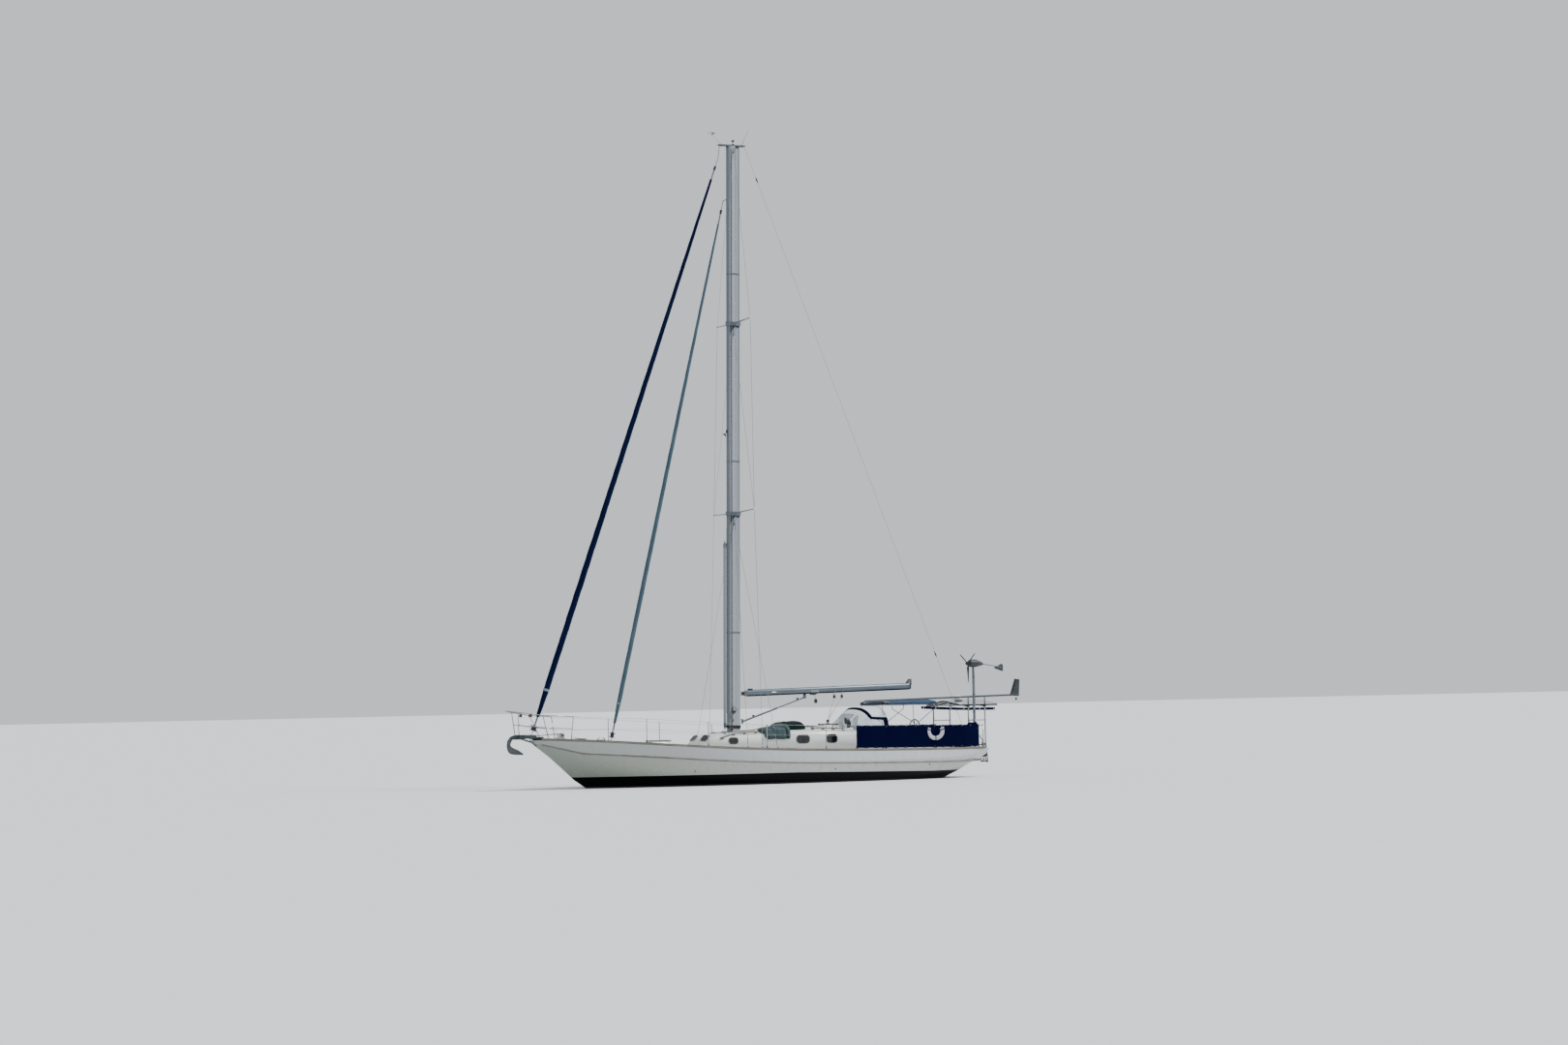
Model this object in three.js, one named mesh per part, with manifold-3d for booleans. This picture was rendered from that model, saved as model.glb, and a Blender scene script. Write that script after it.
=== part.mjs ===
// Cruising cutter, afloat with sails furled. Millimetres, +X aft, +Y starboard, +Z up.
// The origin is on the centreline, at the waterline, halfway along the waterline length.
import * as THREE from 'three';
import { mergeVertices } from 'three/addons/utils/BufferGeometryUtils.js';
import Module from 'manifold-3d';

const wasm = await Module();
wasm.setup();

const touch = 0.3;           // gap between pieces that rest on each other
const freeGap = 6;           // clearance round pieces that move
const bearing = 0.6;         // running gap at a shaft, stock or hub

// Hull sections, each a cubic curve from the keel line up to the sheer:
// x, keelZ, lowY, lowZ, highY, highZ, sheerY, sheerZ, rake (aft lean of the section), crown (bow of the section in plan)
const hullSections = [
  [-7200, 1318, 25, 1330, 60, 1345, 95, 1372, 0, 0],
  [-6600, 860, 60, 930, 300, 1110, 540, 1340, 0, 0],
  [-5600, 10, 170, 150, 640, 640, 1090, 1282, 0, 0],
  [-4000, -370, 560, -300, 1270, 230, 1610, 1163, 0, 0],
  [-2000, -600, 1020, -540, 1790, -40, 1950, 1015, 0, 0],
  [0, -700, 1250, -620, 2020, -110, 2070, 915, 0, 0],
  [2000, -650, 1230, -590, 2000, -80, 2035, 862, 0, 0],
  [4000, -420, 1110, -380, 1800, 10, 1840, 830, 0, 0],
  [5450, 0, 960, 20, 1520, 200, 1570, 815, 0.1, 10],
  [6560, 470, 700, 485, 1190, 560, 1240, 825, 0.53, 90],
];
const hullStations = 31;     // sections in the finished hull
const sideSteps = 10;        // points up each side
const deckSteps = 4;         // points across each half of the deck
const deckCamber = 70;

const toeRail = { height: 70, width: 40, inset: 5, from: -6940, to: 6300 };
const rubRail = { drop: 330, depth: 46, proud: 26, from: -6900, to: 6430 };
const stanchion = { radius: 12.5, height: 725, inset: 32, at: [-4300, -2600, -900, 900, 2700, 4500] };
const cloth = { from: 1850, to: 6080, steps: 12, height: 655, thickness: 6, inset: 8 };

const keel = { root: -420, foot: -1960 };
const rudder = { x: 4985, top: -260, foot: -1430, stock: 38, lean: 0.06 };
const shaft = { from: [2613, -712], to: [3560, -858], radius: 19 };
const propeller = { radius: 245, hub: 52, blades: 3 };

// Trunk cabin: x, bottom half width, top half width, edge z, crown
const cabinSections = [
  [-2330, 560, 520, 1085, 12],
  [-2070, 700, 640, 1340, 40],
  [-1750, 830, 750, 1358, 72],
  [-1150, 980, 900, 1376, 88],
  [-550, 1070, 990, 1395, 90],
  [60, 1130, 1050, 1412, 90],
  [150, 1140, 1060, 1462, 90],
  [1200, 1190, 1110, 1436, 90],
  [2600, 1190, 1110, 1384, 90],
];
const cabinFloor = 700;
const cabinAft = 2600;

const foreHatch = { x: [-3650, -3080], half: 280, rise: 60, lid: 32 };
const saloonHatch = { x: [960, 1400], half: 240, rise: 30, lid: 28 };
const slideHatch = { x: [2040, 2650], half: 362, low: 1502, high: 1532 };
const garage = { x: [1440, 2060], half: 420, wall: 45, low: 1545, top: 1572 };
const companionway = { x: [2080, 2560], half: 310, floor: 860 };
const washboard = { half: 345, thickness: 22 };

const well = { x: [2600, 5500], half: 1000, seat: 800, footX: [2720, 5200], footHalf: 380, floor: 420 };
const coaming = { x: [2380, 5640], inner: 1005, outer: 1170, top: 1250 };
const lockerLid = { x: [3000, 4150], y: [425, 955], thickness: 25 };
const lockerWell = { x: [3060, 4090], y: [480, 900], floor: 520 };
const pedestal = { x: 4560, radius: 70, top: 1290 };
const wheel = { x: 4690, z: 1270, radius: 430, rim: 15, spokes: 6 };

const dodger = {
  base: 1180, thickness: 12,
  // x at the sides, half width, top z, and how far the middle stands ahead of the sides
  arches: [[2420, 1040, 1470, 320], [2500, 1055, 1650, 300], [2800, 1080, 2010, 200], [2930, 1090, 2090, 150], [3320, 1090, 2125, 0]],
};
const bimini = { x: [3420, 4900], half: 1010, top: 2285, crown: 70, sag: 12, thickness: 12, tube: 12.5, foot: 1085, mainX: 4150 };

const mast = { foot: [-1070, 1480], top: [-740, 18300], fore: 300, side: 170, housing: 90, housingSide: 105 };
const mastRake = Math.atan2(mast.top[0] - mast.foot[0], mast.top[1] - mast.foot[1]);
const boom = { pivotX: -770, z: 2552, end: [4580, 2668], depth: 185, width: 125 };
const vang = { foot: 1760, head: [1180, 2440] };
const spreaders = { lower: { z: 7700, half: 1450 }, upper: { z: 13160, half: 1180 } };
const wire = 5.5;
const chainplateX = [-1440, -1010, -560];
const genoa = { foot: [-7092, 1640], head: [-1215, 17890], radius: 82, drum: 115 };
const staysail = { foot: [-4772, 1395], head: [-1080, 16640], radius: 62, drum: 85 };
const backstayFoot = [6490, 890];

const anchorY = -95;
const arch = { x: [5880, 6420], half: 1130, top: 2045, pitch: 0.12, tube: 22 };
const panel = { x: [5620, 6860], y: [70, 1090], thickness: 42, seat: 17 };
const hoist = { y: -1130, from: [2560, 2262], to: [7480, 2362], tube: 28, post: 18 };
const generator = { x: 6030, y: -1205, z: 3300, pole: 36, blade: 560, rotorX: 5840, tailX: 7010 };

const colours = {
  gelcoat: [0xdfe0da, 0.35, 0], deck: [0xd9dad4, 0.6, 0], antifoul: [0x14181d, 0.7, 0], steel: [0xb9bcbe, 0.25, 1],
  alloy: [0xa8adb0, 0.4, 1], navy: [0x10152e, 0.85, 0], paleCanvas: [0xd8dcdc, 0.8, 0], green: [0x15403f, 0.8, 0],
  white: [0xe9ebea, 0.4, 0], dark: [0x22272b, 0.5, 0], greyCloth: [0x5f7482, 0.85, 0], glass: [0x2b3640, 0.1, 0],
  teak: [0x8a6a45, 0.7, 0], bronze: [0xa8813f, 0.35, 1], solar: [0x131b2c, 0.2, 0],
};

const yacht = new THREE.Group();

function place(name, shape, colour, parent = yacht) {
  const [color, roughness, metalness] = colours[colour];
  const geometry = shape instanceof THREE.BufferGeometry ? shape : geometryOf(shape);
  const mesh = new THREE.Mesh(geometry, new THREE.MeshStandardMaterial({ color, roughness, metalness }));
  mesh.name = name;
  parent.add(mesh);
  return mesh;
}

// A closed geometry with shared corners becomes a solid that can be joined and cut.
function solid(shape) {
  if (!(shape instanceof THREE.BufferGeometry)) return shape;
  const bare = shape.clone();
  bare.deleteAttribute('normal');
  bare.deleteAttribute('uv');
  const merged = mergeVertices(bare, 0.01);
  const corners = [];
  for (let i = 0; i < merged.index.count; i += 3) {
    const [a, b, c] = [0, 1, 2].map((k) => merged.index.getX(i + k));
    if (a !== b && b !== c && c !== a) corners.push(a, b, c);
  }
  return new wasm.Manifold(new wasm.Mesh({
    numProp: 3,
    vertProperties: new Float32Array(merged.attributes.position.array),
    triVerts: new Uint32Array(corners),
  }));
}

function geometryOf(shape) {
  const mesh = shape.getMesh();
  const geometry = new THREE.BufferGeometry();
  geometry.setAttribute('position', new THREE.BufferAttribute(new Float32Array(mesh.vertProperties), 3));
  geometry.setIndex(new THREE.BufferAttribute(new Uint32Array(mesh.triVerts), 1));
  return geometry;
}

const join = (...shapes) => shapes.flat().map(solid).reduce((whole, shape) => whole.add(shape));
const cut = (shape, ...tools) => tools.flat().map(solid).reduce((rest, tool) => rest.subtract(tool), solid(shape));
const moved = (shape, x, y, z) => (shape instanceof THREE.BufferGeometry ? shape : geometryOf(shape)).clone().translate(x, y, z);

function block(x, y, z) {
  return new THREE.BoxGeometry(x[1] - x[0], y[1] - y[0], z[1] - z[0])
    .translate((x[0] + x[1]) / 2, (y[0] + y[1]) / 2, (z[0] + z[1]) / 2);
}

// A straight round bar between two points, tapered where two radii are given.
function bar(from, to, radius, sides = 6, endRadius = radius) {
  const start = new THREE.Vector3(...from);
  const along = new THREE.Vector3(...to).sub(start);
  const length = along.length();
  const turn = new THREE.Quaternion().setFromUnitVectors(new THREE.Vector3(0, 1, 0), along.normalize());
  return new THREE.CylinderGeometry(endRadius, radius, length, sides)
    .translate(0, length / 2, 0)
    .applyQuaternion(turn)
    .translate(...from);
}

function ball(at, radius) {
  return new THREE.SphereGeometry(radius, 6, 4).translate(...at);
}

// A bent bar through a few points: one ring at each point, square to the mean direction there.
function bentBar(points, radius, sides = 6) {
  const path = points.map((point) => new THREE.Vector3(...point));
  const ways = path.slice(1).map((point, i) => point.clone().sub(path[i]).normalize());
  let across = new THREE.Vector3(0, 0, 1);
  return loft(path.map((point, i) => {
    const before = ways[Math.max(i - 1, 0)];
    const after = ways[Math.min(i, ways.length - 1)];
    const way = before.clone().add(after).normalize();
    if (Math.abs(across.dot(way)) > 0.95) across = new THREE.Vector3(1, 0, 0);
    across.addScaledVector(way, -across.dot(way)).normalize();
    const up = way.clone().cross(across);
    const widen = 1 / Math.max(0.7, way.dot(after));
    return Array.from({ length: sides }, (_, k) => {
      const angle = (2 * Math.PI * k) / sides;
      return point.clone().addScaledVector(across, Math.cos(angle) * radius * widen)
        .addScaledVector(up, Math.sin(angle) * radius * widen).toArray();
    });
  }));
}

// A closed body through rings that all have the same number of points; its ends are closed as seen along one axis.
function loft(rings, endAxis) {
  const count = rings[0].length;
  const positions = rings.flat(2);
  const index = [];
  for (let i = 0; i + 1 < rings.length; i += 1) {
    for (let j = 0; j < count; j += 1) {
      const next = (j + 1) % count;
      const [a, b, c, d] = [i * count + j, i * count + next, (i + 1) * count + next, (i + 1) * count + j];
      index.push(a, b, c, a, c, d);
    }
  }
  for (const [ring, flip] of [[0, true], [rings.length - 1, false]]) {
    const outline = rings[ring];
    const spread = [0, 1, 2].map((k) => Math.max(...outline.map((p) => p[k])) - Math.min(...outline.map((p) => p[k])));
    const flat = endAxis ?? spread.indexOf(Math.min(...spread));
    const contour = outline.map((p) => new THREE.Vector2(...p.filter((value, k) => k !== flat)));
    const area = THREE.ShapeUtils.area(contour);
    for (const face of THREE.ShapeUtils.triangulateShape(contour, [])) {
      const [a, b, c] = face.map((k) => ring * count + k);
      const forward = area > 0;
      index.push(...(forward !== flip ? [a, b, c] : [a, c, b]));
    }
  }
  const geometry = new THREE.BufferGeometry();
  geometry.setAttribute('position', new THREE.Float32BufferAttribute(positions, 3));
  geometry.setIndex(index);
  return outward(geometry);
}

// Ends and sides of a loft are turned to agree, then the whole is turned to face outwards.
function outward(geometry) {
  const used = new Set();
  const source = geometry.index.array;
  const faces = [];
  for (let i = 0; i < source.length; i += 3) faces.push([source[i], source[i + 1], source[i + 2]]);
  const byEdge = new Map();
  faces.forEach((face, f) => face.forEach((corner, k) => {
    const key = [corner, face[(k + 1) % 3]].sort((p, q) => p - q).join();
    byEdge.set(key, [...(byEdge.get(key) ?? []), f]);
  }));
  const queue = [0];
  used.add(0);
  while (queue.length) {
    const face = faces[queue.pop()];
    face.forEach((corner, k) => {
      const next = face[(k + 1) % 3];
      for (const other of byEdge.get([corner, next].sort((p, q) => p - q).join())) {
        if (used.has(other)) continue;
        used.add(other);
        const pair = faces[other];
        const at = pair.indexOf(corner);
        if (pair[(at + 1) % 3] === next) faces[other] = [pair[0], pair[2], pair[1]];
        queue.push(other);
      }
    });
  }
  const position = geometry.attributes.position;
  const corner = (k) => new THREE.Vector3().fromBufferAttribute(position, k);
  const volume = faces.reduce((sum, [a, b, c]) => sum + corner(a).dot(corner(b).cross(corner(c))), 0);
  geometry.setIndex(faces.flatMap(([a, b, c]) => (volume > 0 ? [a, b, c] : [a, c, b])));
  return geometry;
}

// A flat outline in the x-z plane, given thickness along y.
function plate(outline, y0, y1) {
  const shape = new THREE.Shape(outline.map(([x, z]) => new THREE.Vector2(x, z)));
  return new THREE.ExtrudeGeometry(shape, { depth: y1 - y0, bevelEnabled: false })
    .rotateX(Math.PI / 2)
    .translate(0, y1, 0);
}

// Hull
const sectionAt = new THREE.CubicInterpolant(
  hullSections.map((row) => row[0]),
  hullSections.flatMap((row) => row.slice(1)),
  hullSections[0].length - 1,
);

function hullSection(x) {
  const [keelZ, lowY, lowZ, highY, highZ, sheerY, sheerZ, rake, crown] = Array.from(sectionAt.evaluate(x));
  return { keelZ, lowY, lowZ, highY, highZ, sheerY, sheerZ, rake: Math.max(rake, 0), crown: Math.max(crown, 0) };
}

function bezier(t, a, b, c, d) {
  const u = 1 - t;
  return u * u * u * a + 3 * u * u * t * b + 3 * u * t * t * c + t * t * t * d;
}

function hullRing(x) {
  const s = hullSection(x);
  const half = [];
  for (let i = 0; i <= sideSteps; i += 1) {
    const t = i / sideSteps;
    half.push([bezier(t, 0, s.lowY, s.highY, s.sheerY), bezier(t, s.keelZ, s.lowZ, s.highZ, s.sheerZ)]);
  }
  for (let i = 1; i <= deckSteps; i += 1) {
    const y = s.sheerY * (1 - i / deckSteps);
    half.push([y, deckHeight(s, y)]);
  }
  const inPlan = ([y, z]) => x + s.rake * (z - s.sheerZ) - s.crown * (y / s.sheerY) ** 2;
  const starboard = half.map(([y, z]) => [inPlan([y, z]), y, z]);
  const port = half.slice(1, -1).reverse().map(([y, z]) => [inPlan([y, z]), -y, z]);
  return [...starboard, ...port];
}

function deckHeight(s, y) {
  return s.sheerZ + deckCamber * (s.sheerY / 2070) * (1 - (y / s.sheerY) ** 2);
}

function hullHalfWidth(x, z) {
  const s = hullSection(x);
  let [low, high] = [0, 1];
  for (let i = 0; i < 30; i += 1) {
    const t = (low + high) / 2;
    if (bezier(t, s.keelZ, s.lowZ, s.highZ, s.sheerZ) < z) low = t;
    else high = t;
  }
  return bezier(low, 0, s.lowY, s.highY, s.sheerY);
}

const sheerY = (x) => hullSection(x).sheerY;
const sheerZ = (x) => hullSection(x).sheerZ;
const deckZ = (x, y = 0) => deckHeight(hullSection(x), y);

const hullEnds = [hullSections[0][0], hullSections.at(-1)[0]];
const stationX = Array.from({ length: hullStations }, (_, i) => {
  const t = i / (hullStations - 1);
  const eased = 0.5 - 0.5 * Math.cos(Math.PI * t);
  return THREE.MathUtils.lerp(...hullEnds, 0.55 * t + 0.45 * eased);
});
const hullBody = solid(loft(stationX.map(hullRing)));

const mirrored = (y) => [-y[1], -y[0]];
const sides = [['starboard', 1], ['port', -1]];
const onSide = (y, side) => (side > 0 ? y : mirrored(y));

const rudderX = (z) => rudder.x - rudder.lean * (z - rudder.top);
const wellCuts = [
  block(well.x, [-well.half, well.half], [well.seat, 1400]),
  block(well.footX, [-well.footHalf, well.footHalf], [well.floor, 1400]),
  ...sides.map(([, side]) => block(lockerWell.x, onSide(lockerWell.y, side), [lockerWell.floor, 1400])),
  block([companionway.x[0], companionway.x[1] + 200], [-companionway.half, companionway.half], [companionway.floor, 2000]),
  block([foreHatch.x[0] + 45, foreHatch.x[1] - 45], [45 - foreHatch.half, foreHatch.half - 45], [880, 2000]),
  bar([rudderX(rudder.top), 0, rudder.top], [rudderX(300), 0, 300], rudder.stock + bearing + 0.3, 24),
];
const foreHatchTop = deckZ(foreHatch.x[0]) + foreHatch.rise;
const foreHatchUpstand = block(foreHatch.x, [-foreHatch.half, foreHatch.half], [900, foreHatchTop]);
place('hull', cut(join(hullBody, foreHatchUpstand), wellCuts), 'gelcoat');

const aboveHull = join(hullBody, moved(hullBody, 0, 0, touch));
const belowHull = join(hullBody, moved(hullBody, 0, 0, -touch));

// Foils below the hull: levels of z, leading x, trailing x and half thickness
function foil(levels, points = 9) {
  return loft(levels.map(([z, lead, trail, half]) => {
    const upper = [];
    for (let i = 0; i <= points; i += 1) {
      const t = (1 - Math.cos((Math.PI * i) / points)) / 2;
      const thick = 2.6 * Math.sqrt(t) * (1 - t) + 0.12 * t * t;
      upper.push([THREE.MathUtils.lerp(lead, trail, t), half * thick, z]);
    }
    const lower = upper.slice(1).reverse().map(([x, y]) => [x, -y, z]);
    return [...upper, ...lower];
  }));
}

place('keel', cut(foil([
  [keel.root, -2700, 2650, 190],
  [-760, -2350, 2600, 170],
  [-1300, -1800, 2520, 155],
  [keel.foot, -1080, 2360, 150],
]), belowHull), 'antifoul');

const skegTrail = (z) => rudderX(z) - rudder.stock - 24;
place('skeg', cut(foil([
  [20, 3250, skegTrail(20), 62],
  [-420, 3900, skegTrail(-420), 58],
  [-1120, 4420, skegTrail(-1120), 44],
  [-1400, 4600, skegTrail(-1400), 38],
]), belowHull, bar([rudderX(200), 0, 200], [rudderX(-1800), 0, -1800], rudder.stock + 20, 16)), 'antifoul');

const rudderBlade = foil([
  [rudder.top, rudderX(rudder.top) - 42, rudderX(rudder.top) + 520, 46],
  [-800, rudderX(-800) - 42, rudderX(-800) + 610, 44],
  [rudder.foot, rudderX(rudder.foot) - 42, rudderX(rudder.foot) + 520, 36],
]);
const stock = bar([rudderX(rudder.foot + 10), 0, rudder.foot + 10], [rudderX(120), 0, 120], rudder.stock, 24);
place('rudder', join(rudderBlade, stock), 'antifoul');

// Shaft, bracket and propeller
const shaftLine = (t) => [
  THREE.MathUtils.lerp(shaft.from[0], shaft.to[0], t), 0, THREE.MathUtils.lerp(shaft.from[1], shaft.to[1], t)];
const bracketAt = shaftLine(0.86);
place('shaft_bracket', cut(join(
  bar(shaftLine(0), shaftLine(0.93), shaft.radius, 12),
  bar(shaftLine(0.82), shaftLine(0.9), shaft.radius + 22, 12),
  bar(bracketAt, [bracketAt[0] - 60, 0, -380], 24),
), belowHull), 'bronze');

const shaftAxis = new THREE.Vector3(...shaftLine(1)).sub(new THREE.Vector3(...shaftLine(0))).normalize();
const hubStart = shaftLine(0.93).map((value, k) => value + shaftAxis.getComponent(k) * bearing);
const hubEnd = hubStart.map((value, k) => value + shaftAxis.getComponent(k) * 150);
const hubMiddle = hubStart.map((value, k) => value + shaftAxis.getComponent(k) * 70);
const blades = Array.from({ length: propeller.blades }, (_, i) => {
  const outline = new THREE.Shape();
  outline.moveTo(-25, 0);
  outline.quadraticCurveTo(-95, propeller.radius * 0.55, -20, propeller.radius);
  outline.quadraticCurveTo(0, propeller.radius * 1.04, 20, propeller.radius);
  outline.quadraticCurveTo(95, propeller.radius * 0.55, 25, 0);
  return new THREE.ExtrudeGeometry(outline, { depth: 12, bevelEnabled: false, curveSegments: 5 })
    .translate(0, 0, -6)
    .rotateY(THREE.MathUtils.degToRad(32))
    .rotateX(Math.PI / 2)
    .rotateX((i * 2 * Math.PI) / propeller.blades);
});
const shaftTilt = Math.atan2(-shaftAxis.z, shaftAxis.x);
place('propeller', join(
  bar(hubStart, hubEnd, propeller.hub, 12, propeller.hub * 0.55),
  blades.map((blade) => blade.rotateY(shaftTilt).translate(...hubMiddle)),
), 'bronze');

// A strip that runs along the sheer on one side
function sheerStrip(side, from, to, steps, section) {
  return loft(Array.from({ length: steps + 1 }, (_, i) => {
    const x = THREE.MathUtils.lerp(from, to, i / steps);
    return section(x).map(([y, z]) => [x, side * y, z]);
  }));
}

const clothY = (x) => sheerY(x) - cloth.inset;
for (const [sideName, side] of sides) {
  const rail = sheerStrip(side, toeRail.from, toeRail.to, 26, (x) => {
    const outer = sheerY(x) - toeRail.inset;
    const top = sheerZ(x) + toeRail.height;
    const inner = outer - toeRail.width;
    return [[outer - 12, sheerZ(x) - 8], [outer, sheerZ(x) + 8], [outer, top], [inner, top], [inner, sheerZ(x) - 8]];
  });
  const posts = stanchion.at.map((x) => {
    const y = side * (sheerY(x) - stanchion.inset);
    return bar([x, y, sheerZ(x) + 40], [x, y, sheerZ(x) + stanchion.height], stanchion.radius);
  });
  const toeRailBody = cut(join(rail, posts), aboveHull, moved(hullBody, 0, side * touch, 0));
  place(`toe_rail_${sideName}`, toeRailBody, 'teak');

  const rub = sheerStrip(side, rubRail.from, rubRail.to, 26, (x) => {
    const z = sheerZ(x) - rubRail.drop * Math.min(1, 0.35 + (x - rubRail.from) / 1600);
    const wall = hullHalfWidth(x, z);
    return [[wall - 25, z - rubRail.depth / 2], [wall + 8, z - rubRail.depth / 2], [wall + rubRail.proud, z],
      [wall + 8, z + rubRail.depth / 2], [wall - 25, z + rubRail.depth / 2]];
  });
  place(`rub_rail_${sideName}`, cut(rub, moved(hullBody, 0, side * touch * 1.5, 0)), 'teak');

  const canvas = sheerStrip(side, cloth.from, cloth.to, cloth.steps, (x) => {
    const outer = clothY(x);
    const low = sheerZ(x) + toeRail.height + touch;
    const top = low + cloth.height;
    return [[outer, low], [outer, top], [outer - cloth.thickness, top], [outer - cloth.thickness, low]];
  });
  place(`weather_cloth_${sideName}`, cut(canvas, toeRailBody, moved(toeRailBody, 0, 0, touch)), 'navy');
}

// Trunk cabin with the garage that the companionway hatch slides into
function cabinRing([x, bottom, top, edge, crown]) {
  const half = [[bottom, cabinFloor], [bottom - 10, edge - 120], [top + 25, edge - 38], [top, edge - 8],
    [top * 0.93, edge + crown * 0.1], [top * 0.6, edge + crown * 0.66], [top * 0.3, edge + crown * 0.92], [0, edge + crown]];
  return [...half.map(([y, z]) => [x, y, z]), ...half.slice(0, -1).reverse().map(([y, z]) => [x, -y, z])];
}
const cabinAt = new THREE.LinearInterpolant(
  cabinSections.map((row) => row[0]), cabinSections.flatMap((row) => row.slice(3)), 2);
const roofZ = (x) => {
  const [edge, crown] = Array.from(cabinAt.evaluate(x));
  return edge + crown;
};
const hatchBase = (hatch) => Math.max(roofZ(hatch.x[0]), roofZ(hatch.x[1])) + hatch.rise;
const saloonTop = hatchBase(saloonHatch);
const cabinShell = join(
  loft(cabinSections.map(cabinRing)),
  block(garage.x, [-garage.half, garage.half], [1300, garage.top]),
  block([garage.x[1] - 10, cabinAft], [slideHatch.half - 30, slideHatch.half + 30], [1300, slideHatch.low - touch]),
  block([garage.x[1] - 10, cabinAft], [-slideHatch.half - 30, -slideHatch.half + 30], [1300, slideHatch.low - touch]),
  block(saloonHatch.x, [-saloonHatch.half, saloonHatch.half], [1300, saloonTop]),
);
const cabin = cut(
  cabinShell,
  aboveHull,
  block([garage.x[0] + 25, garage.x[1] + 20], [-slideHatch.half - freeGap, slideHatch.half + freeGap], [slideHatch.low - touch, garage.low]),
  block([companionway.x[0], cabinAft + 50], [-companionway.half, companionway.half], [600, 1510]),
  block([saloonHatch.x[0] + 40, saloonHatch.x[1] - 40], [40 - saloonHatch.half, saloonHatch.half - 40], [1380, 2000]),
);
place('coachroof', cabin, 'white');
const aboveCabin = moved(cabinShell, 0, 0, touch);

// Lids and boards
place('fore_hatch_lid', block([foreHatch.x[0] - 8, foreHatch.x[1] + 8], [-foreHatch.half - 8, foreHatch.half + 8],
  [foreHatchTop + touch, foreHatchTop + touch + foreHatch.lid]), 'alloy');
place('saloon_hatch_lid', block([saloonHatch.x[0] - 6, saloonHatch.x[1] + 6], [-saloonHatch.half - 6, saloonHatch.half + 6],
  [saloonTop + touch, saloonTop + touch + saloonHatch.lid]), 'alloy');
place('companionway_hatch', join(
  block(slideHatch.x, [-slideHatch.half, slideHatch.half], [slideHatch.low, slideHatch.high]),
  block([slideHatch.x[1] - 30, slideHatch.x[1]], [-240, 240], [slideHatch.high - 5, slideHatch.high + 28]),
), 'white');
place('washboards', block([cabinAft + touch, cabinAft + touch + washboard.thickness],
  [-washboard.half, washboard.half], [well.seat + touch, slideHatch.low - 4]), 'teak');

// Cockpit
const coamingWall = (side) => {
  const outline = [[coaming.x[0], 700], [coaming.x[1], 700], [coaming.x[1] - 60, coaming.top - 90],
    [coaming.x[1] - 200, coaming.top], [coaming.x[0], coaming.top]];
  return plate(outline, ...onSide([coaming.inner, coaming.outer], side));
};
const coamingAft = block([coaming.x[1] - 130, coaming.x[1] - 40], [-coaming.inner - 20, coaming.inner + 20], [700, coaming.top - 120]);
const cockpitCoaming = cut(
  join(coamingWall(1), coamingWall(-1), coamingAft),
  aboveHull,
  moved(cabinShell, touch, 0, 0), moved(cabinShell, 0, touch, 0), moved(cabinShell, 0, -touch, 0),
);
place('cockpit_coaming', cockpitCoaming, 'white');

for (const [sideName, side] of sides) {
  const lidY = onSide(lockerLid.y, side);
  place(`locker_lid_${sideName}`, block(lockerLid.x, lidY, [well.seat + touch, well.seat + touch + lockerLid.thickness]), 'teak');
  const at = [3700, side * (coaming.inner + coaming.outer) / 2, coaming.top + touch];
  const profile = [[0, 0], [78, 0], [78, 22], [58, 40], [52, 105], [66, 128], [66, 150], [40, 165], [0, 165]];
  place(`winch_${sideName}`, new THREE.LatheGeometry(profile.map(([r, z]) => new THREE.Vector2(r, z)), 20)
    .rotateX(Math.PI / 2).translate(...at), 'steel');
}

place('pedestal', join(
  bar([pedestal.x, 0, well.floor + touch], [pedestal.x, 0, pedestal.top], pedestal.radius, 14, pedestal.radius * 0.75),
  bar([pedestal.x, 0, pedestal.top - 5], [pedestal.x, 0, pedestal.top + 90], 95, 16, 70),
  bar([pedestal.x, 0, wheel.z], [wheel.x - 25 - bearing, 0, wheel.z], 30, 12),
  bar([pedestal.x, 0, well.floor + touch], [pedestal.x, 0, well.floor + 30], 120, 16),
), 'white');

const rim = new THREE.TorusGeometry(wheel.radius, wheel.rim, 6, 24).rotateY(Math.PI / 2).translate(wheel.x, 0, wheel.z);
const spokes = Array.from({ length: wheel.spokes }, (_, i) => {
  const angle = (i * 2 * Math.PI) / wheel.spokes;
  return bar([wheel.x, 0, wheel.z],
    [wheel.x, wheel.radius * Math.sin(angle), wheel.z + wheel.radius * Math.cos(angle)], 9, 8);
});
place('wheel', join(rim, spokes, bar([wheel.x - 25, 0, wheel.z], [wheel.x + 25, 0, wheel.z], 45, 14)), 'steel');

// Dodger: a canvas arch that rises from the cabin top and is open aft
function archBand([x, half, top, lead], z0, inset) {
  const points = [];
  const steps = 12;
  const height = top - z0;
  const arc = (w, h, i) => {
    const angle = (Math.PI * i) / steps;
    const c = Math.cos(angle);
    const y = Math.sign(c) * w * Math.abs(c) ** 0.72;
    return [x - lead * (1 - (y / half) ** 2), y, z0 + h * Math.sin(angle) ** 0.72];
  };
  for (let i = 0; i <= steps; i += 1) points.push(arc(half, height, i));
  for (let i = steps; i >= 0; i -= 1) points.push(arc(half - inset, height - inset, i));
  return points;
}
const hatchSpace = block([1950, 2720], [-garage.half - 10, garage.half + 10], [1000, slideHatch.high + 45]);
place('dodger', cut(
  loft(dodger.arches.map((row) => archBand(row, dodger.base, dodger.thickness)), 0),
  aboveHull, aboveCabin, moved(cockpitCoaming, 0, 0, touch), hatchSpace,
), 'paleCanvas');

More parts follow.
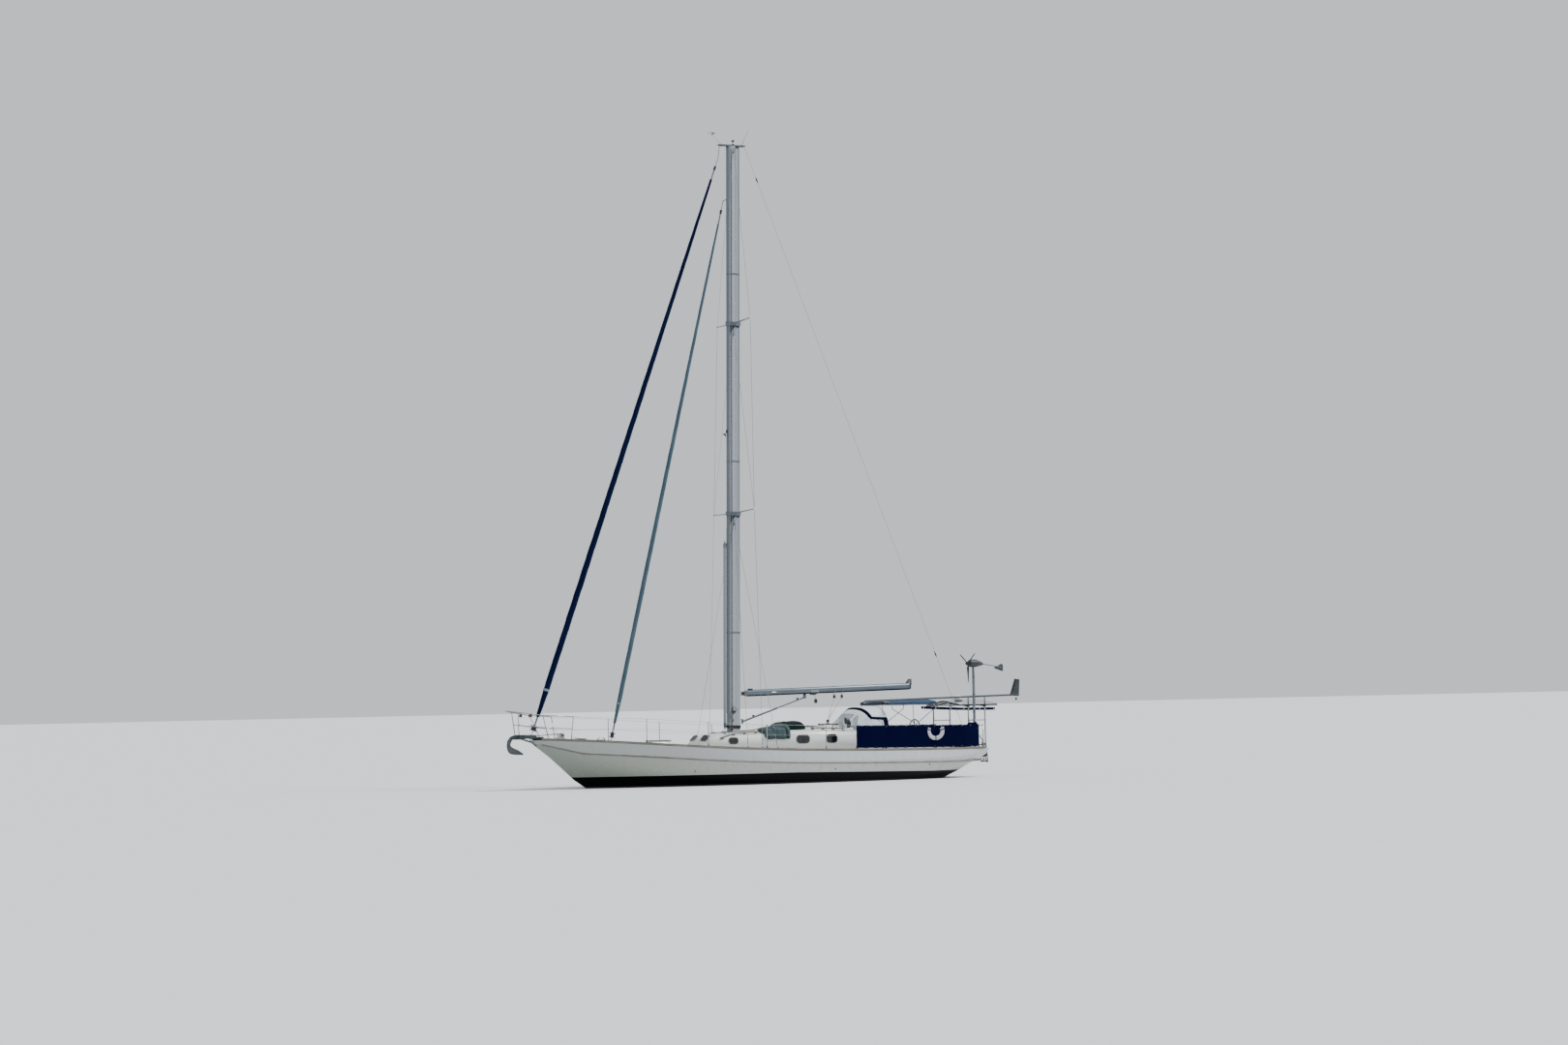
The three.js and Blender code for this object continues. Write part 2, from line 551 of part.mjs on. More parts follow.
// Bimini: a crowned sheet on a frame of three bows
const biminiZ = (y) => bimini.top - bimini.crown * (y / bimini.half) ** 2;
const biminiSag = (x) => bimini.sag * Math.sin((Math.PI * (x - bimini.x[0])) / (bimini.x[1] - bimini.x[0]));
const biminiRing = (x) => {
  const steps = 8;
  const across = Array.from({ length: steps + 1 }, (_, i) => THREE.MathUtils.lerp(-bimini.half, bimini.half, i / steps));
  return [...across.map((y) => [x, y, biminiZ(y) - biminiSag(x)]),
    ...across.reverse().map((y) => [x, y, biminiZ(y) - biminiSag(x) - bimini.thickness])];
};
const biminiX = Array.from({ length: 5 }, (_, i) => THREE.MathUtils.lerp(...bimini.x, i / 4));
place('bimini_canopy', loft(biminiX.map(biminiRing)), 'navy');

const shoulderZ = biminiZ(bimini.half) - 190;
const legY = (z) => THREE.MathUtils.mapLinear(z, coaming.top, shoulderZ, bimini.foot, bimini.half + 8);
const bow = (topX, footX, footZ) => {
  const facet = 1.1;         // the canopy's flat facets lie this far inside its curve
  const under = biminiSag(topX) + bimini.thickness + bimini.tube + facet + touch;
  const across = [-0.97, -0.6, -0.2, 0.2, 0.6, 0.97].map((f) => [topX, f * bimini.half, biminiZ(f * bimini.half) - under]);
  return bentBar([[footX, -legY(footZ), footZ], [topX, -bimini.half - 8, shoulderZ], ...across,
    [topX, bimini.half + 8, shoulderZ], [footX, legY(footZ), footZ]], bimini.tube);
};
place('bimini_frame', cut(join(
  bow(bimini.mainX, bimini.mainX, coaming.top + touch),
  bow(bimini.x[0] + 60, bimini.mainX, 1620),
  bow(bimini.x[1] - 60, bimini.mainX, 1520),
), moved(cockpitCoaming, 0, 0, touch)), 'steel');

// Mast: an oval spar with the furling housing along its after side
function mastGeometry(length, grow = 0) {
  const shape = new THREE.Shape();
  const half = mast.side / 2 + grow;
  const slot = mast.housingSide / 2 + grow;
  const front = -(mast.fore + mast.housing) / 2 - grow;
  const waist = front + mast.fore;
  const after = (mast.fore + mast.housing) / 2 + grow;
  shape.absellipse(front + half * 1.25, 0, half * 1.25, half, -Math.PI / 2, -1.5 * Math.PI, true);
  shape.lineTo(waist - 70, half);
  shape.lineTo(waist - 15, slot);
  shape.lineTo(after, slot);
  shape.lineTo(after, -slot);
  shape.lineTo(waist - 15, -slot);
  shape.lineTo(waist - 70, -half);
  return new THREE.ExtrudeGeometry(shape, { depth: length, bevelEnabled: false, curveSegments: 8 });
}
const mastLength = Math.hypot(mast.top[0] - mast.foot[0], mast.top[1] - mast.foot[1]);
const stepMast = (shape) => shape.rotateY(mastRake).translate(mast.foot[0], 0, mast.foot[1] - 60);
const mastX = (z) => mast.foot[0] + (z - mast.foot[1]) * Math.tan(mastRake);
const mastAft = (z) => mastX(z) + (mast.fore + mast.housing) / 2;
const pivotX = (z) => boom.pivotX + (z - boom.z) * Math.tan(mastRake);

// Fork plates on the mast hold a knuckle between them, turning about the line of the boom's pivot
const forkGap = 1.3;
const knuckle = { radius: 30, boom: 70, vang: 104 };
function fork(z, height) {
  return [-1, 1].map((s) => {
    const low = s > 0 ? z + height / 2 + forkGap : z - height / 2 - forkGap - 16;
    return block([mastAft(z) - 30, pivotX(z) + 34], [-38, 38], [low, low + 16]);
  });
}
function knuckleAt(z, height) {
  const shift = (Math.tan(mastRake) * height) / 2;
  return bar([pivotX(z) - shift, 0, z - height / 2], [pivotX(z) + shift, 0, z + height / 2], knuckle.radius, 14);
}
const stayAxis = new THREE.Vector3(staysail.head[0] - staysail.foot[0], 0, staysail.head[1] - staysail.foot[1]).normalize();
const stayHead = new THREE.Vector3(staysail.head[0], 0, staysail.head[1]);
const along = (point, axis, distance) => [0, 1, 2].map((k) => point.getComponent(k) + axis.getComponent(k) * distance);
const stayEye = along(stayHead, stayAxis, 70);
const mastBody = cut(join(
  stepMast(mastGeometry(mastLength + 60)),
  bentBar([along(stayHead, stayAxis, 0.5), stayEye, [mastX(stayEye[2]) - 150, 0, stayEye[2] + 60]], 13),
  fork(boom.z, knuckle.boom), fork(vang.foot, knuckle.vang),
  block([mastX(1500) - 300, mastX(1500) + 300], [-170, 170], [1300, roofZ(-1070) + 26]),
), aboveCabin);
const mastCutter = solid(stepMast(mastGeometry(mastLength + 60, touch)));
place('mast', mastBody, 'alloy');

// Boom and vang
const boomSlope = (boom.end[1] - boom.z) / (boom.end[0] - boom.pivotX);
const boomZ = (x) => boom.z + (x - boom.pivotX) * boomSlope;
const boomRing = (x, scale) => {
  const points = [];
  for (let i = 0; i < 14; i += 1) {
    const a = (2 * Math.PI * i) / 14;
    const [c, s] = [Math.cos(a), Math.sin(a)];
    points.push([x, scale * 0.5 * boom.width * Math.sign(c) * Math.abs(c) ** 0.7,
      boomZ(x) + scale * 0.5 * boom.depth * Math.sign(s) * Math.abs(s) ** 0.7]);
  }
  return points;
};
const boomStart = boom.pivotX + 55;
place('boom', join(
  loft([boomRing(boomStart, 0.7), boomRing(boomStart + 90, 1), boomRing(boom.end[0] - 60, 1), boomRing(boom.end[0], 0.8)]),
  knuckleAt(boom.z, knuckle.boom),
  block([boom.pivotX, boomStart + 30], [-20, 20], [boom.z - 30, boom.z + 30]),
  plate([[4380, boomZ(4380) + 40], [4600, boomZ(4600) + 40], [4600, 2890], [4530, 2890]], -38, 38),
  plate([[vang.head[0] - 60, boomZ(vang.head[0])], [vang.head[0] + 60, boomZ(vang.head[0])],
    [vang.head[0] + 28, vang.head[1] - 10], [vang.head[0] - 28, vang.head[1] - 10]], -14, 14),
), 'alloy');
const vangFoot = [pivotX(vang.foot) + 20, 0, vang.foot];
const vangHead = [vang.head[0], 0, vang.head[1] - 30];
const onVang = (t) => vangFoot.map((value, k) => THREE.MathUtils.lerp(value, vangHead[k], t));
place('vang', cut(join(
  bar(vangFoot, onVang(0.55), 27, 12), bar(onVang(0.5), vangHead, 19, 12), knuckleAt(vang.foot, knuckle.vang),
  block([vang.head[0] - 40, vang.head[0] + 40], [-27, 27], [vang.head[1] - 60, vang.head[1] + 20]),
), block([vang.head[0] - 80, vang.head[0] + 80], [-14 - touch, 14 + touch], [vang.head[1] - 10 - touch, 2600])), 'alloy');

// Spreaders, each pair on one collar round the mast
for (const [name, row] of Object.entries(spreaders)) {
  const x = mastX(row.z);
  const arms = [-1, 1].map((s) => bar([x, s * 60, row.z], [x + 30, s * row.half, row.z + 40], 42, 10, 24));
  const collar = block([x - 230, x + 120], [-125, 125], [row.z - 45, row.z + 45]);
  place(`spreaders_${name}`, cut(join(collar, arms), mastCutter), 'alloy');
}

// Masthead: crane plate, sheaves and the vane, wand and lamp on it
const headZ = mast.top[1];
const headX = mast.top[0];
const genoaHead = new THREE.Vector3(genoa.head[0], 0, genoa.head[1]);
const genoaAxis = genoaHead.clone().sub(new THREE.Vector3(genoa.foot[0], 0, genoa.foot[1])).normalize();
place('masthead', cut(join(
  block([headX - 450, headX + 390], [-50, 50], [headZ + touch + 1, headZ + 50]),
  block([headX - 200, headX + 200], [-75, 75], [headZ + touch + 1, headZ + 34]),
  bentBar([along(genoaHead, genoaAxis, 0.5), along(genoaHead, genoaAxis, 60), [headX - 400, 0, headZ + 30]], 14, 8),
  bar([headX - 350, 0, headZ + 40], [headX - 640, 0, headZ + 330], 8),
  bar([headX - 640, 0, headZ + 300], [headX - 640, 0, headZ + 400], 14),
  block([headX - 760, headX - 560], [-4, 4], [headZ + 330, headZ + 390]),
  bar([headX + 300, 0, headZ + 30], [headX + 540, 0, headZ + 560], 7),
  bar([headX + 20, 0, headZ + 30], [headX + 20, 0, headZ + 190], 38, 12),
), moved(mastCutter, 0, 0, touch)), 'alloy');

// Standing rigging
for (const [sideName, side] of sides) {
  const plateTop = (x) => [x, side * (sheerY(x) - 90), deckZ(x, sheerY(x) - 90) + 70];
  const lowerTip = [mastX(spreaders.lower.z) + 30, side * (spreaders.lower.half + wire + 22), spreaders.lower.z + 40];
  const upperTip = [mastX(spreaders.upper.z) + 30, side * (spreaders.upper.half + wire + 22), spreaders.upper.z + 40];
  const chainplate = (x) => {
    const [px, py, pz] = plateTop(x);
    return join(block([px - 30, px + 30], [py - 6, py + 6], [pz - 160, pz + 30]), bar([px, py, pz], [px, py, pz + 20], 12));
  };
  const screw = (from, to) => {
    const way = new THREE.Vector3(...to).sub(new THREE.Vector3(...from)).normalize();
    return bar(from, from.map((value, k) => value + way.getComponent(k) * 330), 14);
  };
  const capFoot = plateTop(chainplateX[1]);
  const headTang = [headX, side * 90, headZ - 120];
  const upperTang = [mastX(spreaders.upper.z - 260), side * 60, spreaders.upper.z - 260];
  place(`cap_shroud_${sideName}`, cut(join(
    chainplate(chainplateX[1]), screw(capFoot, lowerTip),
    bar(capFoot, lowerTip, wire, 6), bar(lowerTip, upperTip, wire, 6), bar(upperTip, headTang, wire, 6),
    bar(lowerTip, upperTang, wire * 0.9, 6), ball(lowerTip, 18), ball(upperTip, 16), ball(headTang, 12), ball(upperTang, 12),
  ), aboveHull, mastCutter), 'steel');

  const lowerTang = [mastX(spreaders.lower.z - 240) + 10, side * 98, spreaders.lower.z - 240];
  const lowers = [chainplateX[0], chainplateX[2]].map((x) => {
    const foot = plateTop(x);
    return join(chainplate(x), screw(foot, lowerTang), bar(foot, lowerTang, wire, 6));
  });
  place(`lower_shrouds_${sideName}`, cut(join(lowers, ball(lowerTang, 16)), aboveHull, mastCutter), 'steel');
}
const backTop = [headX + 370, 0, headZ + 10];
const backFoot = [backstayFoot[0], 0, backstayFoot[1]];
const onBackstay = (t) => backFoot.map((value, k) => THREE.MathUtils.lerp(value, backTop[k], t));
place('backstay', cut(join(
  bar(onBackstay(0), onBackstay(0.9985), wire, 6), bar(onBackstay(0.002), onBackstay(0.022), 15),
  bar(onBackstay(0.152), onBackstay(0.159), 22, 8), bar(onBackstay(0.942), onBackstay(0.949), 22),
  block([backstayFoot[0] - 35, backstayFoot[0] + 35], [-6, 6], [backstayFoot[1] - 60, backstayFoot[1] + 40]),
), aboveHull, block([headX - 450, headX + 391], [-51, 51], [headZ, headZ + 60])), 'steel');

// Furled sails: each a roll round its stay with its drum, on a link from the deck
function furledSail(name, spec, colour) {
  const foot = new THREE.Vector3(spec.foot[0], 0, spec.foot[1]);
  const head = new THREE.Vector3(spec.head[0], 0, spec.head[1]);
  const length = head.distanceTo(foot);
  const r = spec.radius;
  const profile = [[0, 0], [spec.drum, 0], [spec.drum, 14], [spec.drum * 0.45, 20], [spec.drum * 0.45, 110], [spec.drum, 116],
    [spec.drum, 130], [26, 136], [26, 330], [r * 0.62, 420], [r, length * 0.07], [r * 1.05, length * 0.25], [r * 0.9, length * 0.55],
    [r * 0.62, length * 0.85], [r * 0.42, length - 620], [22, length - 560], [22, length - 330], [34, length - 320], [34, length - 200],
    [16, length - 190], [16, length], [0, length]];
  const axis = head.clone().sub(foot).normalize();
  const turn = new THREE.Quaternion().setFromUnitVectors(new THREE.Vector3(0, 1, 0), axis);
  const roll = new THREE.LatheGeometry(profile.map(([x, y]) => new THREE.Vector2(x, y)), 12)
    .applyQuaternion(turn).translate(foot.x, 0, foot.z);
  place(name, roll, colour);
  return { foot, axis };
}
const genoaLine = furledSail('genoa_roll', genoa, 'navy');
const staysailLine = furledSail('staysail_roll', staysail, 'greyCloth');

// Bow platform with its roller cheeks and the link of the forestay
const stemTop = sheerZ(-7150) + 12;
const platform = { x: [-7640, -6820], half: 190, low: 1420, top: 1462 };
const rollerSlot = [anchorY - 12, anchorY + 12];
const platformBody = cut(join(
  block(platform.x, [-platform.half, platform.half], [platform.low, platform.top]),
  block([-7110, -6830], [-45, 45], [stemTop - 60, platform.low + 5]),
  [[-22, -12], [12, 22]].map((y) => plate([[-7760, 1400], [-7380, 1400], [-7380, 1520], [-7700, 1520], [-7790, 1470]],
    anchorY + y[0], anchorY + y[1])),
  bar([-7705, anchorY - 22, 1418], [-7705, anchorY + 22, 1418], 14, 10),
  bar(along(genoaLine.foot, genoaLine.axis, -0.5), along(genoaLine.foot, genoaLine.axis, -190), 13),
), aboveHull);
place('bow_platform', platformBody, 'white');
place('inner_stay_foot', cut(join(
  bar(along(staysailLine.foot, staysailLine.axis, -2), along(staysailLine.foot, staysailLine.axis, -100), 12),
  block([-4850, -4745], [-30, 30], [1150, 1318]),
), aboveHull), 'steel');

// Anchor: shank in the roller, plough hanging below
const anchorShank = [[-7040, platform.top + touch], [-7040, 1520], [-7640, 1535], [-7790, 1490], [-7895, 1350],
  [-7880, 1210], [-7800, 1240], [-7735, 1400], [-7690, platform.top + touch]];
place('anchor', join(
  plate(anchorShank, -11, 11),
  loft([
    [[-7890, 0, 1350], [-7850, 20, 1330], [-7850, -20, 1330]],
    [[-7900, 0, 1180], [-7790, 140, 1190], [-7790, -140, 1190]],
    [[-7800, 0, 1010], [-7640, 185, 1110], [-7640, -185, 1110]],
    [[-7430, 0, 970], [-7420, 22, 1000], [-7420, -22, 1000]],
  ]),
).translate([0, anchorY, 0]), 'dark');

place('windlass', cut(join(
  block([-6420, -6150], [-90, 90], [1250, 1435]),
  bar([-6285, -150, 1490], [-6285, 150, 1490], 62, 14),
  bar([-6285, -90, 1490], [-6285, 90, 1490], 84, 16),
  block([-6370, -6200], [-80, 80], [1380, 1490]),
), aboveHull), 'white');

// Pulpit and pushpit
const foot = (x, y) => [x, y, deckZ(x, Math.abs(y)) - 20];
const pulpitTop = [[-6230, -900, 2005], [-7000, -560, 2060], [-7620, -260, 2150], [-7850, -110, 2190],
  [-7850, 110, 2190], [-7620, 260, 2150], [-7000, 560, 2060], [-6230, 900, 2005]];
const pulpitLegs = (s) => [
  [[-6230, s * 900, 2005], foot(-6215, s * 640)],
  [[-7000, s * 560, 2060], foot(-6740, s * 320)],
  [[-7620, s * 260, 2150], [-7560, s * 165, platform.top - 10]],
];
const partWay = (line, t) => line[0].map((value, k) => THREE.MathUtils.lerp(value, line[1][k], t));
place('pulpit', cut(join(
  bentBar(pulpitTop, 13),
  [-1, 1].flatMap((s) => [
    ...pulpitLegs(s).map((line) => bentBar(line, 13)),
    bentBar(pulpitLegs(s).map((line) => partWay(line, 0.48)), 11),
  ]),
), aboveHull, platformBody, moved(platformBody, 0, 0, touch)), 'steel');

const pushpitY = (x) => sheerY(x) - 95;
const sternTop = 1500;
const pushSide = (s, z) => [[6120, s * pushpitY(6120), z], [6300, s * (pushpitY(6300) - 10), z], [6390, s * 960, z]];
place('pushpit', cut(join(
  [-1, 1].flatMap((s) => [
    bentBar([...pushSide(s, sternTop), [6400, s * 330, sternTop]], 13),
    bentBar([...pushSide(s, 1200), [6400, s * 330, 1200]], 11),
    ...[[6120, pushpitY(6120)], [6300, pushpitY(6300) - 10], [6400, 330]].map(([x, y]) => bar([x, s * y, sternTop], [x, s * y, 800], 13)),
  ]),
  bar([6400, -330, 1010], [6400, 330, 1010], 13),
), aboveHull, [-1, 1].map(() => moved(cockpitCoaming, 0, 0, touch))), 'steel');

// Horseshoe lifebuoy on the port cloth, open upwards
const buoyShape = new THREE.Shape();
buoyShape.absarc(0, 0, 265, Math.PI * 0.86, Math.PI * 2.14, false);
buoyShape.absarc(0, 0, 150, Math.PI * 2.14, Math.PI * 0.86, true);
const buoyX = 4460;
const [clothBefore, clothAfter] = [7, 8].map((i) => THREE.MathUtils.lerp(cloth.from, cloth.to, i / cloth.steps));
const buoySlope = (clothY(clothAfter) - clothY(clothBefore)) / (clothAfter - clothBefore);
const buoySeat = clothY(clothBefore) + (buoyX - clothBefore) * buoySlope + touch;
place('lifebuoy', new THREE.ExtrudeGeometry(buoyShape, { depth: 84, bevelEnabled: false, curveSegments: 20 })
  .rotateX(Math.PI / 2).rotateZ(-Math.atan(buoySlope)).translate(buoyX, -buoySeat, 1375), 'white');

// Stern arch, solar panels, hoist arm
const inDeck = 780;          // legs start at this level and are cut off at the deck
const archLeg = (x, s) => bar([x, s * arch.half, inDeck], [x, s * arch.half, arch.top], arch.tube, 10);
// The panels are pitched like a low roof, down towards each side
const archZ = (y) => arch.top + (arch.half - Math.abs(y)) * Math.tan(arch.pitch);
const panelMiddle = (panel.y[0] + panel.y[1]) / 2;
const solarPanels = (grow = 0) => sides.map(([, side]) => new THREE.BoxGeometry(
  panel.x[1] - panel.x[0] + grow, (panel.y[1] - panel.y[0]) / Math.cos(arch.pitch) + grow, panel.thickness + grow)
  .translate(0, 0, panel.seat + panel.thickness / 2)
  .rotateX(-side * arch.pitch)
  .translate((panel.x[0] + panel.x[1]) / 2, side * panelMiddle, archZ(panelMiddle)));
const sternArch = cut(join(
  arch.x.map((x) => bentBar([[x, -arch.half, arch.top], [x, 0, archZ(0)], [x, arch.half, arch.top]], arch.tube, 8)),
  arch.x.flatMap((x) => [-1, 1].flatMap((s) => [archLeg(x, s), ball([x, s * arch.half, arch.top], arch.tube * 1.15)])),
  [-1, 1].map((s) => bar([arch.x[0] - 200, s * 600, archZ(600)], [arch.x[1] + 380, s * 600, archZ(600)], arch.tube, 8)),
  [-1, 1].map((s) => bar([arch.x[0], s * arch.half, 1650], [arch.x[1], s * arch.half, 1650], 14)),
), aboveHull, solarPanels(2 * touch));
place('stern_arch', sternArch, 'steel');
solarPanels().forEach((shape, i) => place(`solar_panel_${sides[i][0]}`, shape, 'solar'));
const hoistZ = (x) => THREE.MathUtils.lerp(hoist.from[1], hoist.to[1], (x - hoist.from[0]) / (hoist.to[0] - hoist.from[0]));
place('hoist_arm', cut(join(
  bar([hoist.from[0], hoist.y, hoist.from[1]], [hoist.to[0], hoist.y, hoist.to[1]], hoist.tube, 10),
  plate([[7260, hoistZ(7260) - 20], [7540, hoistZ(7540) - 40], [7570, 2810], [7430, 2830]], hoist.y - 32, hoist.y + 32),
  arch.x.map((x) => bar([x, hoist.y, arch.top], [x, hoist.y, hoistZ(x)], hoist.post, 10)),
), sternArch, moved(sternArch, 0, 0, touch)), 'alloy');

// Wind generator on its pole
place('generator_pole', cut(join(
  bar([generator.x, generator.y, inDeck], [generator.x, generator.y, generator.z - 110 - bearing], generator.pole, 12),
  bar([generator.x, generator.y, inDeck], [generator.x, generator.y, 852], 80, 12),
), aboveHull), 'alloy');
const tailFin = plate([[generator.tailX - 300, generator.z - 140], [generator.tailX, generator.z - 250],
  [generator.tailX, generator.z - 60], [generator.tailX - 60, generator.z - 20]], generator.y - 4, generator.y + 4);
place('generator_head', join(
  bar([generator.x, generator.y, generator.z - 110], [generator.x, generator.y, generator.z], 50, 12),
  bar([generator.rotorX + 60, generator.y, generator.z], [generator.x + 110, generator.y, generator.z], 105, 16),
  bar([generator.x + 109, generator.y, generator.z], [generator.x + 300, generator.y, generator.z - 20], 105, 16, 45),
  bar([generator.x + 250, generator.y, generator.z - 10], [generator.tailX - 60, generator.y, generator.z - 125], 18),
  tailFin,
), 'dark');
const generatorBlades = [0, 1, 2].map((i) => {
  const outline = new THREE.Shape([[-30, 0], [-42, 120], [-16, generator.blade], [14, generator.blade], [40, 120], [30, 0]]
    .map(([x, y]) => new THREE.Vector2(x, y)));
  return new THREE.ExtrudeGeometry(outline, { depth: 8, bevelEnabled: false })
    .translate(0, 0, -4).rotateY(Math.PI / 2 - 0.25).rotateX(0.5 + (i * 2 * Math.PI) / 3);
});
place('generator_rotor', join(
  bar([generator.rotorX - 60, generator.y, generator.z], [generator.rotorX + 60 - bearing, generator.y, generator.z], 34, 14, 66),
  generatorBlades.map((blade) => blade.translate(generator.rotorX + 10, generator.y, generator.z)),
), 'dark');

// Whisker pole stowed upright along the front of the mast
const poleLow = 1560;
const poleTop = 6890;
const poleX = (z) => mastX(z) - (mast.fore + mast.housing) / 2 - 62;
place('whisker_pole', cut(join(
  bar([poleX(poleLow), 0, poleLow], [poleX(poleTop), 0, poleTop], 42, 12),
  [poleLow + 60, poleTop - 60].map((z) => block([poleX(z), poleX(z) + 75], [-16, 16], [z - 30, z + 30])),
), mastCutter, aboveCabin), 'white');

// Folded dinghy in its cover, lying on the cabin top and hanging over its port side
const bagRing = ([x, port, starboard, low, top]) => [
  [starboard, 1400], [starboard, top - 90], [starboard - 120, top - 15], [(port + starboard) / 2, top], [port + 220, top - 25],
  [port + 70, top - 85], [port, Math.min(low + 120, top - 120)], [port + 8, low], [port + 120, low], [port + 280, 1380],
].map(([y, z]) => [x, y, z]);
place('dinghy_bag', cut(
  loft([
    [-560, -1070, -620, 1310, 1500], [-450, -1150, -250, 1262, 1565], [-60, -1172, 300, 1255, 1590], [190, -1172, 420, 1262, 1610],
    [330, -860, 440, 1400, 1700], [820, -740, 400, 1400, 1722], [905, -520, 240, 1440, 1640],
  ].map(bagRing), 0),
  aboveCabin, moved(cabinShell, 0, -touch, 0),
), 'green');

export default yacht;
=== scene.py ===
# Cruising cutter afloat with its sails furled. Metres, +X aft, +Y starboard, +Z up, waterline at z = 0.
from math import atan, atan2, copysign, cos, dist, exp, pi, radians, sin, sqrt, tan, tau

import bmesh
import bpy
from mathutils import Matrix, Vector
from mathutils.bvhtree import BVHTree


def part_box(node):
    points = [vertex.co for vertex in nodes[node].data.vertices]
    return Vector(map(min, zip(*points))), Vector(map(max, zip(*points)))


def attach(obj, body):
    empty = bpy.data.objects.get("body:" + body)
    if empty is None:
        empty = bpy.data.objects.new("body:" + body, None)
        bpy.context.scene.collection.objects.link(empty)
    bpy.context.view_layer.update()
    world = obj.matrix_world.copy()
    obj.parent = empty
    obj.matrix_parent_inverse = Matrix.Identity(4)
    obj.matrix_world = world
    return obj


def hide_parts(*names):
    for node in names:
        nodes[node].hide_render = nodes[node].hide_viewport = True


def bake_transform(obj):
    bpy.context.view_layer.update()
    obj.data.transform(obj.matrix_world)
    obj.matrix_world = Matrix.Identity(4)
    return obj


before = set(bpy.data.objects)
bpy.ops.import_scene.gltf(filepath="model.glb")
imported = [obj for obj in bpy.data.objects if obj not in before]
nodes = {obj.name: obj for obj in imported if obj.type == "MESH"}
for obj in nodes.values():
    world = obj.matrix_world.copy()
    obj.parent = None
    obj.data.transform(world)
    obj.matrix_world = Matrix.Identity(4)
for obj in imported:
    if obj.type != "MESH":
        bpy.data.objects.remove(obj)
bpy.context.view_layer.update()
scene = bpy.context.scene


def vec(*place):
    return Vector(place)


def mm(*points):
    # a table of points in millimetres, given back in metres
    return [tuple(value / 1000 for value in point) for point in points]


def paint(code):
    channels = [int(code[i : i + 2], 16) / 255 for i in (1, 3, 5)]
    return tuple(c / 12.92 if c <= 0.04045 else ((c + 0.055) / 1.055) ** 2.4 for c in channels) + (1.0,)


# Camera, light and floor
cameraPlace = {
    "at": (-36.296, -82.988, 2.309), "azimuth": 23.0, "swing": 0.996, "pitch": 3.24, "roll": 1.18,
    "lens": 72.52, "sensor": 36.0,
}


def placeCamera(place):
    azimuth, swing, pitch, roll = (radians(place[key]) for key in ("azimuth", "swing", "pitch", "roll"))
    heading = vec(sin(azimuth + swing), cos(azimuth + swing), 0)
    level = vec(cos(azimuth + swing), -sin(azimuth + swing), 0)
    forward = heading * cos(pitch) + vec(0, 0, sin(pitch))
    up = level.cross(forward)
    acrossView = level * cos(roll) - up * sin(roll)
    upView = level * sin(roll) + up * cos(roll)
    turned = Matrix((acrossView, upView, -forward)).transposed().to_4x4()
    data = bpy.data.cameras.new("camera")
    data.lens, data.sensor_width = place["lens"], place["sensor"]
    data.clip_start, data.clip_end = 1.0, 2000.0
    camera = bpy.data.objects.new("camera", data)
    scene.collection.objects.link(camera)
    camera.matrix_world = Matrix.Translation(place["at"]) @ turned
    scene.camera = camera


studio = {
    "sky": (0.86, 0.9, 0.94, 1.0), "skyStrength": 0.85,
    "suns": [((54, -32), 3.7, 16)],  # (elevation, azimuth from +X), strength, softness
    "floor": 900.0, "floorColour": "#dfe2e3",
}


def lightStudio(values):
    world = bpy.data.worlds.new("studio")
    scene.world = world
    world.use_nodes = True
    backdrop = next(n for n in world.node_tree.nodes if n.type == "BACKGROUND")
    backdrop.inputs["Color"].default_value = values["sky"]
    backdrop.inputs["Strength"].default_value = values["skyStrength"]
    for number, ((elevation, azimuth), strength, softness) in enumerate(values["suns"]):
        data = bpy.data.lights.new(f"softLight{number}", "SUN")
        data.energy, data.angle = strength, radians(softness)
        lamp = bpy.data.objects.new(f"softLight{number}", data)
        scene.collection.objects.link(lamp)
        e, a = radians(elevation), radians(azimuth)
        toLight = vec(cos(e) * cos(a), cos(e) * sin(a), sin(e))
        lamp.rotation_mode = "QUATERNION"
        lamp.rotation_quaternion = toLight.to_track_quat("Z", "Y")


placeCamera(cameraPlace)
lightStudio(studio)
print("camera and light placed")


# A socket that can stand in Python sums, and a material that is made of them
class Wire:
    def __init__(self, finish, socket):
        self.finish, self.socket = finish, socket


for symbol, operation in (("add", "ADD"), ("sub", "SUBTRACT"), ("mul", "MULTIPLY"), ("truediv", "DIVIDE")):
    setattr(Wire, f"__{symbol}__", lambda self, other, does=operation: self.finish.math(does, self, other))
    setattr(Wire, f"__r{symbol}__", lambda self, other, does=operation: self.finish.math(does, other, self))


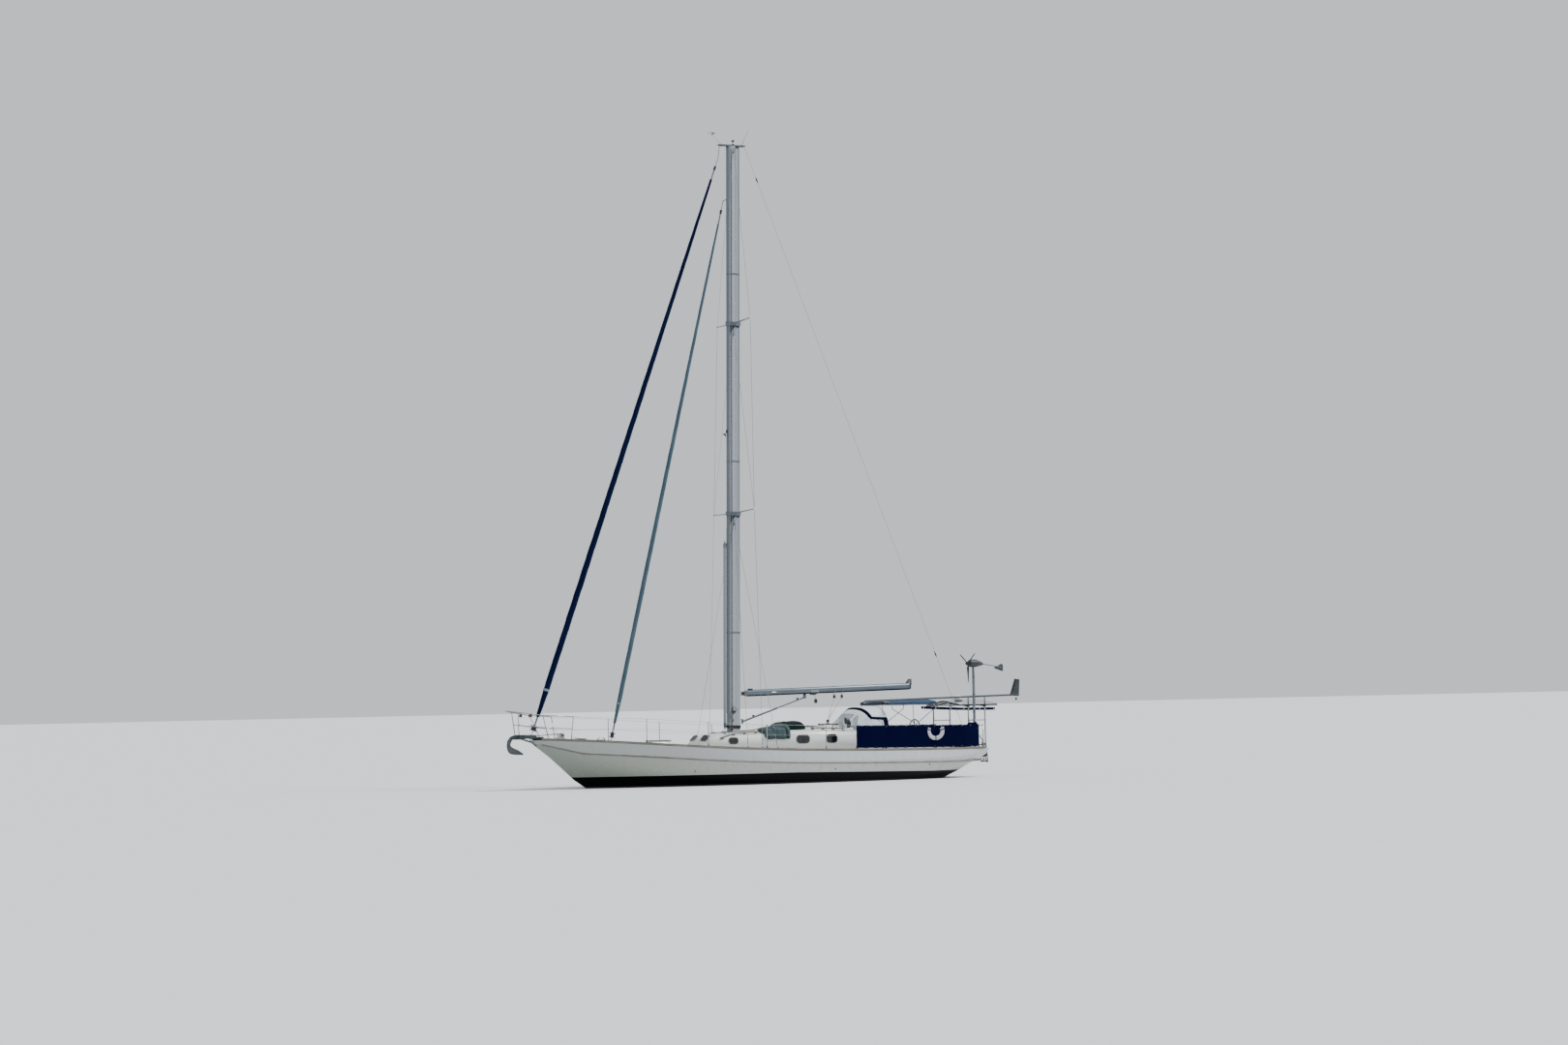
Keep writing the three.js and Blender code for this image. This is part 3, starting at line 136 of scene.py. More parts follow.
class Finish:
    def __init__(self, name, colour="#808080", **sockets):
        self.material = bpy.data.materials.new(name)
        self.material.use_nodes = True
        self.tree = self.material.node_tree
        self.shader = next(n for n in self.tree.nodes if n.type == "BSDF_PRINCIPLED")
        self.point = Wire(self, self.node("ShaderNodeTexCoord").outputs["Object"])
        self.colour = paint(colour)
        self.set("Base Color", self.colour)
        for label, value in sockets.items():
            self.set(label.replace("_", " "), value)

    def node(self, kind, settings=None, values=None):
        made = self.tree.nodes.new(kind)
        for key, value in (settings or {}).items():
            setattr(made, key, value)
        for key, value in (values or {}).items():
            self.feed(made.inputs[key], value)
        return made

    def feed(self, socket, value):
        if isinstance(value, Wire):
            self.tree.links.new(value.socket, socket)
        else:
            socket.default_value = value

    def set(self, label, value):
        self.feed(self.shader.inputs[label], value)

    def math(self, operation, *values):
        made = self.node("ShaderNodeMath", {"operation": operation}, dict(enumerate(values)))
        return Wire(self, made.outputs[0])

    def axis(self, letter):
        return Wire(self, self.node("ShaderNodeSeparateXYZ", None, {"Vector": self.point}).outputs[letter])

    def uv(self):
        return Wire(self, self.node("ShaderNodeTexCoord").outputs["UV"])

    def noise(self, scale, detail=3.0, rough=0.55, by=None, point=None):
        point = point or self.point
        if by:
            made = self.node("ShaderNodeVectorMath", {"operation": "MULTIPLY"}, {0: point, 1: by})
            point = Wire(self, made.outputs[0])
        sizes = {"Vector": point, "Scale": scale, "Detail": detail, "Roughness": rough}
        return Wire(self, self.node("ShaderNodeTexNoise", None, sizes).outputs[0])

    def wave(self, scale, direction="X", point=None):
        made = self.node("ShaderNodeTexWave", {"bands_direction": direction},
            {"Vector": point or self.point, "Scale": scale})
        return Wire(self, made.outputs["Fac"])

    def band(self, value, low, high):
        made = self.node(
            "ShaderNodeMapRange", {"interpolation_type": "SMOOTHSTEP"},
            {"Value": value, "From Min": low, "From Max": high, "To Min": 0.0, "To Max": 1.0},
        )
        return Wire(self, made.outputs["Result"])

    def mix(self, factor, first, second):
        made = self.node("ShaderNodeMix", {"data_type": "RGBA"}, {"Factor": factor, 6: first, 7: second})
        return Wire(self, made.outputs[2])

    def tint(self, factor, code):
        return self.mix(factor, self.colour, paint(code))

    def bump(self, height, strength=0.3, distance=0.002):
        made = self.node("ShaderNodeBump", None, {"Strength": strength, "Distance": distance, "Height": height})
        self.set("Normal", Wire(self, made.outputs["Normal"]))


def plain(name, colour, rough, metal=0.0, grain=40.0, spread=0.08, darker="#404040", bumpSize=0.0004, **more):
    finish = Finish(name, colour, Metallic=metal, **more)
    cloud = finish.noise(grain, 4.0)
    finish.set("Base Color", finish.tint(finish.band(cloud, 0.42, 0.8) * spread * 2, darker))
    finish.set("Roughness", cloud * 0.16 + (rough - 0.08))
    finish.bump(finish.noise(grain * 9, 2.0), 0.25, bumpSize)
    return finish


# Hull paint in bands of height: antifouling, boot top, topsides and the sheer strake above the rub rail, with painted
# shade on the topsides towards the bow and the stern
hullPaint = {
    # the "bow" colour is the grey-green of the painted shade towards the bow and the stern
    "topsides": "#b9bbb4", "strake": "#c0c2c7", "boot": "#030408", "antifoul": "#3a2421", "bow": "#7f867c",
    "bootLow": 0.045, "bootHigh": 0.315, "bootAft": 0.235,
}


def makeTopsides(values):
    finish = Finish("hullGelcoat", values["topsides"], Coat_Roughness=0.12)
    x, z = finish.axis("X"), finish.axis("Z")
    wavy = finish.noise(0.35, 2.0, by=(1, 1, 2))
    streaks = finish.noise(9.0, 5.0, 0.6, by=(1, 1, 0.05))
    grime = finish.band(streaks, 0.52, 0.8) * finish.band(z, 1.15, 0.2) * 0.5
    side = finish.mix(finish.band(wavy, 0.35, 0.75) * 0.35, finish.colour, paint("#bcbfba"))
    aboveRub = finish.band(z - rubHeight(finish, x), 0.0, 0.012)
    side = finish.mix(aboveRub, side, paint(values["strake"]))
    # painted shade: the topsides darken to grey-green towards the bow, the strake a little less, and slightly towards
    # the stern
    side = finish.mix(finish.band(x, 1.5, -6.8) * (0.85 - aboveRub * 0.15), side, paint(values["bow"]))
    side = finish.mix(finish.band(x, 3.6, 6.6) * (1.0 - aboveRub) * 0.35, side, paint(values["bow"]))
    side = finish.mix(grime, side, paint("#8f8c78"))
    bootTop = values["bootHigh"] - finish.math("MINIMUM", finish.math("MAXIMUM", x, 0.0), 4.5) * (
        (values["bootHigh"] - values["bootAft"]) / 4.5)
    inBoot = finish.band(z - bootTop, 0.006, -0.006)
    side = finish.mix(inBoot, side, paint(values["boot"]))
    bottom = finish.mix(finish.noise(2.5, 4.0), paint(values["antifoul"]), paint("#241a1c"))
    below = finish.band(z + finish.noise(3.0, 3.0) * 0.012, values["bootLow"] + 0.008, values["bootLow"])
    side = finish.mix(below, side, bottom)
    finish.set("Base Color", side)
    finish.set("Roughness", below * 0.45 + inBoot * 0.1 + finish.noise(6.0, 3.0) * 0.12 + 0.22)
    finish.set("Coat Weight", (1.0 - below) * (1.0 - inBoot) * 0.3)
    finish.set("Metallic", inBoot * (1.0 - below) * 0.85)
    ripple = finish.noise(1.1, 2.0, by=(1, 1, 1.6)) * 0.8 + finish.noise(90.0, 2.0) * 0.02 * (1.0 + below * 8.0)
    finish.bump(ripple, 0.25, 0.004)
    return finish


def rubHeight(finish, x):
    # straight runs between the rub rail's heights at a few places along the hull
    table = mm((-6900, 1262), (-5840, 985), (-4000, 835), (-2000, 688), (0, 588), (2000, 535),
        (4000, 505), (6500, 498))
    height = table[0][1]
    for (x0, z0), (x1, z1) in zip(table, table[1:]):
        run = finish.math("MINIMUM", finish.math("MAXIMUM", x - x0, 0.0), x1 - x0)
        height = run * ((z1 - z0) / (x1 - x0)) + height
    return height


topsides = makeTopsides(hullPaint)
antifoul = plain("antifoulingPaint", hullPaint["antifoul"], 0.75, grain=3.0, spread=0.35,
    darker="#1c1618", bumpSize=0.0015)


def makeNonSlip(name, colour, patch):
    finish = Finish(name, colour)
    dirt = finish.band(finish.noise(1.7, 5.0, 0.6), 0.45, 0.75)
    finish.set("Base Color", finish.tint(dirt * 0.5, patch))
    finish.set("Roughness", dirt * 0.12 + 0.55)
    grit = finish.node("ShaderNodeTexVoronoi", {"feature": "F1"}, {"Vector": finish.point, "Scale": 220.0})
    finish.bump(Wire(finish, grit.outputs["Distance"]), 0.5, 0.0008)
    return finish


deckPaint = makeNonSlip("deckNonSlip", "#c9cbc6", "#aeb0a8")
gloss = plain("whiteGelcoat", "#dfe1e0", 0.3, grain=2.2, spread=0.12, darker="#b9bab2",
    Coat_Weight=0.3, Coat_Roughness=0.15)
steel = plain("polishedStainless", "#9da1a4", 0.24, 1.0, grain=30.0, spread=0.1, darker="#6d6f70")
darkGlass = plain("smokedAcrylic", "#0d1114", 0.12, grain=5.0, spread=0.1, darker="#1c242a",
    bumpSize=0.0001, Coat_Weight=0.6)
whitePlastic = plain("whitePlastic", "#e4e5e2", 0.42, grain=14.0, spread=0.12, darker="#c2c1b6")
blackPlastic = plain("blackPlastic", "#14171a", 0.5, grain=20.0, spread=0.2, darker="#2a2d30")
galvanised = plain("galvanisedSteel", "#565c5f", 0.6, 0.6, grain=26.0, spread=0.5, darker="#33373a", bumpSize=0.001)
darkSteel = plain("dullStainless", "#3c4449", 0.45, 0.7, grain=16.0, spread=0.3, darker="#23292d")
slatePaint = plain("darkSlatePaint", "#2c3338", 0.45, grain=10.0, spread=0.3, darker="#1a1f22")
# painted shade: a darker copy of the boom alloy for the boom's underside
boomShade = plain("boomUndersidePaintedShade", "#1d232a", 0.5, 0.4, grain=6.0, spread=0.3, darker="#12161b")
bronze = plain("dullBronze", "#8a6a37", 0.42, 0.9, grain=12.0, spread=0.4, darker="#4c4a33")
paneGlass = plain("tintedPane", "#0f1418", 0.35, grain=5.0, spread=0.1, darker="#1c242a", Specular_IOR_Level=0.15)
lampWhite = plain("lampLens", "#dfe6ea", 0.15, grain=30.0, spread=0.1, darker="#b9c2c8", Coat_Weight=0.5)
lampRed = plain("redLens", "#6d1518", 0.2, grain=30.0, spread=0.1, darker="#5c0d10", Coat_Weight=0.5)
lampGreen = plain("greenLens", "#0e5a32", 0.2, grain=30.0, spread=0.1, darker="#0a4c28", Coat_Weight=0.5)


def makeAlloy(name, colour, along, dark="#787d80", metal=0.3):
    finish = Finish(name, colour, Metallic=metal)
    stretch = {"X": (0.3, 12, 12), "Z": (12, 12, 0.3)}[along]
    drawn = finish.noise(4.0, 4.0, by=stretch)
    cloud = finish.noise(0.9, 4.0, by=tuple(0.6 if s < 1 else 1.4 for s in stretch))
    finish.set("Base Color",
        finish.tint(finish.band(drawn, 0.4, 0.8) * 0.35 + finish.band(cloud, 0.45, 0.7) * 0.3, dark))
    finish.set("Roughness", drawn * 0.15 + 0.33)
    finish.bump(drawn, 0.15, 0.0006)
    return finish


mastAlloy = makeAlloy("mastAlloy", "#5c636c", "Z", "#4e565f", 0.15)
# painted light: a lighter copy of the mast alloy for the mast's forward-facing faces
mastFrontPaintedLight = makeAlloy("mastAlloyFrontPaintedLight", "#626b74", "Z", "#545d66", 0.15)
poleAlloy = makeAlloy("poleAlloy", "#868e95", "Z", "#717981")
sparAlloy = makeAlloy("boomAlloy", "#6a737c", "X", "#454e57", 0.6)


def makeTeak(name, colour, pale, along=(0.6, 14, 14), mapped=False):
    finish = Finish(name, colour)
    grain = finish.noise(5.0, 6.0, 0.65, by=along, point=finish.uv() if mapped else None)
    patch = finish.band(finish.noise(1.3, 3.0), 0.35, 0.7)
    finish.set("Base Color", finish.mix(finish.band(grain, 0.35, 0.7), paint("#5b564d"), finish.tint(patch, pale)))
    finish.set("Roughness", grain * 0.2 + 0.55)
    finish.bump(grain, 0.5, 0.0012)
    return finish


teak = makeTeak("weatheredTeak", "#747067", "#8a867c")
boardTeak = makeTeak("washboardTeak", "#6f6a60", "#857f74", (14, 0.5, 14))
capTeak = makeTeak("cappingTeak", "#767269", "#8a867d", (0.5, 16, 1), True)
rubStrake = makeTeak("rubbingStrake", "#83807a", "#94918c", (0.5, 16, 1), True)


def makeCanvas(name, colour, faded, weave=900.0, rough=0.86, sheen=0.3, gloss=0.12, mapped=True):
    finish = Finish(name, colour, Sheen_Weight=sheen, Specular_IOR_Level=gloss)
    place = finish.uv() if mapped else finish.point
    across = finish.wave(weave / 20, "X", point=place)
    down = finish.wave(weave / 20, "Y", point=place) if mapped else finish.wave(weave / 20, "Z")
    sun = finish.band(finish.noise(1.1, 4.0), 0.3, 0.75)
    threads = across * down
    finish.set("Base Color", finish.mix(threads * 0.15, finish.tint(sun * 0.6, faded), paint(faded)))
    finish.set("Roughness", threads * 0.08 + (rough - 0.04))
    creases = finish.noise(5.0, 3.0, by=(1, 1, 1)) + threads * 0.06
    finish.bump(creases, 0.35, 0.004)
    return finish


navy = makeCanvas("navyCanvas", "#030524", "#060a2e", sheen=0.0, gloss=0.02)
# the canopy's navy cloth, sun-faded and made lighter still as painted light
fadedNavyPaintedLight = makeCanvas("fadedNavyPaintedLightCanvas", "#364961", "#4c6179", sheen=0.02, gloss=0.05)
# painted light: a lighter copy of the canopy cloth for the faces that lie in shade under the canopy
canopyPaintedLight = makeCanvas("canopyUndersidePaintedLight", "#6b798c", "#7c8a9c", sheen=0.02, gloss=0.05)
navySail = makeCanvas("navySailStrip", "#050c2c", "#0c1636", sheen=0.0, gloss=0.04)
greySail = makeCanvas("greyBlueSailStrip", "#3a4d5a", "#50636f", sheen=0.05)
paleCloth = makeCanvas("paleCanvas", "#cfd6d8", "#e2e6e6")
greenCover = makeCanvas("greenCoverCloth", "#061a19", "#0d2826", sheen=0.02, gloss=0.05, mapped=False)
greyGreenCover = makeCanvas("fadedGreenCloth", "#364648", "#48595c", sheen=0.05, gloss=0.05, mapped=False)


def makeVinyl():
    finish = Finish("clearVinyl", "#c3ced4", Transmission_Weight=0.0)
    haze = finish.band(finish.noise(2.0, 3.0), 0.3, 0.8)
    finish.set("Alpha", haze * 0.14 + 0.3)
    finish.set("Roughness", haze * 0.15 + 0.08)
    finish.bump(finish.noise(3.0, 2.0), 0.3, 0.004)
    return finish


vinyl = makeVinyl()


def makeRope(name, colour, fleck):
    finish = Finish(name, colour, Sheen_Weight=0.1)
    braid = finish.wave(60.0, "DIAGONAL") * finish.wave(60.0, "Z")
    finish.set("Base Color", finish.tint(finish.band(braid, 0.55, 0.75), fleck))
    finish.set("Roughness", braid * 0.1 + 0.75)
    finish.bump(braid, 0.5, 0.0008)
    return finish


whiteRope = makeRope("whiteRope", "#cfcdc2", "#8d96a6")
blueRope = makeRope("blueRope", "#5f7387", "#d2d4d2")
redRope = makeRope("redRope", "#a9a49a", "#8e3a34")
darkRope = makeRope("darkRope", "#2b3a44", "#4c6470")


def makeCells():
    finish = Finish("solarCells", "#16233c", Coat_Weight=1.0, Coat_Roughness=0.04, Coat_IOR=2.1)
    x, y = finish.axis("X"), finish.axis("Y")
    lines = None
    for value, pitch in ((x, 0.158), (y, 0.158), (y, 0.0395)):
        away = finish.math("ABSOLUTE", finish.math("FRACT", value / pitch) - 0.5)
        width = 0.012 if pitch > 0.1 else 0.02
        line = finish.band(away, 0.5 - width, 0.5 - width * 0.4)
        lines = line if lines is None else finish.math("MAXIMUM", lines, line)
    finish.set("Base Color", finish.tint(lines * 0.8, "#9aa4ad"))
    finish.set("Roughness", finish.noise(20.0) * 0.08 + 0.1)
    finish.bump(finish.noise(3.0, 2.0), 0.08, 0.002)
    return finish


solarCells = makeCells()


def layFloor(values):
    finish = Finish("studioFloor", values["floorColour"])
    finish.set("Roughness", finish.noise(0.4, 2.0) * 0.05 + 0.6)
    bm = bmesh.new()
    bmesh.ops.create_grid(bm, x_segments=1, y_segments=1, size=values["floor"])
    mesh = bpy.data.meshes.new("floor")
    bm.to_mesh(mesh)
    bm.free()
    mesh.materials.append(finish.material)
    floor = bpy.data.objects.new("floor", mesh)
    scene.collection.objects.link(floor)


layFloor(studio)
print("finishes mixed")


# Building parts: each maker returns a bmesh in place, and a Piece gathers them with their finishes
def stand(at, upward=(0, 0, 1), ahead=(1, 0, 0)):
    up, front = Vector(upward).normalized(), Vector(ahead)
    front = front - up * front.dot(up)
    front = front.normalized() if front.length > 1e-4 else up.orthogonal().normalized()
    return Matrix.Translation(at) @ Matrix((front, up.cross(front), up)).transposed().to_4x4()


def bevelled(bm, width, steps=2, angle=0.5):
    sharp = [e for e in bm.edges if len(e.link_faces) == 2 and e.calc_face_angle(0) > angle]
    bmesh.ops.bevel(bm, geom=sharp, offset=width, affect="EDGES", segments=steps, profile=0.5, material=-1)
    return bm


def block(low, high, edge=0.0, steps=2, place=None):
    bm = bmesh.new()
    low, high = Vector(low), Vector(high)
    bmesh.ops.create_cube(bm, size=1.0)
    bmesh.ops.scale(bm, vec=high - low, verts=bm.verts)
    bmesh.ops.translate(bm, vec=(low + high) / 2, verts=bm.verts)
    if edge:
        bevelled(bm, edge, steps)
    if place:
        bmesh.ops.transform(bm, matrix=place, verts=bm.verts)
    return bm


def bar(start, end, radius, sides=14, endRadius=None, edge=0.0):
    start, end = Vector(start), Vector(end)
    bm = bmesh.new()
    length = (end - start).length
    second = radius if endRadius is None else endRadius
    bmesh.ops.create_cone(bm, cap_ends=True, segments=sides, radius1=radius, radius2=second, depth=length)
    if edge:
        rims = [e for e in bm.edges if abs(e.verts[0].co.z - e.verts[1].co.z) < 1e-6]
        bmesh.ops.bevel(bm, geom=rims, offset=edge, affect="EDGES", segments=2, profile=0.5, material=-1)
    bmesh.ops.transform(bm, matrix=stand((start + end) / 2, end - start), verts=bm.verts)
    return bm


def spinRound(bm, geom, sides):
    bmesh.ops.spin(bm, geom=geom, cent=(0, 0, 0), axis=(0, 0, 1), angle=tau, steps=sides, use_merge=True)


def lathe(profile, at, direction=(0, 0, 1), sides=24, ahead=(1, 0, 0)):
    # profile: (radius, height) from one pole to the other
    bm = bmesh.new()
    corners = [bm.verts.new((max(r, 0.0), 0, z)) for r, z in profile]
    edges = [bm.edges.new(pair) for pair in zip(corners, corners[1:])]
    spinRound(bm, corners + edges, sides)
    bmesh.ops.remove_doubles(bm, verts=bm.verts, dist=1e-5)
    bmesh.ops.recalc_face_normals(bm, faces=bm.faces)
    bmesh.ops.transform(bm, matrix=stand(at, direction, ahead), verts=bm.verts)
    return bm


def thicken(bm, faces, thickness):
    grown = bmesh.ops.extrude_face_region(bm, geom=faces)["geom"]
    bmesh.ops.translate(bm, vec=(0, 0, thickness), verts=[v for v in grown if isinstance(v, bmesh.types.BMVert)])
    bmesh.ops.recalc_face_normals(bm, faces=bm.faces)


def plate(outline, thickness, place, edge=0.0, steps=1):
    # a flat outline in the place's x-y plane, thickened along its z to both sides
    bm = bmesh.new()
    face = bm.faces.new([bm.verts.new((x, y, -thickness / 2)) for x, y in outline])
    thicken(bm, [face], thickness)
    if edge:
        bevelled(bm, edge, steps)
    bmesh.ops.transform(bm, matrix=place, verts=bm.verts)
    return bm


def rounded(width, height, corner, steps=5):
    points = []
    for quarter, (sx, sy) in enumerate([(1, 1), (-1, 1), (-1, -1), (1, -1)]):
        for i in range(steps + 1):
            angle = pi / 2 * (quarter + i / steps)
            points.append((sx * (width / 2 - corner) + corner * cos(angle),
                sy * (height / 2 - corner) + corner * sin(angle)))
    return points


def oblong(width, height):
    return [(sx * width / 2, sy * height / 2) for sx, sy in ((1, 1), (-1, 1), (-1, -1), (1, -1))]


def pipe(points, radius, sides=8, curved=False, closed=False, radii=None):
    # a tube along points, straight between them or as one smooth curve
    data = bpy.data.curves.new("path", "CURVE")
    data.dimensions = "3D"
    data.bevel_depth = radius
    data.bevel_resolution = max(0, sides // 4 - 1)
    data.use_fill_caps = not closed
    data.twist_mode = "MINIMUM"
    spline = data.splines.new("NURBS" if curved else "POLY")
    spline.points.add(len(points) - 1)
    for number, point in enumerate(points):
        spline.points[number].co = (*point, 1)
        spline.points[number].radius = radii[number] if radii else 1.0
    spline.use_cyclic_u = closed
    if curved:
        spline.order_u = 4
        spline.use_endpoint_u = not closed
        spline.resolution_u = 5
    holder = bpy.data.objects.new("path", data)
    scene.collection.objects.link(holder)
    bpy.context.view_layer.update()
    mesh = bpy.data.meshes.new_from_object(holder)
    bm = bmesh.new()
    bm.from_mesh(mesh)
    bmesh.ops.remove_doubles(bm, verts=bm.verts, dist=1e-6)
    bpy.data.objects.remove(holder)
    bpy.data.curves.remove(data)
    bpy.data.meshes.remove(mesh)
    return bm


def ball(at, radii, sides=16):
    bm = bmesh.new()
    bmesh.ops.create_uvsphere(bm, u_segments=sides, v_segments=max(6, sides // 2), radius=1.0)
    bmesh.ops.scale(bm, vec=radii if isinstance(radii, tuple) else (radii,) * 3, verts=bm.verts)
    bmesh.ops.translate(bm, vec=at, verts=bm.verts)
    return bm


def ring(at, radius, thick, direction=(0, 0, 1), sides=28, tube=10):
    bm = bmesh.new()
    made = bmesh.ops.create_circle(bm, cap_ends=False, segments=tube, radius=thick,
        matrix=Matrix.Rotation(pi / 2, 4, "X"))
    bmesh.ops.translate(bm, vec=(radius, 0, 0), verts=made["verts"])
    spinRound(bm, bm.verts[:] + bm.edges[:], sides)
    bmesh.ops.recalc_face_normals(bm, faces=bm.faces)
    bmesh.ops.transform(bm, matrix=stand(at, direction), verts=bm.verts)
    return bm


def skin(width, length, across, along, shape, thickness=0.0):
    # a grid whose corner (u, v), both from 0 to 1, goes to shape(u, v); its UV map is in metres
    bm = bmesh.new()
    bmesh.ops.create_grid(bm, x_segments=across, y_segments=along, size=0.5, calc_uvs=True)
    flat = bm.loops.layers.uv.verify()
    for face in bm.faces:
        for corner in face.loops:
            corner[flat].uv = ((corner.vert.co.x + 0.5) * width, (corner.vert.co.y + 0.5) * length)
    for vert in bm.verts:
        vert.co = shape(vert.co.x + 0.5, vert.co.y + 0.5)
    if thickness:
        bmesh.ops.recalc_face_normals(bm, faces=bm.faces)
        bmesh.ops.solidify(bm, geom=bm.faces[:], thickness=thickness)
    return bm


def copied(node):
    bm = bmesh.new()
    bm.from_mesh(nodes[node].data)
    bmesh.ops.remove_doubles(bm, verts=bm.verts, dist=2e-5)
    bmesh.ops.dissolve_degenerate(bm, edges=bm.edges, dist=1e-6)
    return bm


class Piece:
    def __init__(self, name, angle=35):
        self.name, self.angle = name, angle
        self.bm, self.finishes = bmesh.new(), []

    def number(self, finish):
        if finish not in self.finishes:
            self.finishes.append(finish)
        return self.finishes.index(finish)

    def add(self, finish, *parts):
        for part in parts:
            for face in part.faces:
                face.material_index = self.number(finish)
            held = bpy.data.meshes.new("part")
            part.to_mesh(held)
            part.free()
            self.bm.from_mesh(held)
            bpy.data.meshes.remove(held)
        return self

    def paintWhere(self, finish, test):
        for face in self.bm.faces:
            if test(face.calc_center_median(), face.normal):
                face.material_index = self.number(finish)
        return self

    def set(self, body, slot, *replaced):
        mesh = bpy.data.meshes.new(self.name)
        for face in self.bm.faces:
            face.smooth = True
        self.bm.to_mesh(mesh)
        self.bm.free()
        for finish in self.finishes:
            mesh.materials.append(finish.material)
        mesh.set_sharp_from_angle(angle=radians(self.angle))
        made = bpy.data.objects.new(self.name, mesh)
        scene.collection.objects.link(made)
        if body:
            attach(made, body)
        if replaced:
            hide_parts(*replaced)
        return made


def smoothCopy(name, node, finish, body="boat", slot=None, angle=35, paints=()):
    piece = Piece(name, angle).add(finish, copied(node))
    for other, test in paints:
        piece.paintWhere(other, test)
    return piece.set(body, slot, node)


def surface(*names):
    tree = bmesh.new()
    for name in names:
        tree.from_mesh(nodes[name].data)
    made = BVHTree.FromBMesh(tree)
    tree.free()
    return made


def glide(points, t, closed=False):
    # a smooth curve through points, t from 0 to 1
    count = len(points) if closed else len(points) - 1
    place = min(max(t, 0.0), 1.0) * count
    index = min(int(place), count - 1)
    f = place - index
    near = [index + k if closed else min(max(index + k, 0), count) for k in (-1, 0, 1, 2)]
    a, b, c, d = (Vector(points[k % len(points)]) for k in near)
    return b + (c - a) * (f / 2) + (2 * a - 5 * b + 4 * c - d) * (f * f / 2) + (3 * b - a - 3 * c + d) * (f ** 3 / 2)


def sleeve(width, length, around, along, shape):
    # a closed tube through rings, u round each ring, with both ends filled
    bm = skin(width, length, around, along, shape)
    bmesh.ops.remove_doubles(bm, verts=bm.verts, dist=1e-5)
    bmesh.ops.holes_fill(bm, edges=[e for e in bm.edges if e.is_boundary])
    bmesh.ops.recalc_face_normals(bm, faces=bm.faces)
    return bm


sides = [("Starboard", 1), ("Port", -1)]
lerp = lambda a, b, t: a + (b - a) * t
between = lambda a, b, t: Vector(a).lerp(Vector(b), t)


def railTable():
    # the toe rail's outer edge: (x, half width, top) at each of its 27 stations
    corners = [v.co for v in nodes["toe_rail_port"].data.vertices]
    table = []
    for i in range(27):
        x = lerp(-6.94, 6.3, i / 26)
        near = [c for c in corners if abs(c.x - x) < 0.002]
        table.append((x, max(-c.y for c in near), max(c.z for c in near)))
    return table


railStations = railTable()


def railAt(x):
    x = min(max(x, railStations[0][0]), railStations[-1][0])
    for (x0, y0, z0), (x1, y1, z1) in zip(railStations, railStations[1:]):
        if x <= x1:
            t = (x - x0) / (x1 - x0)
            return lerp(y0, y1, t), lerp(z0, z1, t)


sheerHalf = lambda x: railAt(x)[0] + 0.005
sheerHigh = lambda x: railAt(x)[1] - 0.07
print("makers ready")


# Hull, foils and rails
inWell = lambda c: 2.55 < c.x < 5.52 and abs(c.y) < 1.0 and c.z < 0.806
inHatch = lambda c: -3.66 < c.x < -3.07 and abs(c.y) < 0.285
onDeck = lambda c, n: n.z > 0.8 and c.z > 0.75 and not inWell(c) and not inHatch(c)
smoothCopy("hullShell", "hull", topsides, slot="hull_gelcoat", angle=18, paints=[
    (deckPaint, onDeck), (gloss, lambda c, n: n.z > -0.2 and (inWell(c) or inHatch(c))),
    (deckPaint, lambda c, n: n.z > 0.9 and inWell(c)),
])
for name, node, body in (("keelFin", "keel", "boat"), ("skegFin", "skeg", "boat"),
        ("rudderBlade", "rudder", "rudder_blade")):
    smoothCopy(name, node, antifoul, body, "antifouling")
for name, node, body in (("shaftBracket", "shaft_bracket", "boat"),
        ("propellerBlades", "propeller", "propeller_hub")):
    smoothCopy(name, node, bronze, body, "bronze", 50)


def grainAlong(bm):
    # a UV map that runs along a rail, so that the grain follows its curve
    rows = {}
    for vert in bm.verts:
        rows.setdefault(round(vert.co.x, 2), []).append(vert.co)
    table = sorted((x, min(abs(c.y) for c in row), min(c.z for c in row)) for x, row in rows.items() if len(row) > 3)
    place = bm.loops.layers.uv.verify()
    for face in bm.faces:
        for corner in face.loops:
            x, y, z = corner.vert.co
            after = next((i for i, row in enumerate(table) if row[0] >= x), len(table) - 1)
            (x0, y0, z0), (x1, y1, z1) = table[max(after - 1, 0)], table[after]
            t = min(max((x - x0) / (x1 - x0), 0), 1) if x1 > x0 else 0.0
            corner[place].uv = (x, abs(y) - lerp(y0, y1, t) + z - lerp(z0, z1, t))
    return bm


stanchionSet = {
    "at": (-4.3, -2.6, -0.9, 0.9, 2.7, 4.5), "inset": 0.032, "height": 0.725, "radius": 0.0125,
    "wire": 0.0035, "middle": 0.36,
}


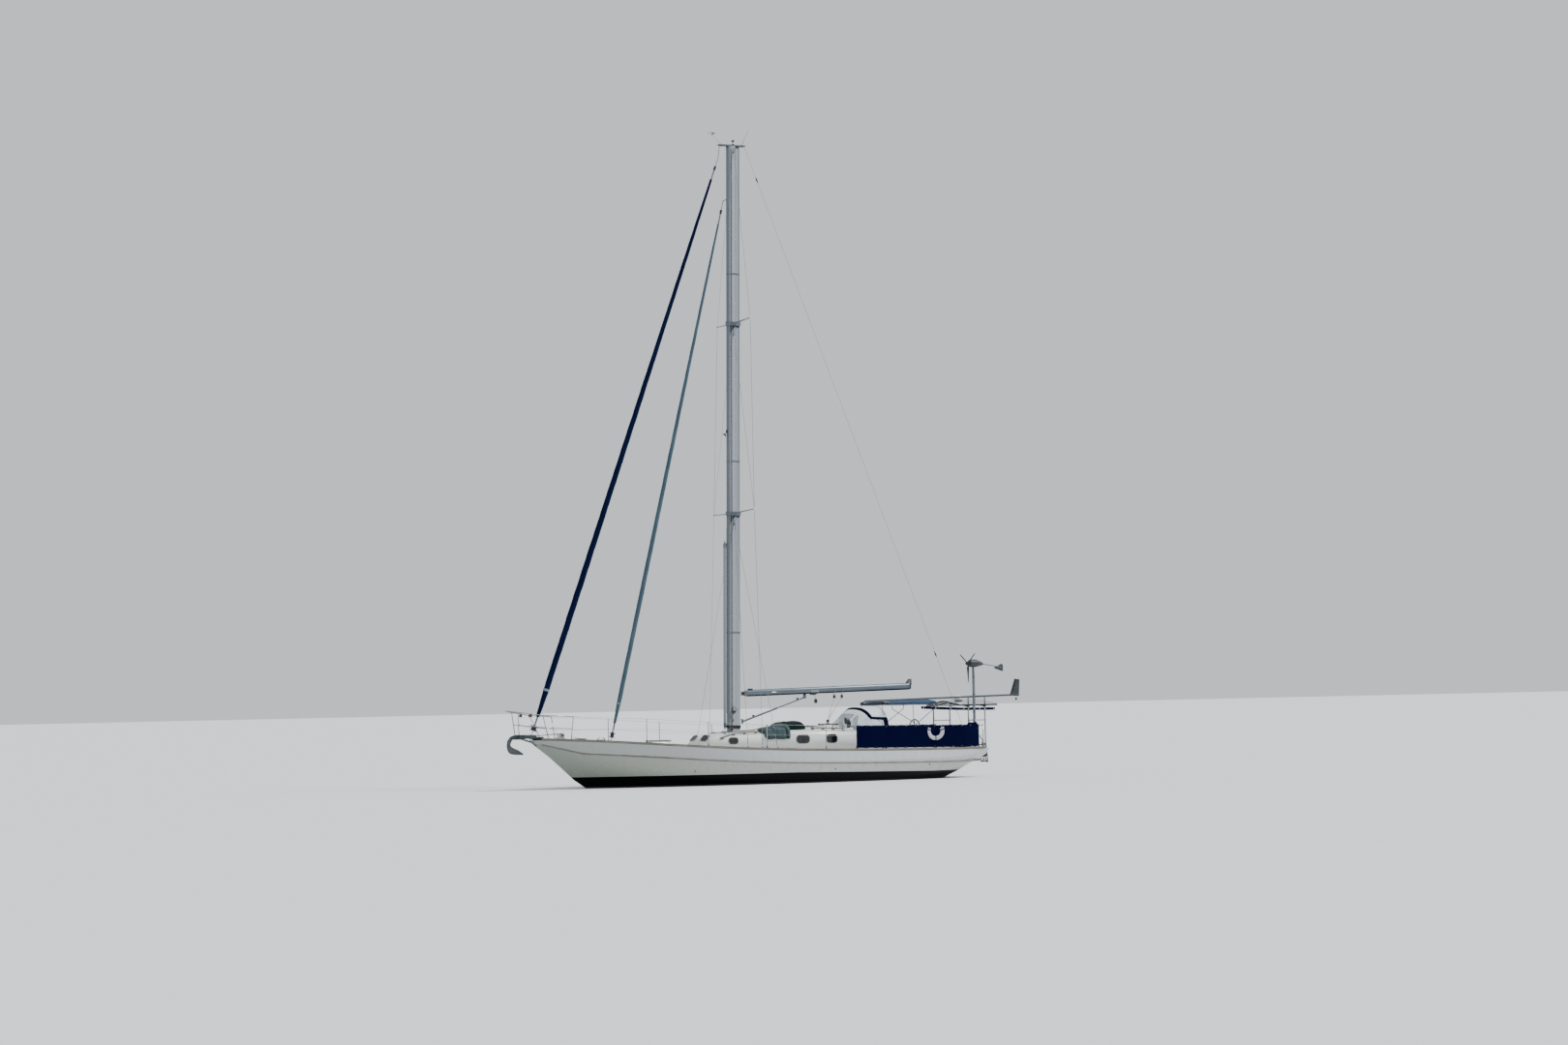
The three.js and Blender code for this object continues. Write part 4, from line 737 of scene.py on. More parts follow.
def railAndLifelines(label, side, values):
    lower = label.lower()
    rail = copied(f"toe_rail_{lower}")
    posts = [v for v in rail.verts if v.co.z > railAt(v.co.x)[1] + 0.003]
    bmesh.ops.delete(rail, geom=posts, context="VERTS")
    bmesh.ops.holes_fill(rail, edges=[e for e in rail.edges if e.is_boundary])
    bmesh.ops.recalc_face_normals(rail, faces=rail.faces)
    piece = Piece(f"toeRail{label}", 30).add(capTeak, grainAlong(rail))
    tops, middles = [], []
    for x in values["at"]:
        y, low = side * (sheerHalf(x) - values["inset"]), railAt(x)[1]
        top = sheerHigh(x) + values["height"]
        radius = values["radius"]
        piece.add(darkSteel, lathe(mm((0, 0), (30, 0), (30, 6), (19, 12), (17, 60), (12.6, 62)), (x, y, low)))
        piece.add(steel, lathe([
            (radius, 0), (radius, top - low - 0.03), (radius * 1.25, top - low - 0.026),
            (radius * 1.3, top - low - 0.008),
            (radius, top - low), (0, top - low + 0.003)], (x, y, low), sides=14))
        for wireHigh, where in ((top - 0.012, tops), (low + values["middle"], middles)):
            where.append((x, y, wireHigh))
            piece.add(steel, ring((x, y, wireHigh), 0.012, 0.004, (1, 0, 0), 12, 6))
    bowTop, sternTop = (-6.23, side * 0.9, 2.0), (6.12, side * (sheerHalf(6.12) - 0.095), 1.5)
    bowLow, sternLow = (-6.222, side * 0.775, 1.64), (6.12, side * (sheerHalf(6.12) - 0.095), 1.2)
    for points, thick in (([bowTop, *tops, sternTop], 1.0), ([bowLow, *middles, sternLow], 0.85)):
        piece.add(steel, pipe(points, values["wire"] * thick, 6))
        for end, inward in ((points[0], points[1]), (points[-1], points[-2])):
            piece.add(steel, bar(between(end, inward, 0.012),
                between(end, inward, 0.08 if end is points[0] else 0.1), 0.007, 8))
    piece.set("boat", "teak", f"toe_rail_{lower}")
    strip = grainAlong(copied(f"rub_rail_{lower}"))
    last = max(v.co.x for v in strip.verts)
    for vert in strip.verts:
        vert.co.y -= side * 0.024 * max(0.0, 1 - (last - vert.co.x) / 0.3)
    rub = Piece(f"rubRail{label}", 25).add(rubStrake, strip)
    rub.set("boat", "teak", f"rub_rail_{lower}")


for label, side in sides:
    railAndLifelines(label, side, stanchionSet)
print("hull and rails done")

# Weather cloths, laced between the toe rail and the upper lifeline
clothSet = {"from": 1.85, "to": 6.08, "high": 0.655, "inset": 0.008, "thick": 0.004, "eyeletEvery": 0.32}


def weatherCloth(label, side, values):
    length = dist((values["from"], sheerHalf(values["from"])), (values["to"], sheerHalf(values["to"])))
    edgeOut = lambda x: side * (sheerHalf(x) - values["inset"] - 0.001)

    def hang(u, v):
        x = lerp(values["from"], values["to"], u)
        pull = sin(pi * v) * (0.006 + 0.004 * sin(u * 39) + 0.003 * sin(u * 83 + 1))
        scallop = 0.01 * sin(pi * ((u * (values["to"] - values["from"]) / values["eyeletEvery"]) % 1.0))
        low, high = railAt(x)[1] + 0.006, railAt(x)[1] + values["high"]
        rise = low + (high - low) * v + scallop * (1 - 2 * v) * abs(1 - 2 * v)
        return vec(x, edgeOut(x) - side * (values["thick"] / 2 + pull), rise)

    body = skin(length, values["high"], 132, 18, hang, values["thick"])
    piece = Piece(f"weatherCloth{label}", 60).add(navy, body).set("boat", "navy_canvas",
        f"weather_cloth_{label.lower()}")
    trim = Piece(f"clothTrim{label}", 50)
    for v in (0.03, 0.97):
        trim.add(navySail, pipe([hang(u / 60, v) + vec(0, side * 0.003, 0) for u in range(61)], 0.007, 6))
    for u in (0.004, 0.33, 0.66, 0.996):
        trim.add(navySail, pipe([hang(u, v / 8) + vec(0, side * 0.002, 0) for v in range(9)], 0.006, 6))
    count = int(length / values["eyeletEvery"])
    for i in range(count + 1):
        for v in (0.045, 0.955):
            at = hang(i / count if 0 < i < count else (0.006 if i == 0 else 0.994), v) + vec(0, side * 0.004, 0)
            trim.add(steel, ring(at, 0.009, 0.0025, (0, side, 0), 12, 6))
            tieTo = vec(at.x, at.y - side * 0.02, railAt(at.x)[1] + (values["high"] + 0.004 if v > 0.5 else 0.0))
            trim.add(whiteRope,
                pipe([at, tieTo + vec(0.012, 0, 0.006), tieTo + vec(-0.006, -side * 0.012, 0)], 0.0022, 6))
    trim = trim.set("boat", "navy_canvas")


for label, side in sides:
    weatherCloth(label, side, clothSet)
print("weather cloths laced")

# Trunk cabin, its hatches and fittings
onRoof = lambda c, n: n.z > 0.75 and c.z > 1.15 and not (1.4 < c.x and abs(c.y) < 0.47)
smoothCopy("trunkCabin", "coachroof", gloss, slot="deck_gelcoat", angle=48, paints=[(deckPaint, onRoof)])
smoothCopy("cockpitCoaming", "cockpit_coaming", gloss, slot="deck_gelcoat")
cabinSkin = surface("coachroof")
deckSkin = surface("hull", "coachroof", "cockpit_coaming")


def dropOn(x, y, start=3.0):
    hit = deckSkin.ray_cast(vec(x, y, start), vec(0, 0, -1))
    return hit[0], hit[1]


portlightSet = {
    "z": 1.225, "rim": 0.02, "proud": 0.011,
    "at": ((-1.45, 0.26, 0.17), (0.585, 0.39, 0.225), (1.465, 0.33, 0.225)),  # x, width, height
}


def flatRing(inner, outer, thickness, place, edge=0.003):
    # a flat frame between two outlines that have the same number of points
    bm = bmesh.new()
    loops = [[bm.verts.new((x, y, -thickness / 2)) for x, y in outline] for outline in (inner, outer)]
    rims = [bm.edges.new((loop[i - 1], loop[i])) for loop in loops for i in range(len(loop))]
    thicken(bm, bmesh.ops.bridge_loops(bm, edges=rims)["faces"], thickness)
    bevelled(bm, edge, 2, 0.9)
    bmesh.ops.transform(bm, matrix=place, verts=bm.verts)
    return bm


def framedPane(piece, place, w, h, values, corner=0.42, glass=darkGlass):
    corner, rim, proud = h * corner, values["rim"], values["proud"]
    lift = place @ Matrix.Translation((0, 0, proud / 2))
    piece.add(glass, plate(rounded(w + 0.004, h + 0.004, corner, 7), 0.005, lift))
    piece.add(steel, flatRing(rounded(w, h, corner, 7),
        rounded(w + 2 * rim, h + 2 * rim, corner + rim, 7), proud, lift))
    for px, py in rounded(w + rim, h + rim, corner + rim / 2, 2):
        piece.add(steel, lathe(mm((0, 0), (4.5, 0), (3.8, 2), (0, 2.6)),
            place @ vec(px, py, proud), place.col[2].xyz, 8))


def portlights(label, side, values):
    piece = Piece(f"portlights{label}", 40)
    for x, w, h in values["at"]:
        spot, facing = cabinSkin.ray_cast(vec(x, side * 3, values["z"]), vec(0, -side, 0))[:2]
        framedPane(piece, stand(spot, facing, (1, 0, 0)), w, h, values)
    piece.set("boat", "stainless")


for label, side in sides:
    portlights(label, side, portlightSet)

frontPaneSet = {"z": 1.31, "rim": 0.014, "proud": 0.01, "at": (-0.41, 0.41), "size": (0.42, 0.21)}


def cabinFrontPanes(values):
    piece = Piece("cabinFrontPanes", 40)
    for y in values["at"]:
        spot, facing = cabinSkin.ray_cast(vec(-4, y, values["z"]), vec(1, 0, 0))[:2]
        framedPane(piece, stand(spot, facing, (0, 1, 0)), *values["size"], values, 0.3, paneGlass)
    piece.set("boat", "stainless")


cabinFrontPanes(frontPaneSet)

lidSet = {"frame": 0.045, "corner": 0.06, "edge": 0.005}


def glazedLid(name, node, body, values):
    low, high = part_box(node)
    middle, size = (low + high) / 2, high - low
    place = Matrix.Translation((middle.x, middle.y, middle.z))
    piece = Piece(name, 40)
    c, f = values["corner"], values["frame"]
    piece.add(sparAlloy, flatRing(rounded(size.x - 2 * f, size.y - 2 * f, c * 0.6, 6), rounded(size.x, size.y, c, 6),
        size.z, place, values["edge"]))
    pane = rounded(size.x - 1.9 * values["frame"], size.y - 1.9 * values["frame"], values["corner"] * 0.6, 6)
    piece.add(darkGlass, plate(pane, size.z * 0.6, place @ Matrix.Translation((0, 0, size.z * 0.08)), 0.002))
    for s in (-1, 1):
        y = s * size.y * 0.28
        piece.add(sparAlloy, block((low.x - 0.012, y - 0.03, low.z + 0.004),
            (low.x + 0.03, y + 0.03, high.z + 0.004), 0.004))
        piece.add(steel, bar((low.x - 0.006, y - 0.036, low.z + 0.012),
            (low.x - 0.006, y + 0.036, low.z + 0.012), 0.006, 10))
        knob = (high.x - 0.09, y, high.z - 0.004)
        piece.add(blackPlastic, lathe(mm((0, 0), (20, 0), (20, 6), (12, 11), (0, 12)), knob, sides=16))
    piece.set(body, "alloy", node)


glazedLid("foreHatchLid", "fore_hatch_lid", "fore_hatch", lidSet)
glazedLid("saloonHatchLid", "saloon_hatch_lid", "saloon_hatch", lidSet)


def slidingHatch():
    low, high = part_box("companionway_hatch")
    piece = Piece("slidingHatch", 35)
    piece.add(gloss, block(low, (high.x, high.y, low.z + 0.03), 0.006, 3))
    for i in range(5):
        y = lerp(low.y + 0.09, high.y - 0.09, i / 4)
        piece.add(deckPaint, block((low.x + 0.05, y - 0.045, low.z + 0.028),
            (high.x - 0.06, y + 0.045, low.z + 0.033), 0.002, 1))
    piece.add(teak, block((high.x - 0.03, -0.24, low.z + 0.026), (high.x - 0.002, 0.24, high.z), 0.007, 3))
    piece.set("sliding_hatch", "deck_gelcoat", "companionway_hatch")


slidingHatch()


def washboards():
    low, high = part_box("washboards")
    piece = Piece("washboardSet", 30)
    joints = [low.z, lerp(low.z, high.z, 0.34), lerp(low.z, high.z, 0.67), high.z]
    for bottom, top in zip(joints, joints[1:]):
        piece.add(boardTeak, block((low.x, low.y, bottom + 0.0006), (high.x, high.y, top - 0.0006), 0.003))
    for k in range(4):
        z = joints[2] + 0.09 + k * 0.03
        piece.add(blackPlastic, block((high.x - 0.002, -0.12, z), (high.x + 0.0015, 0.12, z + 0.01), 0.0008, 1))
    piece.set("boat", "teak", "washboards")


washboards()
for label, side in sides:
    lower = label.lower()
    low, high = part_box(f"locker_lid_{lower}")
    lid = Piece(f"lockerLid{label}", 35).add(gloss, block(low, high, 0.008, 3))
    seat = [lerp(low.y + 0.05, high.y - 0.05, t) for t in (0, 1)]
    lid.add(deckPaint, block((low.x + 0.05, seat[0], high.z - 0.003),
        (high.x - 0.05, seat[1], high.z + 0.002), 0.002, 1))
    inner = low.y if side > 0 else high.y
    for x in (low.x + 0.25, high.x - 0.25):
        lid.add(steel, block((x - 0.025, inner - 0.004, high.z - 0.022),
            (x + 0.025, inner + 0.004, high.z - 0.004), 0.003))
    lid.set(f"{lower}_locker", "deck_gelcoat", f"locker_lid_{lower}")
print("cabin and hatches done")

# Furled sails: a strip wound in a long spiral round each stay
rollSet = {
    "genoa": {"foot": (-7.092, 0, 1.64), "head": (-1.215, 0, 17.89), "radius": 0.082, "drum": 0.115, "turns": 26,
        "clew": 1.15, "wraps": 5},
    "staysail": {"foot": (-4.772, 0, 1.395), "head": (-1.08, 0, 16.64), "radius": 0.062, "drum": 0.085, "turns": 24,
        "clew": 0.95, "wraps": 3},
}


def stayLine(values):
    # both ends of a stay or strut, and the way from its foot to its head
    foot, head = Vector(values["foot"]), Vector(values["head"])
    return foot, head, (head - foot).normalized()


def furledSail(name, node, body, slot, finish, values):
    foot, head, way = stayLine(values)
    length, r, drum = (head - foot).length, values["radius"], values["drum"]
    stops = [(0.42, 0.62), (length * 0.07, 1.0), (length * 0.25, 1.05), (length * 0.55, 0.9),
        (length * 0.85, 0.62), (length - 0.62, 0.42)]
    rows = 320
    profile = []
    for i in range(rows + 1):
        s = lerp(stops[0][0], stops[-1][0], i / rows)
        for (a, ra), (b, rb) in zip(stops, stops[1:]):
            if s <= b + 1e-6:
                profile.append((r * lerp(ra, rb, (s - a) / (b - a)), s))
                break
    bm = lathe([(0, profile[0][1] - 0.05)] + profile + [(0, profile[-1][1] + 0.04)], (0, 0, 0), sides=28)
    for vert in bm.verts:
        along = (vert.co.z - stops[0][0]) / (stops[-1][0] - stops[0][0])
        angle = atan2(vert.co.y, vert.co.x)
        turn = (along * values["turns"] + angle / tau) % 1.0
        wrap = -0.07 * turn + 0.035
        crease = 0.018 * sin(3 * angle + along * 61) + 0.012 * sin(5 * angle - along * 143)
        swell = 1 + wrap + crease
        vert.co.x, vert.co.y = vert.co.x * swell, vert.co.y * swell
    bmesh.ops.transform(bm, matrix=stand(foot, head - foot), verts=bm.verts)
    piece = Piece(name, 60).add(finish, bm)
    at = lambda s: foot + way * s
    drumShape = [(0, 0), (drum, 0), (drum, 0.012), (drum * 0.5, 0.02), (drum * 0.5, 0.108), (drum, 0.116),
        (drum, 0.13), (0.03, 0.14), (0.026, 0.15), (0, 0.15)]
    piece.add(blackPlastic, lathe(drumShape, at(0), way, 32))
    lineTurns = [(drum * (0.55 + 0.06 * (i % 2)), 0.024 + 0.0105 * i) for i in range(8)]
    for radius, s in lineTurns:
        piece.add(darkRope, ring(at(s), radius, 0.0055, way, 24, 6))
    for k in range(values["wraps"]):
        s = values["clew"] + 0.013 * k
        around = r * 1.06 * lerp(0.62, 1.0, min(1.0, (s - 0.42) / (length * 0.07 - 0.42)))
        piece.add(blueRope, ring(at(s), around, 0.006, way + vec(0.05, 0.03, 0), 32, 6))
    piece.add(sparAlloy, bar(at(0.14), at(0.42), 0.024, 16), bar(at(length - 0.6), at(length - 0.33), 0.02, 16))
    piece.add(blackPlastic, lathe(mm((0, 0), (30, 0), (34, 20), (34, 100), (28, 120), (0, 120)),
        at(length - 0.32), way, 20))
    piece.add(steel, bar(at(length - 0.2), at(length), 0.012, 12), bar(at(0.15), at(0.2), 0.03, 16, edge=0.004))
    return piece.set(body, slot, node)


furledSail("genoaRoll", "genoa_roll", "genoa", "navy_canvas", navySail, rollSet["genoa"])
furledSail("staysailRoll", "staysail_roll", "staysail", "grey_canvas", greySail, rollSet["staysail"])
print("headsails rolled")

# Spars, and the lines that the mast and the boom lie on
mastLean = 0.01962  # run aft for each metre up
mastX = lambda z: -1.07 + (z - 1.48) * mastLean
onMast = lambda z, ahead=0.0, y=0.0: vec(mastX(z) + ahead, y, z)
mastUp = vec(mastLean, 0, 1).normalized()
boomSet = {"gooseneck": (-0.77, 2.552), "end": (4.58, 2.668)}  # x and height of its axis


def boomLine(x):
    (x0, z0), (x1, z1) = boomSet["gooseneck"], boomSet["end"]
    return lerp(z0, z1, (x - x0) / (x1 - x0))


for name, node, angle in (("sternArch", "stern_arch", 50), ("pulpitRails", "pulpit", 60),
        ("pushpitRails", "pushpit", 60)):
    smoothCopy(name, node, steel, slot="stainless", angle=angle)
# the forward-facing faces of the mast take the lighter copy of the alloy as painted light
smoothCopy("mastSpar", "mast", mastAlloy, slot="alloy", angle=40, paints=[
    (mastFrontPaintedLight, lambda c, n: n.x < -0.25 and c.z < 18.2), (steel, lambda c, n: c.x > mastX(c.z) + 0.2),
])
smoothCopy("boomSpar", "boom", sparAlloy, "main_boom", "alloy", 40, paints=[
    # the downward-facing faces take the painted shade
    (boomShade, lambda c, n: n.z < -0.3 and c.x > -0.6),
    (blackPlastic, lambda c, n: c.x > 4.515 or c.z > boomLine(c.x) + 0.1),
    (blackPlastic, lambda c, n: c.x < -0.71),
])
smoothCopy("hoistArm", "hoist_arm", sparAlloy, slot="alloy", angle=40, paints=[(slatePaint, lambda c, n: c.x > 7.2)])
print("spars and rigging done")

# Dodger: one curved skin of pale cloth over two hoops, with clear panels below a dark edging
dodgerSet = {
    "base": 1.18, "power": 0.72, "thick": 0.004, "gap": 0.006,
    # x at the sides, half width, top z, and how far the middle stands ahead of the sides
    "arches": ((2.42, 1.04, 1.47, 0.32), (2.5, 1.055, 1.65, 0.3), (2.8, 1.08, 2.01, 0.2), (2.93, 1.09, 2.09, 0.15),
        (3.32, 1.09, 2.125, 0.0)),
    "post": 0.026, "edging": 0.02,
}


def dodgerPoint(u, v, inset=0.0, values=dodgerSet):
    # u runs from the port foot over the top to the starboard foot, v from the front edge to the aft hoop
    arches = values["arches"]
    place = v * (len(arches) - 1)
    index = min(int(place), len(arches) - 2)
    x, half, top, lead = (lerp(p, q, place - index) for p, q in zip(arches[index], arches[index + 1]))
    height, power = top - values["base"], values["power"]
    angle = pi * (1 - u)
    c, s = cos(angle), max(sin(angle), 0.0)
    y = copysign((half - inset) * abs(c) ** power, c)
    return vec(x - lead * (1 - (y / half) ** 2), y, values["base"] + (height - inset) * s ** power)


def dodgerFloor(x, y):
    if abs(y) < 0.43 and x < 2.72:
        return 1.58
    return max(dropOn(x, y, 1.9)[0].z, 1.0)


def dodgerSkin():
    values = dodgerSet
    bm = bmesh.new()
    bmesh.ops.create_grid(bm, x_segments=96, y_segments=48, size=0.5, calc_uvs=True)
    flat = bm.loops.layers.uv.verify()
    places = {vert: (vert.co.x + 0.5, vert.co.y + 0.5) for vert in bm.verts}
    for face in bm.faces:
        for corner in face.loops:
            u, v = places[corner.vert]
            corner[flat].uv = (u * 3.4, v * 1.6)
    trimLine = lambda v: 0.172 + 0.05 * (2 * (1 - v)) ** 1.3
    kinds = {}
    for face in bm.faces:
        u, v = (sum(places[vert][k] for vert in face.verts) / len(face.verts) for k in (0, 1))
        edge = min(u, 1 - u)
        front = v < 0.52
        clear = (front and 0.1 < v < 0.44 and 0.16 < u < 0.84 and min(abs(u - 0.38), abs(u - 0.62)) > 0.014) or (
            v > 0.6 and 0.035 < edge < trimLine(v) - 0.022 and v < 0.925)
        kinds[face] = vinyl if clear else paleCloth
    for vert in bm.verts:
        u, v = places[vert]
        slack = 0.008 * sin(pi * min(max((v - 0.75) / 0.25, 0), 1)) * sin(pi * u)
        point = dodgerPoint(u, v, 0.004)
        point.z -= slack
        vert.co = point
    gone = [f for f in bm.faces if f.calc_center_median().z < dodgerFloor(*f.calc_center_median().xy) - 0.022]
    for face in gone:
        kinds.pop(face)
    bmesh.ops.delete(bm, geom=gone, context="FACES")
    piece = Piece("dodgerCloth", 70)
    for face in bm.faces:
        face.material_index = piece.number(kinds[face])
    piece.bm.free()
    bmesh.ops.recalc_face_normals(bm, faces=bm.faces)
    piece.bm = bm
    bmesh.ops.solidify(bm, geom=bm.faces[:], thickness=values["thick"])
    cloth = piece.set("boat", "pale_canvas", "dodger")
    trim = Piece("dodgerEdging", 50)
    for v, thick in ((0.0, 0.007), (1.0, 0.012)):
        path = [dodgerPoint(i / 60, v, 0.002) for i in range(61)]
        path = [p for p in path if p.z > dodgerFloor(p.x, p.y) + 0.003]
        runs, run = [], []
        for p in path:
            if run and (p - run[-1]).length > 0.3:
                runs.append(run)
                run = []
            run.append(p)
        for line in runs + [run]:
            trim.add(paleCloth, pipe(line, thick, 8))
    corner = trimLine(0.69)
    front = [dodgerPoint(lerp(corner, 1 - corner, i / 40), 0.69, -0.004) for i in range(41)]
    aftward = [[dodgerPoint(abs(s - trimLine(v)), v, -0.004) for v in [1.0 - 0.31 * i / 12 for i in range(12)]]
        for s in (0, 1)]
    trim.add(navy, pipe(aftward[0] + front + aftward[1][::-1], values["edging"], 8))
    lay = lambda u, v: dodgerPoint(u, v, -0.0045)
    fromCorner = lambda t, width: lerp(trimLine(lerp(0.57, 0.69, width)), 1 - trimLine(lerp(0.57, 0.69, width)), t)
    trim.add(navy, skin(0.1, 2.2, 6, 60, lambda a, t: lay(fromCorner(t, a), lerp(0.57, 0.69, a)), 0.003))
    for s in (0, 1):
        alongSide = lambda a, t: lay(abs(s - trimLine(lerp(0.6, 1.0, t)) - lerp(-0.022, 0.012, a) * (1 - 2 * s)),
            lerp(0.6, 1.0, t))
        trim.add(navy, skin(0.1, 0.8, 6, 24, alongSide, 0.003))
        upright = lambda a, t: lay(abs(s - lerp(0.012, trimLine(0.95), t)), lerp(0.925, 1.0, a))
        trim.add(navy, skin(0.1, 0.6, 6, 16, upright, 0.003))
    for s in (0, 1):
        post = [dodgerPoint(abs(s - u), 0.995, -0.004) for u in [0.001 + i * 0.0171 for i in range(11)]]
        trim.add(navy, pipe([p for p in post if p.z > 1.255], values["post"], 10))
    hoops = [[dodgerPoint(i / 48, v, 0.022) for i in range(49)] for v in (0.62, 0.985)]
    for hoop in hoops:
        trim.add(steel, pipe([p for p in hoop if p.z > dodgerFloor(p.x, p.y) + 0.004], 0.0125, 8))
    edging = trim.set("boat", "navy_canvas")


dodgerSkin()

# Bimini: a crowned canopy laced to three bows
biminiSet = {"x": (3.42, 4.9), "half": 1.01, "top": 2.285, "crown": 0.07, "sag": 0.012,
    "valance": 0.07, "thick": 0.004}


def biminiPoint(x, y, values=biminiSet):
    along = (x - values["x"][0]) / (values["x"][1] - values["x"][0])
    hollow = values["sag"] * abs(sin(2 * pi * along)) * (1 - 0.4 * (y / values["half"]) ** 2)
    return values["top"] - values["crown"] * (y / values["half"]) ** 2 - hollow


def bimini():
    values = biminiSet
    half, (x0, x1) = values["half"], values["x"]
    turn = values["valance"] / (2 * half + 2 * values["valance"])

    def hang(u, v):
        x = lerp(x0, x1, v)
        if u < turn or u > 1 - turn:
            s = -1 if u < 0.5 else 1
            drop = (turn - min(u, 1 - u)) / turn
            fold = 0.004 * sin(v * 40) * drop
            return vec(x, s * (half - 0.003 + fold), biminiPoint(x, half) - values["valance"] * drop)
        y = lerp(-half, half, (u - turn) / (1 - 2 * turn))
        return vec(x, y, biminiPoint(x, y))

    cloth = skin(2 * half + 2 * values["valance"], x1 - x0, 64, 48, hang, values["thick"])
    # painted light: the canopy's underside and the valances' inner faces take the lighter cloth
    inside = lambda c, n: n.z < -0.3 or (abs(c.y) > half - 0.03 and n.y * c.y < -0.3)
    top = Piece("biminiCanopy", 60).add(fadedNavyPaintedLight, cloth).paintWhere(canopyPaintedLight, inside)
    top = top.set("boat", "navy_canvas", "bimini_canopy")
    seams = Piece("biminiSeams", 50)
    for v in (0.0, 0.04, 0.49, 0.51, 0.96, 1.0):
        seams.add(navySail, pipe([hang(lerp(turn, 1 - turn, i / 40), v) + vec(0, 0, 0.001) for i in range(41)],
            0.0035 if 0.1 < v < 0.9 else 0.005, 6))
    for u in (0.0, 1.0):
        seams.add(navySail, pipe([hang(u, i / 40) for i in range(41)], 0.006, 6))
    seams = seams.set("boat", "navy_canvas")


def biminiBows():
    piece = Piece("biminiFrame", 50)
    half = biminiSet["half"]
    shoulder = biminiPoint(4.15, half) - 0.19
    legY = lambda z: lerp(1.085, half + 0.008, (z - 1.25) / (shoulder - 1.25))
    for topX, footX, footZ in ((4.15, 4.15, 1.2505), (3.48, 4.15, 1.62), (4.84, 4.15, 1.52)):
        under = biminiSet["thick"] + 0.0125 + 0.002
        across = [(topX, y, biminiPoint(topX, y) - under)
            for y in [half * (-0.985 + 1.97 * i / 20) for i in range(21)]]
        path = [(footX, -legY(footZ), footZ), (topX, -half - 0.008, shoulder),
            (topX, -half - 0.006, shoulder + 0.09), *across,
                (topX, half + 0.006, shoulder + 0.09), (topX, half + 0.008, shoulder), (footX, legY(footZ), footZ)]
        piece.add(steel, pipe(path, 0.0125, 10))
        for s in (-1, 1):
            at = vec(footX, s * legY(footZ), footZ)
            piece.add(blackPlastic, ball(at + vec(0, 0, 0.004), (0.022, 0.022, 0.02), 10))
    piece.set("boat", "stainless", "bimini_frame")


bimini()
biminiBows()
print("dodger and bimini done")

# Horseshoe lifebuoy in its cover, strapped to the lifelines
buoySet = {"outer": 0.265, "inner": 0.15, "fat": 0.04, "from": 0.86, "to": 2.14, "body": "#b3b1bb"}
buoyCloth = makeCanvas("buoyCover", buoySet["body"], "#dcdce0", sheen=0.1)


def lifebuoy(values):
    low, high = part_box("lifebuoy")
    slope = atan((sheerHalf(4.67) - sheerHalf(4.3175)) / 0.3525)
    out = vec(sin(slope), -cos(slope), 0)
    centreX = (low.x + high.x) / 2
    middle = vec(centreX, -(sheerHalf(centreX) - 0.008), 1.375) + out * (values["fat"] + 0.003)
    place = stand(middle, out, (1, 0, 0))
    radius, half = (values["outer"] + values["inner"]) / 2, (values["outer"] - values["inner"]) / 2
    start, end = pi * values["from"], pi * values["to"]
    turn = Matrix.Rotation(pi, 4, "X") if place.col[1].z < 0 else Matrix()
    onArc = lambda angle, r=radius, h=0.0: place @ turn @ vec(r * cos(angle), r * sin(angle), h)
    bm = bmesh.new()
    circle = bmesh.ops.create_circle(bm, cap_ends=True, segments=20, radius=1.0,
        matrix=Matrix.Rotation(pi / 2, 4, "X"))["verts"]
    for vert in circle:
        c, s = vert.co.x, vert.co.z
        vert.co = (radius + half * copysign(abs(c) ** 0.75, c), 0, values["fat"] * copysign(abs(s) ** 0.75, s))
    bmesh.ops.rotate(bm, cent=(0, 0, 0), matrix=Matrix.Rotation(start, 3, "Z"), verts=bm.verts)
    lid = bm.faces[:]
    bmesh.ops.spin(bm, geom=bm.verts[:] + bm.edges[:] + lid, cent=(0, 0, 0), axis=(0, 0, 1),
        angle=end - start, steps=56)
    bmesh.ops.recalc_face_normals(bm, faces=bm.faces)
    bmesh.ops.transform(bm, matrix=place @ turn, verts=bm.verts)
    piece = Piece("lifebuoyRing", 50).add(buoyCloth, bm)
    for angle in (start + 0.25, pi * 1.5, end - 0.25):
        loop = [onArc(angle, radius + (half + 0.004) * copysign(abs(cos(t)) ** 0.75, cos(t)),
            (values["fat"] + 0.003) * copysign(abs(sin(t)) ** 0.75, sin(t)))
                for t in [tau * i / 20 for i in range(20)]]
        for shift in (-0.012, 0, 0.012):
            around = (onArc(angle + 0.01) - onArc(angle)).normalized() * shift
            piece.add(greySail, pipe([p + around for p in loop], 0.007, 6, closed=True))
    for s in (-1, 1):
        seam = [onArc(lerp(start, end, i / 50), radius + s * half * 0.55, values["fat"] * 0.93) for i in range(51)]
        piece.add(paleCloth, pipe(seam, 0.0025, 6))
    for angle in (start + 0.1, end - 0.1):
        top = onArc(angle, radius, -values["fat"])
        hook = vec(top.x, top.y + 0.008, sheerHigh(top.x) + 0.725)
        piece.add(whiteRope,
            pipe([top, hook + vec(0, -0.006, -0.02), hook + vec(0, 0.004, 0.006), hook + vec(0, 0.012, -0.012)],
                0.004, 6))
    piece.set("boat", "white_plastic", "lifebuoy")


lifebuoy(buoySet)

# Steering pedestal and wheel
helmSet = {"x": 4.69, "z": 1.27, "radius": 0.43, "rim": 0.0145, "spokes": 6, "wrap": 0.0175}


